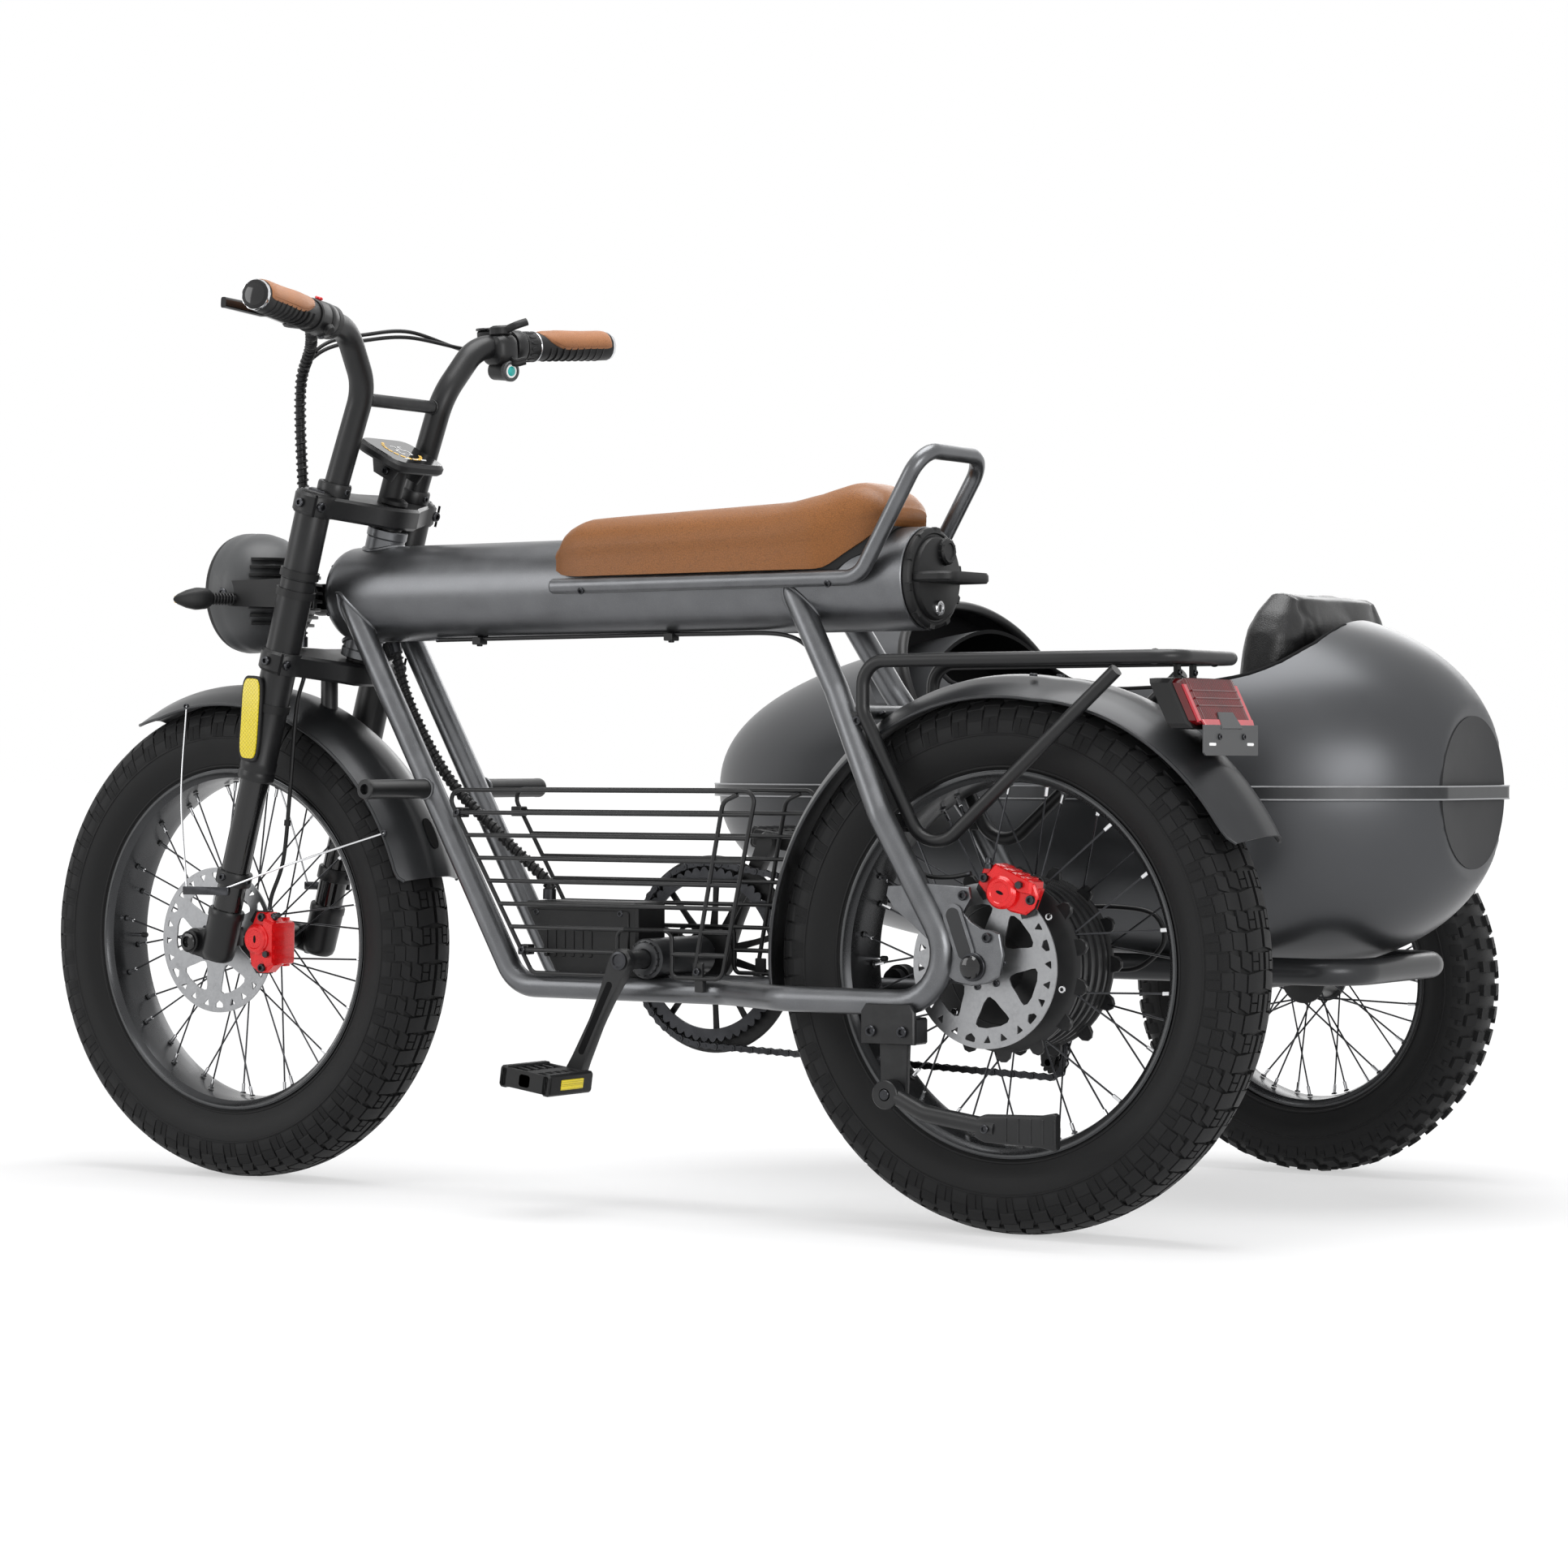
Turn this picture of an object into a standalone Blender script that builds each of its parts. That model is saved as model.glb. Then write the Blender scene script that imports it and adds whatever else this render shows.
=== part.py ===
"""Electric bike with a sidecar: a three-wheeled vehicle laid out in metres.

+X is forward, +Y is the rider's left and +Z is up. Sizes are laid out from the
point where the rear tyre meets the floor. Everything is then moved together so
that the origin lies on the floor below the middle of the vehicle.
"""
import math

import bmesh
import bpy
from mathutils import Matrix, Vector

# Fits
seat_gap = 0.0003          # between pieces that rest on each other
running_gap = 0.0008       # round a shaft that turns
overrun = 0.004            # how far a cutter runs past what it cuts

# Stance
wheelbase = 1.114
tyre_radius = 0.298
tyre_half_width = 0.050
tyre_bead_radius = 0.212
rim_half_width = 0.037
rim_depth = 0.013
spoke_thickness = 0.0030
spokes_per_side = 8
axle_radius = 0.006

# Frame
main_radius = 0.058
main_wall = 0.003
main_height = 0.724
main_front_x = 0.956
main_rear_x = 0.120
main_edge = 0.014
battery_front_x = 0.860

frame_tube_radius = 0.0143
loop_half_gap = 0.044
rear_half_gap = 0.100
lower_tube_height = 0.256
down_tube_top_x = 0.916
down_tube_foot_x = 0.660
flare_front_x = 0.360
flare_rear_x = 0.250
stay_foot_x = -0.003
stay_top_x = 0.276
stay_flare_height = 0.204  # above the lower tube, as the waist is
stay_waist_height = 0.344
stay_waist_half_gap = 0.060
loop_top_drop = 0.010
front_bend_radius = 0.045
rear_bend_radius = 0.056
kink_radius = 0.060
bridge_radius = 0.008

head_bore_radius = 0.0175
head_radius = 0.0235
head_up = 0.083
head_down = 0.080

dropout_thickness = 0.006
dropout_reach = 0.086
dropout_width = 0.118

bracket_rise = 0.036  # above the lower tubes
bottom_bracket_x = 0.467
shell_radius = 0.0235
shell_half_width = 0.055

box_front_x = 0.664
box_rear_x = 0.497
box_height = 0.355
box_edge = 0.004

grille_half_gap = 0.0615
grille_wire = 0.005
grille_top_height = 0.486
grille_foot_height = 0.272
grille_bars = 9
grille_top_front_x = 0.755
grille_top_rear_x = 0.305
grille_foot_front_x = 0.626
grille_foot_rear_x = 0.352
grille_arch_front_x = 0.503
grille_arch_rear_x = 0.421

peg_radius = 0.0115
peg_height = 0.487
peg_reach = 0.172

# Saddle and rail
rail_radius = 0.009
rail_front_x = 0.589
rail_foot_x = 0.168
grab_top_x = 0.086
grab_top_height = 0.080    # above the main tube
grab_bend_radius = 0.030
saddle_front_x = 0.592
saddle_rear_x = 0.099
saddle_half_width = 0.075
saddle_height = 0.809
saddle_hump = 0.023

# Rack, fenders, lamp
rack_radius = 0.0075
rack_half_width = 0.075
rack_height = 0.631
rack_rear_x = -0.230
rack_front_x = 0.158
rack_knee_height = 0.575
rack_foot_x = 0.0733
rack_foot_height = 0.4123
rack_brace_x = -0.160
rack_bend_radius = 0.035
tab_thickness = 0.004
tab_width = 0.020

fender_radius = 0.318
fender_half_width = 0.058
fender_thickness = 0.003
fender_crown_rise = 0.022
fender_tail_flare = 0.022
fender_tail_degrees = 155.0
fender_nose_degrees = 60.0
fender_front_end_degrees = 165.0

lamp_half_width = 0.065
lamp_depth = 0.040
lamp_height = 0.055
lamp_drop = 0.0145
lamp_lean = 0.0265
lamp_bar_x = -0.203
lamp_hanger_gap = 0.036
plate_drop = 0.028

# Drive
crank_length = 0.151
crank_degrees = -63.0
crank_arm_y = 0.092
crank_arm_thickness = 0.015
crank_arm_width = 0.028
spindle_radius = 0.011
pedal_length = 0.088
pedal_width = 0.072
pedal_thickness = 0.026
chain_line = 0.0745
chain_width = 0.009
chain_height = 0.009
chain_pitch_radius = 0.108
chainring_thickness = 0.003
guard_radius = 0.117
guard_offset = 0.0085
sprocket_radius = 0.030
tension_x = 0.004
tension_height = 0.184
tension_radius = 0.017

motor_radius = 0.092
motor_flange_radius = 0.100
motor_half_width = 0.040
motor_flange_half_gap = 0.034
flange_thickness = 0.004
boss_radius = 0.032
rear_disc_y = 0.078
front_disc_y = 0.060
disc_radius = 0.090
disc_thickness = 0.002
disc_window_radius = 0.017
disc_windows = 6
front_hub_radius = 0.024
front_flange_radius = 0.034
front_flange_half_gap = 0.030

caliper_length = 0.078
caliper_height = 0.046
caliper_slot = 0.006
caliper_inner_reach = 0.018
rear_caliper_degrees = 112.0
front_caliper_degrees = 180.0

# Stand
stand_x = 0.099
stand_height = 0.157
stand_leg_radius = 0.0095
stand_eye_radius = 0.016
stand_pin_radius = 0.006
stand_leg_length = 0.165
stand_foot_length = 0.100
stand_foot_width = 0.040
stand_foot_thickness = 0.014
stand_bracket_length = 0.068
stand_bracket_drop = 0.030
stand_ear_thickness = 0.008
stand_y = 0.116
stand_eye_width = 0.018

# Steering
steer_degrees = 15.85
steer_x = 0.914            # steering axis at the height of the main tube
fork_offset = 0.042
fork_half_gap = 0.096
fork_outer_radius = 0.0215
fork_stanchion_radius = 0.0180
fork_lower_radius = 0.0200
fork_outer_foot = -0.247
fork_lower_top = -0.364
fork_foot_below_axle = 0.014
fork_lug_thickness = 0.022
fork_lug_radius = 0.015
crown_thickness = 0.027
upper_crown = 0.086
lower_crown = -0.111
crown_edge = 0.030

bar_radius = 0.0150
bar_half_gap = 0.076
bar_foot_offset = 0.034
bar_shoulder = 0.250
bar_shoulder_offset = 0.022
bar_bend_reach = 0.125
bar_bend_rise = 0.300
bar_bend_radius = 0.045
bar_end_x = 0.812
bar_end_height = 1.051
grip_end_y = 0.343
grip_length = 0.128
grip_radius = 0.0175
bar_end_radius = 0.0110
cross_bar_radius = 0.008
cross_bar_share = 0.90
control_radius = 0.021
control_length = 0.052
lever_length = 0.150
lever_reach = 0.048
lever_radius = 0.0050

display_length = 0.070
display_width = 0.086
display_thickness = 0.014
display_x = 0.872
display_height = 0.0583    # above the upper crown
display_degrees = 28.0

headlamp_radius = 0.075
headlamp_front_x = 1.114
headlamp_depth = 0.082
headlamp_height = 0.730
signal_reach = 0.150
signal_radius = 0.014

# Sidecar
side_wheel_x = 0.026
side_wheel_y = -0.791
side_tyre_radius = 0.244
side_tyre_half_width = 0.048
side_bead_radius = 0.163
side_rim_half_width = 0.028
side_hub_radius = 0.026
side_hub_half_width = 0.034
side_axle_end_y = -0.852

pod_x = -0.0618
pod_y = -0.4510
pod_height = 0.484
pod_front = 0.758
pod_rear = 0.3028
pod_half_width = 0.240
pod_rise = 0.2174
pod_depth = 0.2130
pod_wall = 0.005
pod_plan_power = 1.845
pod_side_power = 2.278
pod_tail_x = -0.338
belt_proud = 0.007
belt_height = 0.016
mouth_rear_x = -0.204
mouth_low = 0.602
mouth_front_x = 0.300
cowl_front_x = 0.352
cowl_rake = 0.055
cowl_half_width = 0.188
cowl_foot = 0.590
cowl_height = 0.126
pod_seat_front_x = 0.200
pod_seat_rear_x = -0.130
pod_seat_height = 0.415
pod_seat_half_width = 0.160
back_half_width = 0.155
back_top = 0.727
back_front_x = -0.060
back_thickness = 0.072
back_rake = 0.055
back_sink = 0.020          # how deep its foot sits in the cushion

chassis_radius = 0.0155
chassis_height = 0.2795
chassis_half_width = 0.130
chassis_front_x = 0.320
chassis_rear_x = -0.245
chassis_bend_radius = 0.050
arm_radius = 0.0125
arm_rear_x = 0.125
arm_front_x = 0.232
hanger_width = 0.046
hanger_thickness = 0.010

hose_radius = 0.0025
loom_radius = 0.0075

# Faceting
wheel_steps = 40
side_wheel_steps = 36
hub_steps = 20
disc_steps = 24
main_steps = 32
leg_steps = 16
pin_steps = 12
tube_sides = 10
bar_sides = 10
pod_around = 32
pod_rows = 7

# Derived places
rear_axle = Vector((0, 0, tyre_radius))
front_axle = Vector((wheelbase, 0, tyre_radius))
side_axle = Vector((side_wheel_x, side_wheel_y, side_tyre_radius))
crank_centre = Vector((bottom_bracket_x, 0, lower_tube_height + bracket_rise))
steer_angle = math.radians(steer_degrees)
steerer_radius = head_bore_radius - running_gap
shell_bore_radius = spindle_radius + running_gap
fork_top = upper_crown + crown_thickness
steer_base = Vector((steer_x, 0, main_height))
steer_up = Vector((-math.sin(steer_angle), 0, math.cos(steer_angle)))
steer_ahead = Vector((math.cos(steer_angle), 0, math.sin(steer_angle)))
axle_down = (front_axle - steer_base).dot(steer_up)
axle_ahead = (front_axle - steer_base).dot(steer_ahead)
crank_angle = math.radians(crank_degrees)
crank_way = Vector((math.cos(crank_angle), 0, math.sin(crank_angle)))
pedal_y = crank_arm_y + crank_arm_thickness + seat_gap
left_pedal = crank_centre + crank_way * crank_length + Vector((0, pedal_y, 0))
right_pedal = crank_centre - crank_way * crank_length - Vector((0, pedal_y, 0))
stand_pivot = Vector((stand_x, stand_y, stand_height))
ALONG_X = Vector((1, 0, 0))
ALONG_Y = Vector((0, 1, 0))

COLOURS = {
    "graphite": ((0.135, 0.140, 0.145, 1), 0.42, 0.75),
    "black": ((0.020, 0.021, 0.022, 1), 0.48, 0.10),
    "charcoal": ((0.050, 0.052, 0.055, 1), 0.45, 0.35),
    "tyre": ((0.016, 0.016, 0.017, 1), 0.80, 0.00),
    "leather": ((0.300, 0.115, 0.035, 1), 0.55, 0.00),
    "black_leather": ((0.018, 0.018, 0.019, 1), 0.50, 0.00),
    "steel": ((0.480, 0.480, 0.490, 1), 0.30, 1.00),
    "red": ((0.720, 0.010, 0.010, 1), 0.30, 0.10),
    "red_lens": ((0.350, 0.004, 0.006, 1), 0.12, 0.00),
    "pod": ((0.072, 0.074, 0.077, 1), 0.38, 0.30),
    "glass": ((0.030, 0.030, 0.032, 1), 0.08, 0.00),
}


# Making things
def clear_scene():
    for thing in list(bpy.data.objects):
        bpy.data.objects.remove(thing, do_unlink=True)


def material(slot):
    found = bpy.data.materials.get(slot)
    if found:
        return found
    colour, roughness, metallic = COLOURS[slot]
    made = bpy.data.materials.new(slot)
    made.use_nodes = True
    shader = made.node_tree.nodes["Principled BSDF"]
    shader.inputs["Base Color"].default_value = colour
    shader.inputs["Roughness"].default_value = roughness
    shader.inputs["Metallic"].default_value = metallic
    return made


def solid(name, points, faces, slot, sharp_degrees=35):
    """One named object from vehicle coordinates, with its faces turned out."""
    mesh = bpy.data.meshes.new(name)
    work = bmesh.new()
    corners = [work.verts.new(point) for point in points]
    for face in faces:
        work.faces.new([corners[i] for i in face])
    bmesh.ops.recalc_face_normals(work, faces=work.faces)
    work.to_mesh(mesh)
    work.free()
    mesh.materials.append(material(slot))
    mesh.shade_smooth()
    mesh.set_sharp_from_angle(angle=math.radians(sharp_degrees))
    thing = bpy.data.objects.new(name, mesh)
    bpy.context.scene.collection.objects.link(thing)
    return thing


def helper(thing):
    thing.hide_render = True
    thing.display_type = "WIRE"
    return thing


def combine(thing, operation, *others):
    for other in others:
        step = thing.modifiers.new(operation.title() + "_" + other.name[:30], "BOOLEAN")
        step.operation = operation
        step.solver = "EXACT"
        step.object = helper(other)
    return thing


def join(thing, *others):
    return combine(thing, "UNION", *others)


def cut(thing, *others):
    return combine(thing, "DIFFERENCE", *others)


def basis(axis):
    """Two unit vectors square to the axis and to each other."""
    axis = axis.normalized()
    side = Vector((0, 0, 1)) if abs(axis.z) < abs(axis.x) + abs(axis.y) else Vector((1, 0, 0))
    first = (side - axis * side.dot(axis)).normalized()
    return first, axis.cross(first)


def turned(name, profile, centre, axis, steps, slot, closed=True):
    """Turn (radius, along) points about an axis; open profiles end on the axis."""
    axis = axis.normalized()
    first, second = basis(axis)
    points, rings = [], []
    for radius, along in profile:
        if radius == 0:
            rings.append([len(points)] * steps)
            points.append(centre + axis * along)
            continue
        rings.append(list(range(len(points), len(points) + steps)))
        for step in range(steps):
            angle = 2 * math.pi * step / steps
            spoke = first * math.cos(angle) + second * math.sin(angle)
            points.append(centre + axis * along + spoke * radius)
    faces = []
    pairs = list(zip(rings, rings[1:]))
    if closed:
        pairs.append((rings[-1], rings[0]))
    for ring, other in pairs:
        for step in range(steps):
            after = (step + 1) % steps
            face = [ring[step], ring[after], other[after], other[step]]
            face = [corner for i, corner in enumerate(face) if corner not in face[:i]]
            if len(face) > 2:
                faces.append(face)
    return solid(name, points, faces, slot)


def clear_of(radius, steps):
    """The corner radius of a faceted hole whose flats stay clear of a round shaft."""
    return (radius + seat_gap) / math.cos(math.pi / steps)


def rod(name, start, end, radius, steps, slot):
    axis = end - start
    return turned(name, [(0, 0), (radius, 0), (radius, axis.length), (0, axis.length)],
                  start, axis, steps, slot, closed=False)


def rounded(points, radii, steps=3):
    """A path whose inner corners are replaced by arcs of the given radii."""
    path = [points[0]]
    for before, here, after, radius in zip(points, points[1:], points[2:], radii):
        back = (before - here).normalized()
        on = (after - here).normalized()
        half = back.angle(on) / 2
        if radius <= 0 or math.pi / 2 - half < math.radians(1):
            path.append(here)
            continue
        reach = min(radius / math.tan(half), (before - here).length * 0.49,
                    (after - here).length * 0.49)
        radius = reach * math.tan(half)
        centre = here + (back + on).normalized() * (radius / math.sin(half))
        start = here + back * reach - centre
        end = here + on * reach - centre
        turn = start.angle(end)
        for step in range(steps + 1):
            share = step / steps
            arm = start * math.sin((1 - share) * turn) + end * math.sin(share * turn)
            path.append(centre + arm / math.sin(turn))
    path.append(points[-1])
    return path


def swept(name, path, radius, sides, slot, ring=False, flat=1.0):
    """A tube along a path, mitred at each point; a ring closes on itself."""
    count = len(path)
    tangents = []
    for i in range(count):
        before = path[i - 1] if i or ring else path[i]
        after = path[(i + 1) % count] if i < count - 1 or ring else path[i]
        ways = [way.normalized() for way in (path[i] - before, after - path[i]) if way.length > 0]
        tangents.append(sum(ways, Vector()).normalized())
    first, _ = basis(tangents[0])
    points, rings = [], []
    for i, (spot, tangent) in enumerate(zip(path, tangents)):
        first = (first - tangent * first.dot(tangent)).normalized()
        second = tangent.cross(first)
        before = path[i - 1] if i or ring else path[i + 1]
        way = (spot - before).normalized()
        lean = abs(way.dot(tangent))
        mitre = way - tangent * way.dot(tangent)
        rings.append(list(range(len(points), len(points) + sides)))
        for side in range(sides):
            angle = 2 * math.pi * (side + 0.5) / sides
            arm = first * math.cos(angle) + second * (math.sin(angle) * flat)
            if mitre.length > 0.001 and lean > 0.3:
                along = mitre.normalized()
                arm = arm + along * arm.dot(along) * (1 / lean - 1)
            points.append(spot + arm * radius)
    faces = []
    pairs = list(zip(rings, rings[1:]))
    if ring:
        pairs.append((rings[-1], rings[0]))
    else:
        faces += [rings[0][::-1], rings[-1]]
    for here, there in pairs:
        for side in range(sides):
            after = (side + 1) % sides
            faces.append([here[side], here[after], there[after], there[side]])
    return solid(name, points, faces, slot)


def lofted(name, sections, slot, sharp_degrees=50):
    """A closed skin over rings of equal length, capped at both ends."""
    size = len(sections[0])
    points = [point for section in sections for point in section]
    faces = [list(range(size))[::-1], [len(points) - size + i for i in range(size)]]
    for row in range(len(sections) - 1):
        for i in range(size):
            j = (i + 1) % size
            faces.append([row * size + i, row * size + j, (row + 1) * size + j, (row + 1) * size + i])
    return solid(name, points, faces, slot, sharp_degrees)


def plate(name, outline, thickness, origin, across, up, slot):
    """An outline of (across, up) points, made as thick as asked to both sides."""
    normal = across.cross(up).normalized()
    half = normal * (thickness / 2)
    flat = [origin + across * a + up * b for a, b in outline]
    return lofted(name, [[p - half for p in flat], [p + half for p in flat]], slot)


def extruded(name, corners, polygons, near, far, slot):
    """Flat (x, z) polygons that share corners, thickened along Y from near to far."""
    uses = {}
    for polygon in polygons:
        for a, b in zip(polygon, polygon[1:] + polygon[:1]):
            uses[a, b] = (b, a)
    count = len(corners)
    points = [Vector((x, y, z)) for y in (near, far) for x, z in corners]
    faces = [list(polygon) for polygon in polygons]
    faces += [[corner + count for corner in polygon] for polygon in polygons]
    faces += [[a, b, b + count, a + count] for (a, b), back in uses.items() if back not in uses]
    return solid(name, points, faces, slot)


def block(name, low, high, slot, edge=0.0):
    corners = [Vector((x, y, z)) for x in (low[0], high[0]) for y in (low[1], high[1])
               for z in (low[2], high[2])]
    faces = [(0, 1, 3, 2), (4, 6, 7, 5), (0, 4, 5, 1), (2, 3, 7, 6), (0, 2, 6, 4), (1, 5, 7, 3)]
    thing = solid(name, corners, faces, slot)
    if edge:
        bevel = thing.modifiers.new("Edges", "BEVEL")
        bevel.width = edge
        bevel.segments = 1
        bevel.limit_method = "ANGLE"
    return thing


def cable(name, route, radius, slot, steps=6):
    """A hose along a smooth curve through its route points."""
    points = []
    padded = [route[0] * 2 - route[1]] + route + [route[-1] * 2 - route[-2]]
    for a, b, c, d in zip(padded, padded[1:], padded[2:], padded[3:]):
        for step in range(steps):
            t = step / steps
            points.append((b * 2 + (c - a) * t + (a * 2 - b * 5 + c * 4 - d) * t ** 2
                           + (b * 3 - a - c * 3 + d) * t ** 3) / 2)
    points.append(route[-1])
    curve = bpy.data.curves.new(name, "CURVE")
    curve.dimensions = "3D"
    curve.bevel_depth = radius
    curve.bevel_resolution = 2
    curve.use_fill_caps = True
    curve.render_resolution_u = 0
    spline = curve.splines.new("POLY")
    spline.points.add(len(points) - 1)
    for slot_point, point in zip(spline.points, points):
        slot_point.co = (*point, 1)
    curve.materials.append(material(slot))
    thing = bpy.data.objects.new(name, curve)
    bpy.context.scene.collection.objects.link(thing)
    return thing


def raked(along, y, ahead):
    """A point by its way up the steering axis, its side and its way ahead."""
    return steer_base + steer_up * along + ALONG_Y * y + steer_ahead * ahead


# Wheels
def tyre(name, centre, radius, half_width, bead, steps):
    height = radius - bead
    shape_shares = [(0, 0.70), (0.28, 0.96), (0.58, 1.0), (0.84, 0.82), (0.97, 0.44)]
    profile = [(bead + height * a, -half_width * b) for a, b in shape_shares] + [(radius, 0)]
    profile += [(bead + height * a, half_width * b) for a, b in reversed(shape_shares)]
    return turned(name, profile, centre, ALONG_Y, steps, "tyre")


def spokes(name, centre, hub_radius, hub_gap, rim_radius, rim_gap, count):
    points, faces = [], []
    thick = spoke_thickness / 2
    for side in (-1, 1):
        for i in range(count):
            angle = 2 * math.pi * (i + (0.62 if side > 0 else 0.17)) / count
            way = Vector((math.cos(angle), 0, math.sin(angle)))
            inner = centre + way * hub_radius + ALONG_Y * (side * hub_gap)
            outer = centre + way * rim_radius + ALONG_Y * (side * rim_gap)
            axis = (outer - inner).normalized()
            wide = axis.cross(ALONG_Y).normalized() * thick
            deep = axis.cross(wide).normalized() * thick
            start = len(points)
            for spot in (inner, outer):
                points += [spot - wide - deep, spot + wide - deep, spot + deep]
            faces += [[start + k for k in face] for face in
                      ((0, 1, 2), (3, 4, 5), (0, 1, 4, 3), (1, 2, 5, 4), (2, 0, 3, 5))]
    return solid(name, points, faces, "black")


def rim(name, centre, bead, half_width, steps):
    outer = bead - seat_gap
    inner = outer - rim_depth
    profile = [(outer, -half_width), (outer, half_width), (inner, half_width * 0.78),
               (inner, -half_width * 0.78)]
    return turned(name, profile, centre, ALONG_Y, steps, "black")


def spoked_wheel(name, centre, hub_profile, hub_radius, hub_gap, bead, half_width, steps):
    wheel = rim(name, centre, bead, half_width, steps)
    hub = turned(name + "_hub_guide", hub_profile, centre, ALONG_Y, hub_steps, "black")
    deep = bead - seat_gap - rim_depth / 2
    wires = spokes(name + "_spoke_guide", centre, hub_radius - spoke_thickness, hub_gap, deep,
                   half_width * 0.20, spokes_per_side)
    join(hub, wires)
    join(wheel, hub)
    return wheel


def brake_disc(name, centre, y, bore, slot="steel"):
    half = disc_thickness / 2
    disc = turned(name, [(bore, y - half), (disc_radius, y - half), (disc_radius, y + half),
                         (bore, y + half)], centre, ALONG_Y, disc_steps, slot)
    windows = []
    reach = (bore + disc_radius) / 2 + disc_window_radius * 0.12
    for i in range(disc_windows):
        angle = 2 * math.pi * i / disc_windows
        spot = centre + Vector((math.cos(angle), 0, math.sin(angle))) * reach
        windows.append(rod(name + "_window_%d" % i, spot + ALONG_Y * (y - overrun),
                           spot + ALONG_Y * (y + overrun), disc_window_radius * 0.72, 6, slot))
    return cut(disc, *windows)


def rear_wheel():
    tyre("rear_tyre", rear_axle, tyre_radius, tyre_half_width, tyre_bead_radius, wheel_steps)
    bore = axle_radius + running_gap
    gap, flange = motor_flange_half_gap, flange_thickness
    disc_side = rear_disc_y - disc_thickness / 2 - seat_gap
    sprocket_side = chain_line - chainring_thickness / 2 - seat_gap
    profile = [(bore, -sprocket_side), (boss_radius * 0.62, -sprocket_side),
               (boss_radius * 0.62, -motor_half_width), (motor_flange_radius, -gap - flange),
               (motor_flange_radius, -gap), (motor_radius, -gap),
               (motor_radius, gap), (motor_flange_radius, gap), (motor_flange_radius, gap + flange),
               (boss_radius, motor_half_width + flange), (boss_radius, disc_side), (bore, disc_side)]
    spoked_wheel("rear_wheel_motor", rear_axle, profile, motor_flange_radius,
                 gap + flange / 2, tyre_bead_radius, rim_half_width, wheel_steps)
    brake_disc("rear_brake_disc", rear_axle, rear_disc_y, bore + flange)
    turned("rear_sprocket",
           [(bore + flange, -chain_line - chainring_thickness / 2),
            (sprocket_radius - chain_height * 0.75, -chain_line - chainring_thickness / 2),
            (sprocket_radius - chain_height * 0.75, -chain_line + chainring_thickness / 2),
            (bore + flange, -chain_line + chainring_thickness / 2)],
           rear_axle, ALONG_Y, 24, "steel")


def front_wheel():
    tyre("front_tyre", front_axle, tyre_radius, tyre_half_width, tyre_bead_radius, wheel_steps)
    bore = axle_radius + running_gap
    gap, flange = front_flange_half_gap, flange_thickness
    right = fork_half_gap - fork_lug_thickness / 2 - running_gap
    disc_side = front_disc_y - disc_thickness / 2 - seat_gap
    profile = [(bore, -right), (front_hub_radius * 0.6, -right),
               (front_flange_radius, -gap - flange / 2), (front_flange_radius, -gap + flange / 2),
               (front_hub_radius, -gap + flange), (front_hub_radius, gap - flange),
               (front_flange_radius, gap - flange / 2), (front_flange_radius, gap + flange / 2),
               (front_hub_radius, disc_side), (bore, disc_side)]
    spoked_wheel("front_wheel", front_axle, profile, front_flange_radius, gap,
                 tyre_bead_radius, rim_half_width, wheel_steps)
    brake_disc("front_brake_disc", front_axle, front_disc_y, bore + flange)


def side_wheel():
    tyre("sidecar_tyre", side_axle, side_tyre_radius, side_tyre_half_width, side_bead_radius, side_wheel_steps)
    bore = axle_radius + running_gap
    gap, flange = side_hub_half_width - flange_thickness, flange_thickness
    end = side_hub_half_width + flange
    profile = [(bore, -end), (side_hub_radius * 0.6, -end), (side_hub_radius + flange, -gap - flange / 2),
               (side_hub_radius + flange, -gap + flange / 2), (side_hub_radius, -gap + flange),
               (side_hub_radius, gap - flange), (side_hub_radius + flange, gap - flange / 2),
               (side_hub_radius + flange, gap + flange / 2), (side_hub_radius * 0.6, end), (bore, end)]
    spoked_wheel("sidecar_wheel", side_axle, profile, side_hub_radius + flange, gap,
                 side_bead_radius, side_rim_half_width, side_wheel_steps)


# Frame
def stay_point(height, y):
    share = (height - lower_tube_height) / (main_height - lower_tube_height)
    return Vector((stay_foot_x + (stay_top_x - stay_foot_x) * share, y, height))


def loop_path(side):
    top = main_height - loop_top_drop
    top_stay = stay_point(top, side * loop_half_gap)
    points = [Vector((down_tube_top_x, side * loop_half_gap, top)),
              Vector((down_tube_foot_x, side * loop_half_gap, lower_tube_height)),
              Vector((flare_front_x, side * loop_half_gap, lower_tube_height)),
              Vector((flare_rear_x, side * rear_half_gap, lower_tube_height)),
              Vector((stay_foot_x, side * rear_half_gap, lower_tube_height)),
              stay_point(lower_tube_height + stay_flare_height, side * rear_half_gap),
              stay_point(lower_tube_height + stay_waist_height, side * stay_waist_half_gap),
              top_stay]
    return rounded(points, [front_bend_radius, kink_radius, kink_radius, rear_bend_radius,
                            kink_radius, kink_radius])


def loop_clearance(side, name):
    return helper(swept(name, loop_path(side), frame_tube_radius + seat_gap, tube_sides, "graphite"))


def dropout(side, name):
    """The plate that holds the rear axle inside the bend of the loop."""
    shape_shares = [(-0.30, -0.10), (0.02, -0.22), (0.34, -0.10), (0.50, 0.30), (0.93, 0.72),
                    (1.00, 1.00), (0.05, 1.00), (0.12, 0.68), (-0.10, 0.48), (-0.30, 0.42)]
    points = [(a * dropout_width * 0.92, b * dropout_reach) for a, b in shape_shares]
    return plate(name, points, dropout_thickness, rear_axle + ALONG_Y * (side * rear_half_gap),
                 ALONG_X, Vector((0, 0, 1)), "graphite")


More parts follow.
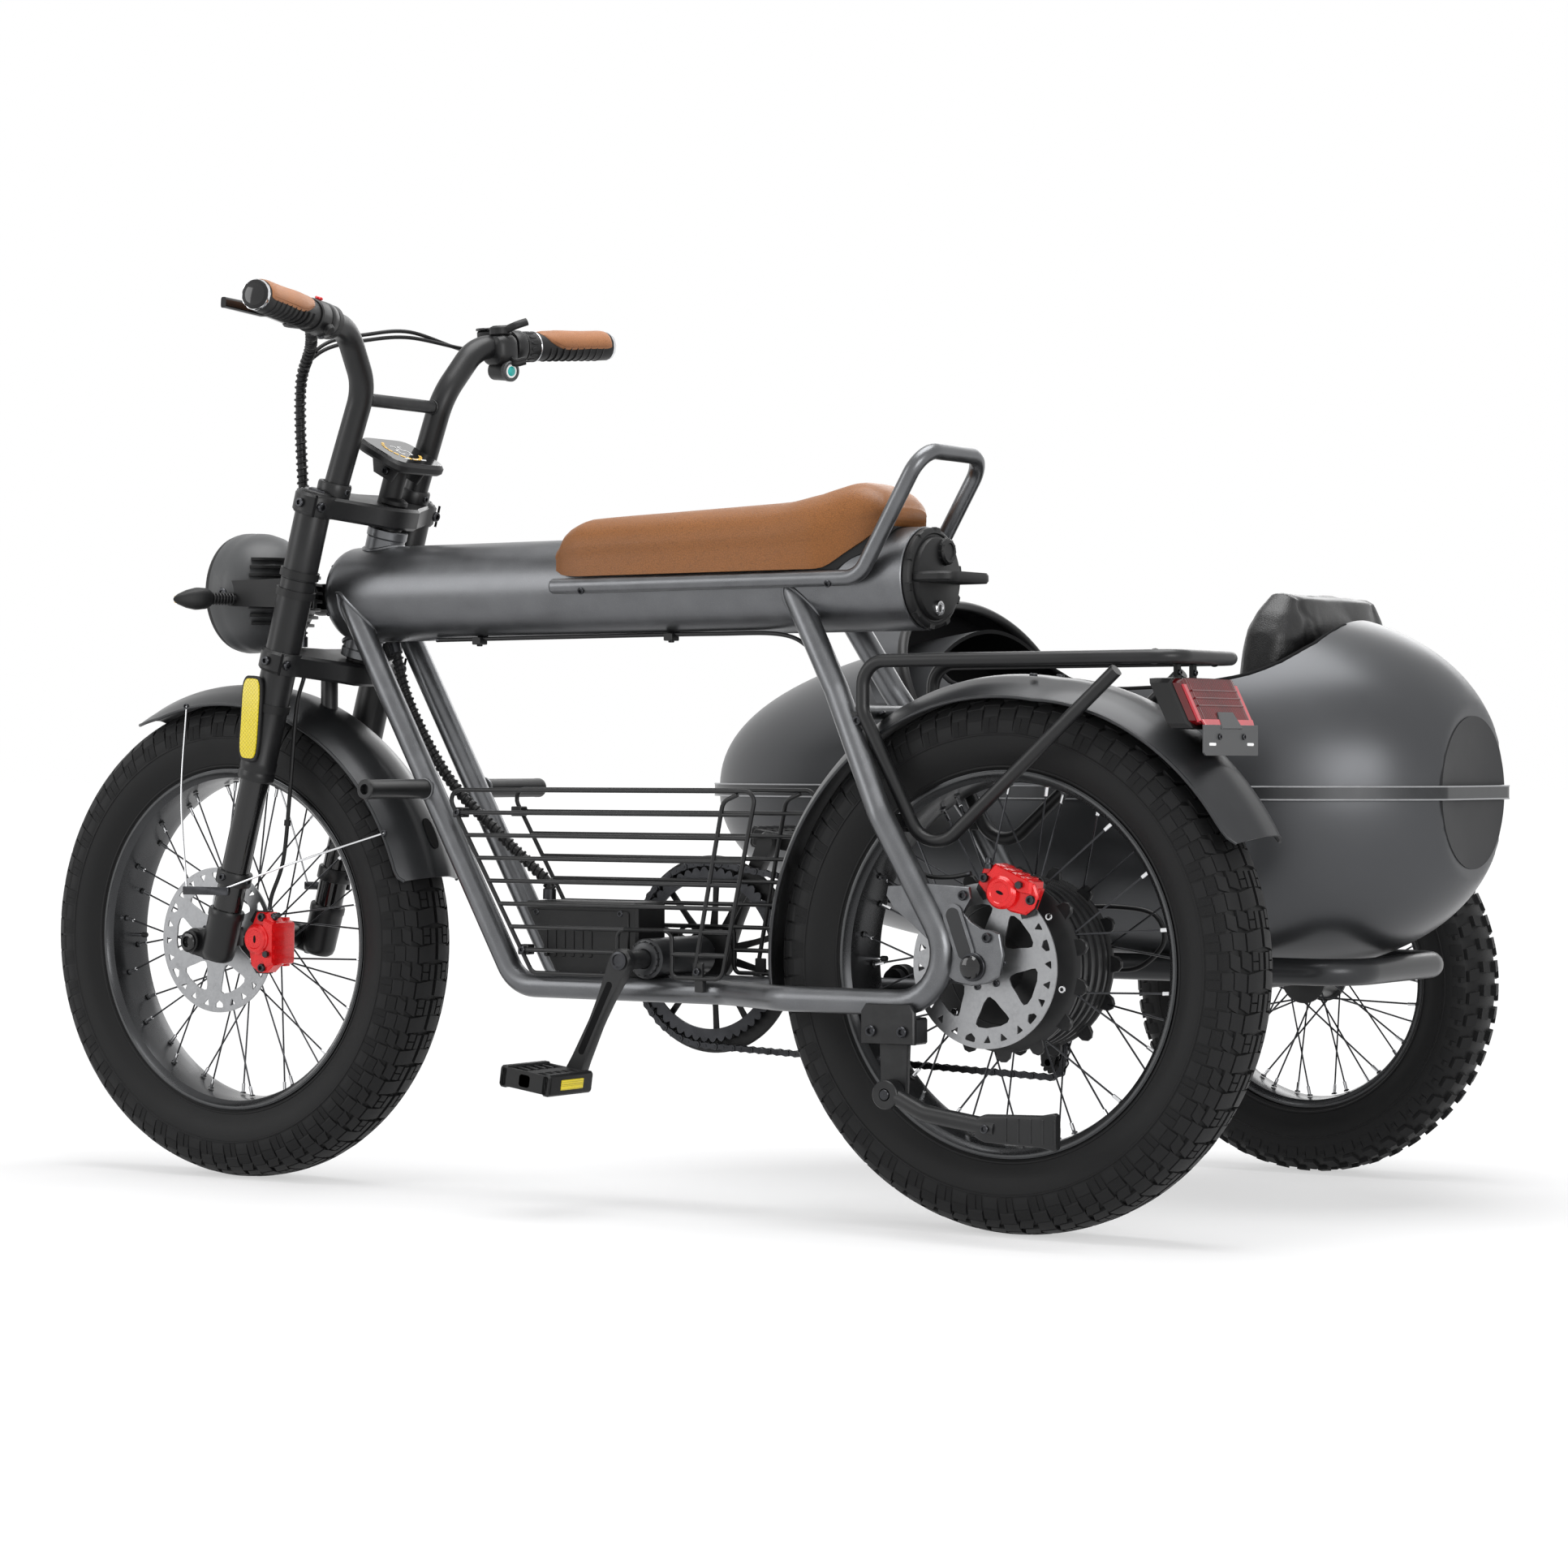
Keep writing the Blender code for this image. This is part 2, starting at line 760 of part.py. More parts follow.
def frame_loop(side, name, extras=()):
    loop = swept(name, loop_path(side), frame_tube_radius, tube_sides, "graphite")
    share = (peg_height - lower_tube_height) / (main_height - loop_top_drop - lower_tube_height)
    peg_x = down_tube_foot_x + (down_tube_top_x - down_tube_foot_x) * share
    peg = rod(name + "_peg", Vector((peg_x, side * loop_half_gap, peg_height)),
              Vector((peg_x, side * peg_reach, peg_height)), peg_radius, 10, "black")
    join(loop, dropout(side, name + "_dropout"), peg, *extras)
    bore = rod(name + "_axle_bore",
               rear_axle + ALONG_Y * (side * (rear_half_gap - dropout_thickness)),
               rear_axle + ALONG_Y * (side * (rear_half_gap + dropout_thickness)),
               axle_radius + seat_gap, pin_steps, "graphite")
    tube = rod(name + "_tube_room", Vector((main_rear_x - overrun, 0, main_height)),
               Vector((main_front_x + overrun, 0, main_height)), main_radius + seat_gap, main_steps, "graphite")
    return cut(loop, tube, bore)


def bridges():
    """Cross tubes that carry the rear fender between the two loops."""
    angle = math.radians(58)
    reach = fender_radius + seat_gap + bridge_radius
    high = rear_axle + Vector((math.cos(angle), 0, math.sin(angle))) * reach
    drop = rear_axle.z - lower_tube_height
    low = Vector((math.sqrt(reach ** 2 - drop ** 2), 0, lower_tube_height))
    made = []
    for name, spot, half in (("stay_bridge", high, stay_waist_half_gap),
                             ("lower_bridge", low, rear_half_gap * 0.62)):
        made.append(rod(name, spot - ALONG_Y * half, spot + ALONG_Y * half, bridge_radius, 8, "graphite"))
    return made


def main_tube():
    """The big tube that houses the battery, closed at the nose, with the head tube through it."""
    inner = main_radius - main_wall
    length = main_front_x - main_rear_x
    nose = main_edge
    outside = [(0, length), (main_radius - nose, length),
               (main_radius - nose * 0.29, length - nose * 0.29), (main_radius, length - nose),
               (main_radius, 0)]
    inside = [(inner, 0), (inner, length - nose - main_wall), (main_radius - nose, length - main_wall),
              (0, length - main_wall)]
    tube = turned("main_tube", outside + inside, Vector((main_rear_x, 0, main_height)), ALONG_X, main_steps,
                  "graphite", closed=False)
    head = rod("head_tube_guide", raked(-head_down, 0, 0), raked(head_up, 0, 0), head_radius, 20, "graphite")
    bore = rod("head_bore", raked(-head_down - overrun, 0, 0), raked(head_up + overrun, 0, 0),
               head_bore_radius, 20, "graphite")
    join(tube, head)
    cut(tube, bore)
    rod("battery_pack", Vector((main_rear_x + overrun, 0, main_height)),
        Vector((battery_front_x, 0, main_height)), inner - seat_gap, main_steps, "black")


def battery_cap():
    rear = main_rear_x - seat_gap
    depth = main_wall * 5
    rise = main_radius * 0.95
    cap = turned("battery_cap", [(0, 0), (rise, 0), (rise, -depth * 0.6), (rise - main_wall * 2, -depth),
                                 (0, -depth)],
                 Vector((rear, 0, main_height)), ALONG_X, 24, "black", closed=False)
    handle = block("cap_handle", (rear - main_radius, -main_radius * 0.84, main_height - main_wall * 2),
                   (rear - depth / 2, main_radius * 0.84, main_height + main_wall * 2), "black")
    lock = rod("cap_lock", Vector((rear - depth * 1.35, 0, main_height - main_radius * 0.58)),
               Vector((rear - depth / 2, 0, main_height - main_radius * 0.58)), main_radius * 0.16, 8, "steel")
    return join(cap, handle, lock)


def bottom_bracket():
    half = shell_half_width
    shell = turned("bottom_bracket", [(shell_bore_radius, -half), (shell_radius, -half),
                                      (shell_radius, half), (shell_bore_radius, half)],
                   crank_centre, ALONG_Y, 20, "charcoal")
    foot = block("bracket_foot",
                 (bottom_bracket_x - shell_radius * 0.8, -loop_half_gap, lower_tube_height),
                 (bottom_bracket_x + shell_radius * 0.8, loop_half_gap, crank_centre.z - shell_radius * 0.84),
                 "charcoal")
    join(shell, foot)
    return cut(shell, loop_clearance(1, "bracket_room_left"), loop_clearance(-1, "bracket_room_right"))


def controller_box():
    half = loop_half_gap - frame_tube_radius - seat_gap
    slope = (down_tube_top_x - down_tube_foot_x) / (main_height - loop_top_drop - lower_tube_height)
    rise = box_height - lower_tube_height
    lean = slope * rise
    foot_rear = box_rear_x + rise * 0.28
    outline = [(foot_rear, lower_tube_height), (box_front_x - lean, lower_tube_height),
               (box_front_x, box_height), (box_rear_x, box_height),
               (box_rear_x, lower_tube_height + rise * 0.45)]
    return plate("controller_box", outline, half * 2, Vector((0, 0, 0)), ALONG_X, Vector((0, 0, 1)), "black")


def grille(side, name):
    """A flat wire panel: two slanted rails, level bars and an arch over the cranks."""
    levels = []
    pitch = (grille_top_height - grille_foot_height) / (grille_bars - 1)
    for i in range(grille_bars):
        middle = grille_foot_height + pitch * i
        levels += [middle - grille_wire / 2, middle + grille_wire / 2]
    total = grille_top_height - grille_foot_height

    def edge(foot, top, height):
        return foot + (top - foot) * (height - grille_foot_height) / total

    arch_bar = 2
    corners, index = [], {}
    for level, height in enumerate(levels):
        rear = edge(grille_foot_rear_x, grille_top_rear_x, height)
        front = edge(grille_foot_front_x, grille_top_front_x, height)
        columns = {0: rear, 1: rear + grille_wire, 6: front - grille_wire, 7: front}
        if level <= 2 * arch_bar:
            columns.update({2: grille_arch_rear_x, 3: grille_arch_rear_x + grille_wire,
                            4: grille_arch_front_x - grille_wire, 5: grille_arch_front_x})
        for column, x in columns.items():
            index[level, column] = len(corners)
            corners.append((x, height))
    polygons = []
    for level in range(len(levels) - 1):
        bar, between = divmod(level, 2)
        spans = [(0, 1), (6, 7)]
        if bar < arch_bar:
            spans += [(2, 3), (4, 5)] if between else [(1, 2), (2, 3), (4, 5), (5, 6)]
        elif not between and bar > arch_bar:
            spans.append((1, 6))
        for a, b in spans:
            polygons.append([index[level, a], index[level, b], index[level + 1, b], index[level + 1, a]])
        if bar == arch_bar and not between:
            polygons.append([index[level, column] for column in range(1, 7)]
                            + [index[level + 1, 6], index[level + 1, 1]])
    panel = extruded(name, corners, polygons, side * grille_half_gap,
                     side * (grille_half_gap + grille_wire), "black")
    # Two ears at the front reach in to the down tube and the foot ear reaches the lower tube.
    ear = grille_wire * 1.5
    inner, outer = side * loop_half_gap, side * (grille_half_gap + grille_wire / 2)
    low_y, high_y = min(inner, outer), max(inner, outer)
    ears = []
    for i, level in enumerate((1, grille_bars - 2)):
        height = grille_foot_height + pitch * level
        x = edge(grille_foot_front_x, grille_top_front_x, height)
        ears.append(block(name + "_ear_%d" % i, (x - ear * 2, low_y, height - ear),
                          (x + ear, high_y, height + ear), "black"))
    foot_x = (grille_foot_rear_x + grille_arch_rear_x) / 2
    ears.append(block(name + "_ear_foot", (foot_x - ear, low_y, lower_tube_height),
                      (foot_x + ear, high_y, grille_foot_height), "black"))
    join(panel, *ears)
    return cut(panel, loop_clearance(side, name + "_room"))


# Saddle and rail
def seat_rail():
    y = main_radius + rail_radius + seat_gap
    z = main_height
    top = main_height + main_radius + grab_top_height
    points = [Vector((rail_front_x, y, z)), Vector((rail_foot_x, y, z)),
              Vector((grab_top_x, y, top)), Vector((grab_top_x, -y, top)),
              Vector((rail_foot_x, -y, z)), Vector((rail_front_x, -y, z))]
    return swept("seat_rail", rounded(points, [grab_bend_radius] * 4), rail_radius, 10, "graphite")


def saddle():
    floor = main_height + rail_radius + seat_gap
    rise = saddle_height - floor
    length = saddle_front_x - saddle_rear_x
    shape_shares = [(0.000, 0.62, 0.74, 0.60), (0.035, 0.50, 0.98, 0.68), (0.110, 0.30, 1.23, 0.73),
                    (0.185, 0.06, 1.31, 0.80), (0.270, 0.02, 1.17, 0.96), (0.360, 0.02, 1.06, 1.00),
                    (0.650, 0.02, 0.99, 1.00), (0.925, 0.02, 0.93, 0.97), (0.975, 0.05, 0.80, 0.90),
                    (1.000, 0.12, 0.55, 0.82)]
    sections = []
    for along, low, high, wide in shape_shares:
        x = saddle_rear_x + length * along
        bottom, top = floor + rise * low, floor + rise * high
        half = saddle_half_width * wide
        tall = top - bottom
        ring = []
        for a, b in ((-0.97, 0), (-1.0, 0.18), (-0.99, 0.50), (-0.90, 0.80), (-0.62, 0.97), (0, 1.0),
                     (0.62, 0.97), (0.90, 0.80), (0.99, 0.50), (1.0, 0.18), (0.97, 0)):
            ring.append(Vector((x, half * a, bottom + tall * b)))
        sections.append(ring)
    seat = lofted("seat", sections, "leather")
    room = rod("seat_room", Vector((saddle_rear_x - overrun, 0, main_height)),
               Vector((saddle_front_x + overrun, 0, main_height)), main_radius + seat_gap, main_steps, "leather")
    return cut(seat, room)


# Rack, fenders, lamp
def rack():
    """One bent tube: brace, foot bend, front leg, rail, rear end and back the same way."""
    reach = rack_radius * 0.8 + seat_gap
    brace_top = rack_height - rack_radius - reach
    half = []
    for spot in ((rack_brace_x, brace_top), (rack_foot_x, rack_foot_height),
                 (rack_front_x, rack_knee_height), (rack_front_x, rack_height),
                 (rack_rear_x, rack_height)):
        half.append(spot)
    points = [Vector((x, rack_half_width, z)) for x, z in half]
    points += [Vector((x, -rack_half_width, z)) for x, z in reversed(half)]
    bend = rack_bend_radius
    path = rounded(points, [bend, bend, bend, bend * 0.8, bend * 0.8, bend, bend, bend])
    tube = swept("rear_rack", path, rack_radius, 8, "black")
    tabs = []
    for side in (-1, 1):
        for i, height in enumerate((rack_knee_height - tab_width / 2, rack_foot_height + tab_width * 2)):
            share = (height - rack_foot_height) / (rack_knee_height - rack_foot_height)
            x = rack_foot_x + (rack_front_x - rack_foot_x) * share
            stay = stay_point(height, 0)
            y = side * rack_half_width
            tabs.append(block("rack_tab_%d_%d" % (side + 1, i),
                              (x - rack_radius / 2, y - tab_thickness / 2, height - tab_width / 2),
                              (stay.x, y + tab_thickness / 2, height + tab_width / 2), "black"))
    bar = rod("lamp_bar", Vector((lamp_bar_x, -rack_half_width, rack_height)),
              Vector((lamp_bar_x, rack_half_width, rack_height)), rack_radius, 8, "black")
    join(tube, bar, *tabs)
    return cut(tube, loop_clearance(1, "rack_room_left"), loop_clearance(-1, "rack_room_right"))


def fender(name, centre, start_degrees, end_degrees, steps, tail_from=None, tail_flare=0.0,
           round_start=0.0):
    """A curved sheet round a wheel; angles run from straight ahead, up and over."""
    sections = []
    across = (-1.0, -0.80, -0.45, 0, 0.45, 0.80, 1.0)
    for step in range(steps + 1):
        share = step / steps
        degrees = start_degrees + (end_degrees - start_degrees) * share
        angle = math.radians(degrees)
        way = Vector((math.cos(angle), 0, math.sin(angle)))
        flare = 0.0
        if tail_from is not None and degrees > tail_from:
            flare = tail_flare * ((degrees - tail_from) / (end_degrees - tail_from)) ** 0.8
        half = fender_half_width
        if round_start and share < round_start:
            half *= 0.55 + 0.45 * math.sqrt(share / round_start)
        outer, inner = [], []
        for a in across:
            drop = fender_crown_rise * abs(a) ** 2.4
            outer.append(centre + way * (fender_radius + flare - drop) + ALONG_Y * (half * a))
            inner.append(centre + way * (fender_radius + flare - drop - fender_thickness)
                         + ALONG_Y * (half * a * 0.985))
        sections.append(outer + inner[::-1])
    return lofted(name, sections, "charcoal", 40)


def rear_fender():
    low = lower_tube_height - rear_axle.z
    start = math.degrees(math.asin(low / fender_radius))
    return fender("rear_fender", rear_axle, start, fender_tail_degrees, 18,
                  tail_from=100.0, tail_flare=fender_tail_flare)


def front_fender():
    guard = fender("front_fender", front_axle, fender_nose_degrees, fender_front_end_degrees, 12,
                   round_start=0.10)
    top = raked(lower_crown - seat_gap, 0, fork_offset)
    ahead = top.x - wheelbase
    skin = front_axle.z + math.sqrt((fender_radius - fender_thickness) ** 2 - ahead ** 2)
    size = crown_edge * 0.35
    foot = Vector((top.x, 0, skin - fender_thickness / 2))
    mount = rod("fender_mount", foot, top, size, 12, "black")
    join(guard, mount)
    return cut(guard, crown_room("fender_mount_room", lower_crown))


def tail_lamp():
    top = rack_height - rack_radius - lamp_drop
    x0, x1 = rack_rear_x - lamp_depth * 0.05, rack_rear_x + lamp_depth * 0.95
    low = top - lamp_height
    half = lamp_half_width
    sections = []
    for y in (-half, -half * 0.88, half * 0.88, half):
        pull = 0.16 * lamp_depth if abs(y) == half else 0
        sections.append([Vector((x0 + pull, y, top)), Vector((x0 - lamp_lean + pull, y, low + pull)),
                         Vector((x1 - lamp_lean, y, low + pull)), Vector((x1, y, top))])
    lamp = lofted("tail_lamp", sections, "red_lens")
    hangers = []
    size = rack_radius * 0.6
    for side in (-1, 1):
        y = side * lamp_hanger_gap / 2
        hangers.append(block("lamp_hanger_%d" % (side + 1),
                             (lamp_bar_x - size / 2, y - size, top - size),
                             (lamp_bar_x + size / 2, y + size, rack_height - rack_radius - seat_gap), "black"))
    thin = size / 2
    foot = x0 - lamp_lean
    hangers.append(block("lamp_plate", (foot, -half * 0.97, low - plate_drop),
                         (foot + thin, half * 0.97, low + size), "black"))
    return join(lamp, *hangers)


# Drive
def crankset():
    spindle = rod("crankset", crank_centre - ALONG_Y * (crank_arm_y + crank_arm_thickness / 2),
                  crank_centre + ALONG_Y * (crank_arm_y + crank_arm_thickness / 2),
                  spindle_radius, 16, "black")
    pieces = []
    for side, way in ((1, crank_way), (-1, -crank_way)):
        up = way.cross(ALONG_Y)
        wide = crank_arm_width / 2
        tip = wide * 0.80
        outline = []
        for i in range(5):
            angle = math.pi / 2 + math.pi * i / 4
            outline.append((wide * math.cos(angle), wide * math.sin(angle)))
        for i in range(5):
            angle = -math.pi / 2 + math.pi * i / 4
            outline.append((crank_length + tip * math.cos(angle), tip * math.sin(angle)))
        middle = crank_centre + ALONG_Y * (side * (crank_arm_y + crank_arm_thickness / 2))
        pieces.append(plate("crank_arm_%d" % (side + 1), outline, crank_arm_thickness, middle, way, up, "black"))
        end = crank_centre + way * crank_length
        pieces.append(rod("pedal_pin_%d" % (side + 1),
                          end + ALONG_Y * (side * (crank_arm_y + crank_arm_thickness / 2)),
                          end + ALONG_Y * (side * (pedal_y + pedal_length * 0.96)), axle_radius, 12, "steel"))
    return join(spindle, *pieces)


def pedal(side, name):
    centre = left_pedal if side > 0 else right_pedal
    inner, outer = centre.y + side * running_gap, centre.y + side * (running_gap + pedal_length)
    low_y, high_y = min(inner, outer), max(inner, outer)
    body = block(name, (centre.x - pedal_width / 2, low_y, centre.z - pedal_thickness / 2),
                 (centre.x + pedal_width / 2, high_y, centre.z + pedal_thickness / 2), "black",
                 pedal_thickness * 0.15)
    bore = rod(name + "_bore", Vector((centre.x, low_y - overrun, centre.z)),
               Vector((centre.x, high_y + overrun, centre.z)), axle_radius + running_gap, 12, "black")
    tilt = math.radians(-8)
    turn = Matrix.Translation(centre) @ Matrix.Rotation(tilt, 4, "Y") @ Matrix.Translation(-centre)
    for thing in (body, bore):
        thing.data.transform(turn)
    return cut(body, bore)


def chainring():
    half = chainring_thickness / 2
    teeth = chain_pitch_radius - chain_height * 0.72
    bore = spindle_radius + seat_gap
    flange = chain_pitch_radius * 0.84
    y = -chain_line
    far = y - guard_offset
    profile = [(bore, y + half), (teeth, y + half), (teeth, y - half), (flange, far + half),
               (guard_radius, far), (guard_radius, far - chainring_thickness),
               (flange, far - chainring_thickness), (boss_radius, y - half),
               (boss_radius, -crank_arm_y + seat_gap), (bore, -crank_arm_y + seat_gap)]
    ring = turned("chainring", profile, crank_centre, ALONG_Y, 32, "black")
    holes = []
    reach = (boss_radius + flange) / 2
    size = (flange - boss_radius) * 0.42
    for i in range(5):
        angle = 2 * math.pi * i / 5
        spot = crank_centre + Vector((math.cos(angle), 0, math.sin(angle))) * reach
        holes.append(rod("chainring_hole_%d" % i, spot + ALONG_Y * (far - overrun),
                         spot + ALONG_Y * (y + overrun), size, 6, "black"))
    return cut(ring, *holes)


def chain():
    """A belt-like loop round the chainring, the sprocket and the tension wheel."""
    circles = [(crank_centre.x, crank_centre.z, chain_pitch_radius),
               (tension_x, tension_height, tension_radius),
               (rear_axle.x, rear_axle.z, sprocket_radius)]
    path = []
    for i, (x, z, radius) in enumerate(circles):
        before, after = circles[i - 1], circles[(i + 1) % 3]

        def leave(a, b):
            dx, dz = b[0] - a[0], b[1] - a[1]
            reach = math.hypot(dx, dz)
            return math.atan2(dz, dx) + math.acos((a[2] - b[2]) / reach)

        arrive = leave(before, (x, z, radius))
        depart = leave((x, z, radius), after)
        while depart > arrive:
            depart -= 2 * math.pi
        count = max(3, int((arrive - depart) / math.radians(17)))
        for step in range(count + 1):
            angle = arrive + (depart - arrive) * step / count
            path.append(Vector((x + radius * math.cos(angle), -chain_line, z + radius * math.sin(angle))))
    points, faces = [], []
    total = len(path)
    for i, spot in enumerate(path):
        tangent = (path[(i + 1) % total] - path[i - 1]).normalized()
        normal = tangent.cross(ALONG_Y) * (chain_height / 2)
        wide = ALONG_Y * (chain_width / 2)
        points += [spot - normal - wide, spot + normal - wide, spot + normal + wide, spot - normal + wide]
    for i in range(total):
        j = (i + 1) % total
        for k in range(4):
            m = (k + 1) % 4
            faces.append([4 * i + k, 4 * i + m, 4 * j + m, 4 * j + k])
    return solid("chain", points, faces, "steel")


def derailleur():
    """The tension wheel's arm, hung from the right dropout."""
    inner = -(chain_line + chain_width / 2 + running_gap)
    outer = -(rear_half_gap - dropout_thickness / 2 - seat_gap)
    drop = rear_axle.z - tension_height
    wide = tension_radius * 0.62
    outline = [(-wide, -wide), (wide, -wide), (wide * 1.2, drop * 0.8), (wide * 1.6, drop + wide * 0.2),
               (-wide * 0.4, drop + wide * 0.2), (-wide * 1.2, drop * 0.7)]
    low = drop - dropout_reach * 0.16
    outline = [(a, min(b, low)) for a, b in outline]
    middle = Vector((tension_x, inner - tab_thickness / 2, tension_height))
    arm = plate("derailleur", outline, tab_thickness, middle, ALONG_X, Vector((0, 0, 1)), "black")
    wheel = rod("tension_wheel", Vector((tension_x, inner - tab_thickness / 2, tension_height)),
                Vector((tension_x, -chain_line + chain_width / 2, tension_height)),
                tension_radius - chain_height / 2 - seat_gap, 12, "black")
    top = rear_axle.z - axle_radius * 1.8
    hang = block("derailleur_hang", (tension_x - wide * 0.5, outer, tension_height + low * 0.72),
                 (tension_x + wide, inner - tab_thickness / 2, top), "black")
    return join(arm, wheel, hang)


def rear_axle_pin():
    half = rear_half_gap + dropout_thickness / 2 + seat_gap
    nut = dropout_thickness * 1.9
    pin = axle_radius
    wide = axle_radius * 2.1
    return turned("rear_axle", [(0, -half - nut), (wide * 0.7, -half - nut), (wide, -half - nut * 0.55),
                                (wide, -half), (pin, -half), (pin, half), (wide, half),
                                (wide, half + nut * 0.55), (wide * 0.7, half + nut), (0, half + nut)],
                  rear_axle, ALONG_Y, pin_steps, "black", closed=False)


def caliper_blocks(name, centre, disc_y, degrees, outer_y, slot):
    """A caliper body that straddles the disc's rim, slot cut for the disc."""
    angle = math.radians(degrees)
    out = Vector((math.cos(angle), 0, math.sin(angle)))
    along = out.cross(ALONG_Y)
    middle = centre + out * (disc_radius * 0.98)
    half_long, half_tall = caliper_length / 2, caliper_height / 2
    low_y, high_y = disc_y - caliper_inner_reach, outer_y
    outline = [(-half_long, -half_tall * 0.55), (-half_long * 0.5, -half_tall), (half_long * 0.5, -half_tall),
               (half_long, -half_tall * 0.55), (half_long, half_tall * 0.65), (half_long * 0.55, half_tall),
               (-half_long * 0.55, half_tall), (-half_long, half_tall * 0.65)]
    body = plate(name, outline, high_y - low_y, middle + ALONG_Y * ((low_y + high_y) / 2), along, out, slot)
    room = turned(name + "_disc_room", [(0, disc_y - caliper_slot / 2),
                                        (disc_radius + caliper_slot / 2, disc_y - caliper_slot / 2),
                                        (disc_radius + caliper_slot / 2, disc_y + caliper_slot / 2),
                                        (0, disc_y + caliper_slot / 2)],
                  centre, ALONG_Y, disc_steps, slot, closed=False)
    return body, room


def rear_caliper():
    outer = rear_half_gap - dropout_thickness / 2 - seat_gap
    body, room = caliper_blocks("rear_caliper", rear_axle, rear_disc_y, rear_caliper_degrees, outer, "red")
    return cut(body, room)


def front_caliper():
    outer = fork_half_gap - fork_lower_radius * 0.2
    body, room = caliper_blocks("front_caliper", front_axle, front_disc_y, front_caliper_degrees, outer, "red")
    leg_x = raked(axle_down, 0, fork_offset).x
    size = caliper_height * 0.22
    y = (front_disc_y + caliper_slot + outer) / 2
    lug = block("caliper_lug", (front_axle.x - disc_radius, front_disc_y + caliper_slot, tyre_radius - size),
                (leg_x, outer, tyre_radius + size), "black")
    join(body, lug)
    leg = rod("caliper_leg_room", raked(axle_down - fork_foot_below_axle - overrun, fork_half_gap, fork_offset),
              raked(fork_lower_top + overrun, fork_half_gap, fork_offset), fork_lower_radius + seat_gap, leg_steps, "red")
    return cut(body, room, leg)


# Stand
def stand_bracket():
    half = stand_bracket_length / 2
    top = lower_tube_height
    outer = rear_half_gap + frame_tube_radius * 1.3
    inner = rear_half_gap - frame_tube_radius * 0.8
    low = lower_tube_height - frame_tube_radius - stand_bracket_drop
    plate_box = block("stand_bracket", (stand_x - half, inner, low), (stand_x + half, outer, top), "black")
    ear_y = stand_y - stand_eye_width / 2 - running_gap
    ear = block("stand_ear", (stand_x - stand_eye_radius, ear_y - stand_ear_thickness, stand_height - stand_eye_radius),
                (stand_x + stand_eye_radius, ear_y, low + seat_gap), "black")
    pin = rod("stand_pin", Vector((stand_x, ear_y - stand_ear_thickness / 2, stand_height)),
              Vector((stand_x, stand_y + stand_eye_width / 2 + running_gap, stand_height)),
              stand_pin_radius, pin_steps, "steel")
    join(plate_box, ear, pin)
    return cut(plate_box, loop_clearance(1, "stand_room"))


def kickstand():
    eye = turned("kickstand", [(stand_pin_radius + running_gap, -stand_eye_width / 2),
                               (stand_eye_radius, -stand_eye_width / 2),
                               (stand_eye_radius, stand_eye_width / 2),
                               (stand_pin_radius + running_gap, stand_eye_width / 2)],
                 stand_pivot, ALONG_Y, pin_steps, "black")
    reach = stand_eye_radius * 0.8
    knee = stand_pivot + Vector((-stand_leg_length * 0.30, stand_eye_width * 0.25, -stand_leg_length * 0.11))
    end = stand_pivot + Vector((-stand_leg_length * 0.86, stand_eye_width * 0.50, -stand_leg_length * 0.18))
    start = stand_pivot + Vector((-reach, 0, -reach * 0.25))
    leg = swept("stand_leg", rounded([start, knee, end], [stand_leg_length * 0.3]), stand_leg_radius, 8, "black")
    sections = []
    thick = stand_foot_thickness / 2
    for share, tall in ((0, 0.62), (0.12, 0.75), (0.80, 0.85), (1, 1.0)):
        spot = end + Vector((-stand_foot_length * (share - 0.25), 0, 0))
        half = stand_foot_width / 2 * tall
        sections.append([spot + Vector((0, -thick, -half)), spot + Vector((0, thick, -half)),
                         spot + Vector((0, thick, half)), spot + Vector((0, -thick, half))])
    foot = lofted("stand_foot", sections, "black")
    return join(eye, leg, foot)


# Steering
def crown(name, low, thickness):
    """A clamp plate square to the steering axis, round the steerer and both legs."""
    wide, edge = fork_half_gap, crown_edge
    outline = [(-wide - edge * 0.85, fork_offset - edge * 0.45), (-wide - edge * 0.85, fork_offset + edge * 0.45),
               (-wide - edge * 0.35, fork_offset + edge * 0.85), (-wide * 0.45, fork_offset + edge * 0.72),
               (wide * 0.45, fork_offset + edge * 0.72), (wide + edge * 0.35, fork_offset + edge * 0.85),
               (wide + edge * 0.85, fork_offset + edge * 0.45), (wide + edge * 0.85, fork_offset - edge * 0.45),
               (wide + edge * 0.30, fork_offset - edge * 0.85), (edge * 0.85, -edge * 0.75),
               (-edge * 0.85, -edge * 0.75), (-wide - edge * 0.30, fork_offset - edge * 0.85)]
    origin = steer_base + steer_up * (low + thickness / 2)
    return plate(name, outline, thickness, origin, ALONG_Y, steer_ahead, "black")


def crown_room(name, low):
    return helper(crown(name, low - seat_gap, crown_thickness + seat_gap * 2))


def leg_room(side, name, low, high, radius):
    return rod(name, raked(low, side * fork_half_gap, fork_offset),
               raked(high, side * fork_half_gap, fork_offset), radius + seat_gap, leg_steps, "black")


def fork_crowns():
    base = crown("fork_crowns", lower_crown, crown_thickness)
    upper = crown("upper_crown_guide", upper_crown, crown_thickness)
    steerer = rod("steerer_guide", raked(lower_crown + crown_thickness / 2, 0, 0),
                  raked(upper_crown + crown_thickness / 2, 0, 0), steerer_radius, 20, "black")
    join(base, steerer, upper)
    rooms = [leg_room(side, "crown_leg_room_%d" % (side + 1), fork_outer_foot, fork_top + overrun,
                      fork_outer_radius) for side in (-1, 1)]
    return cut(base, *rooms)


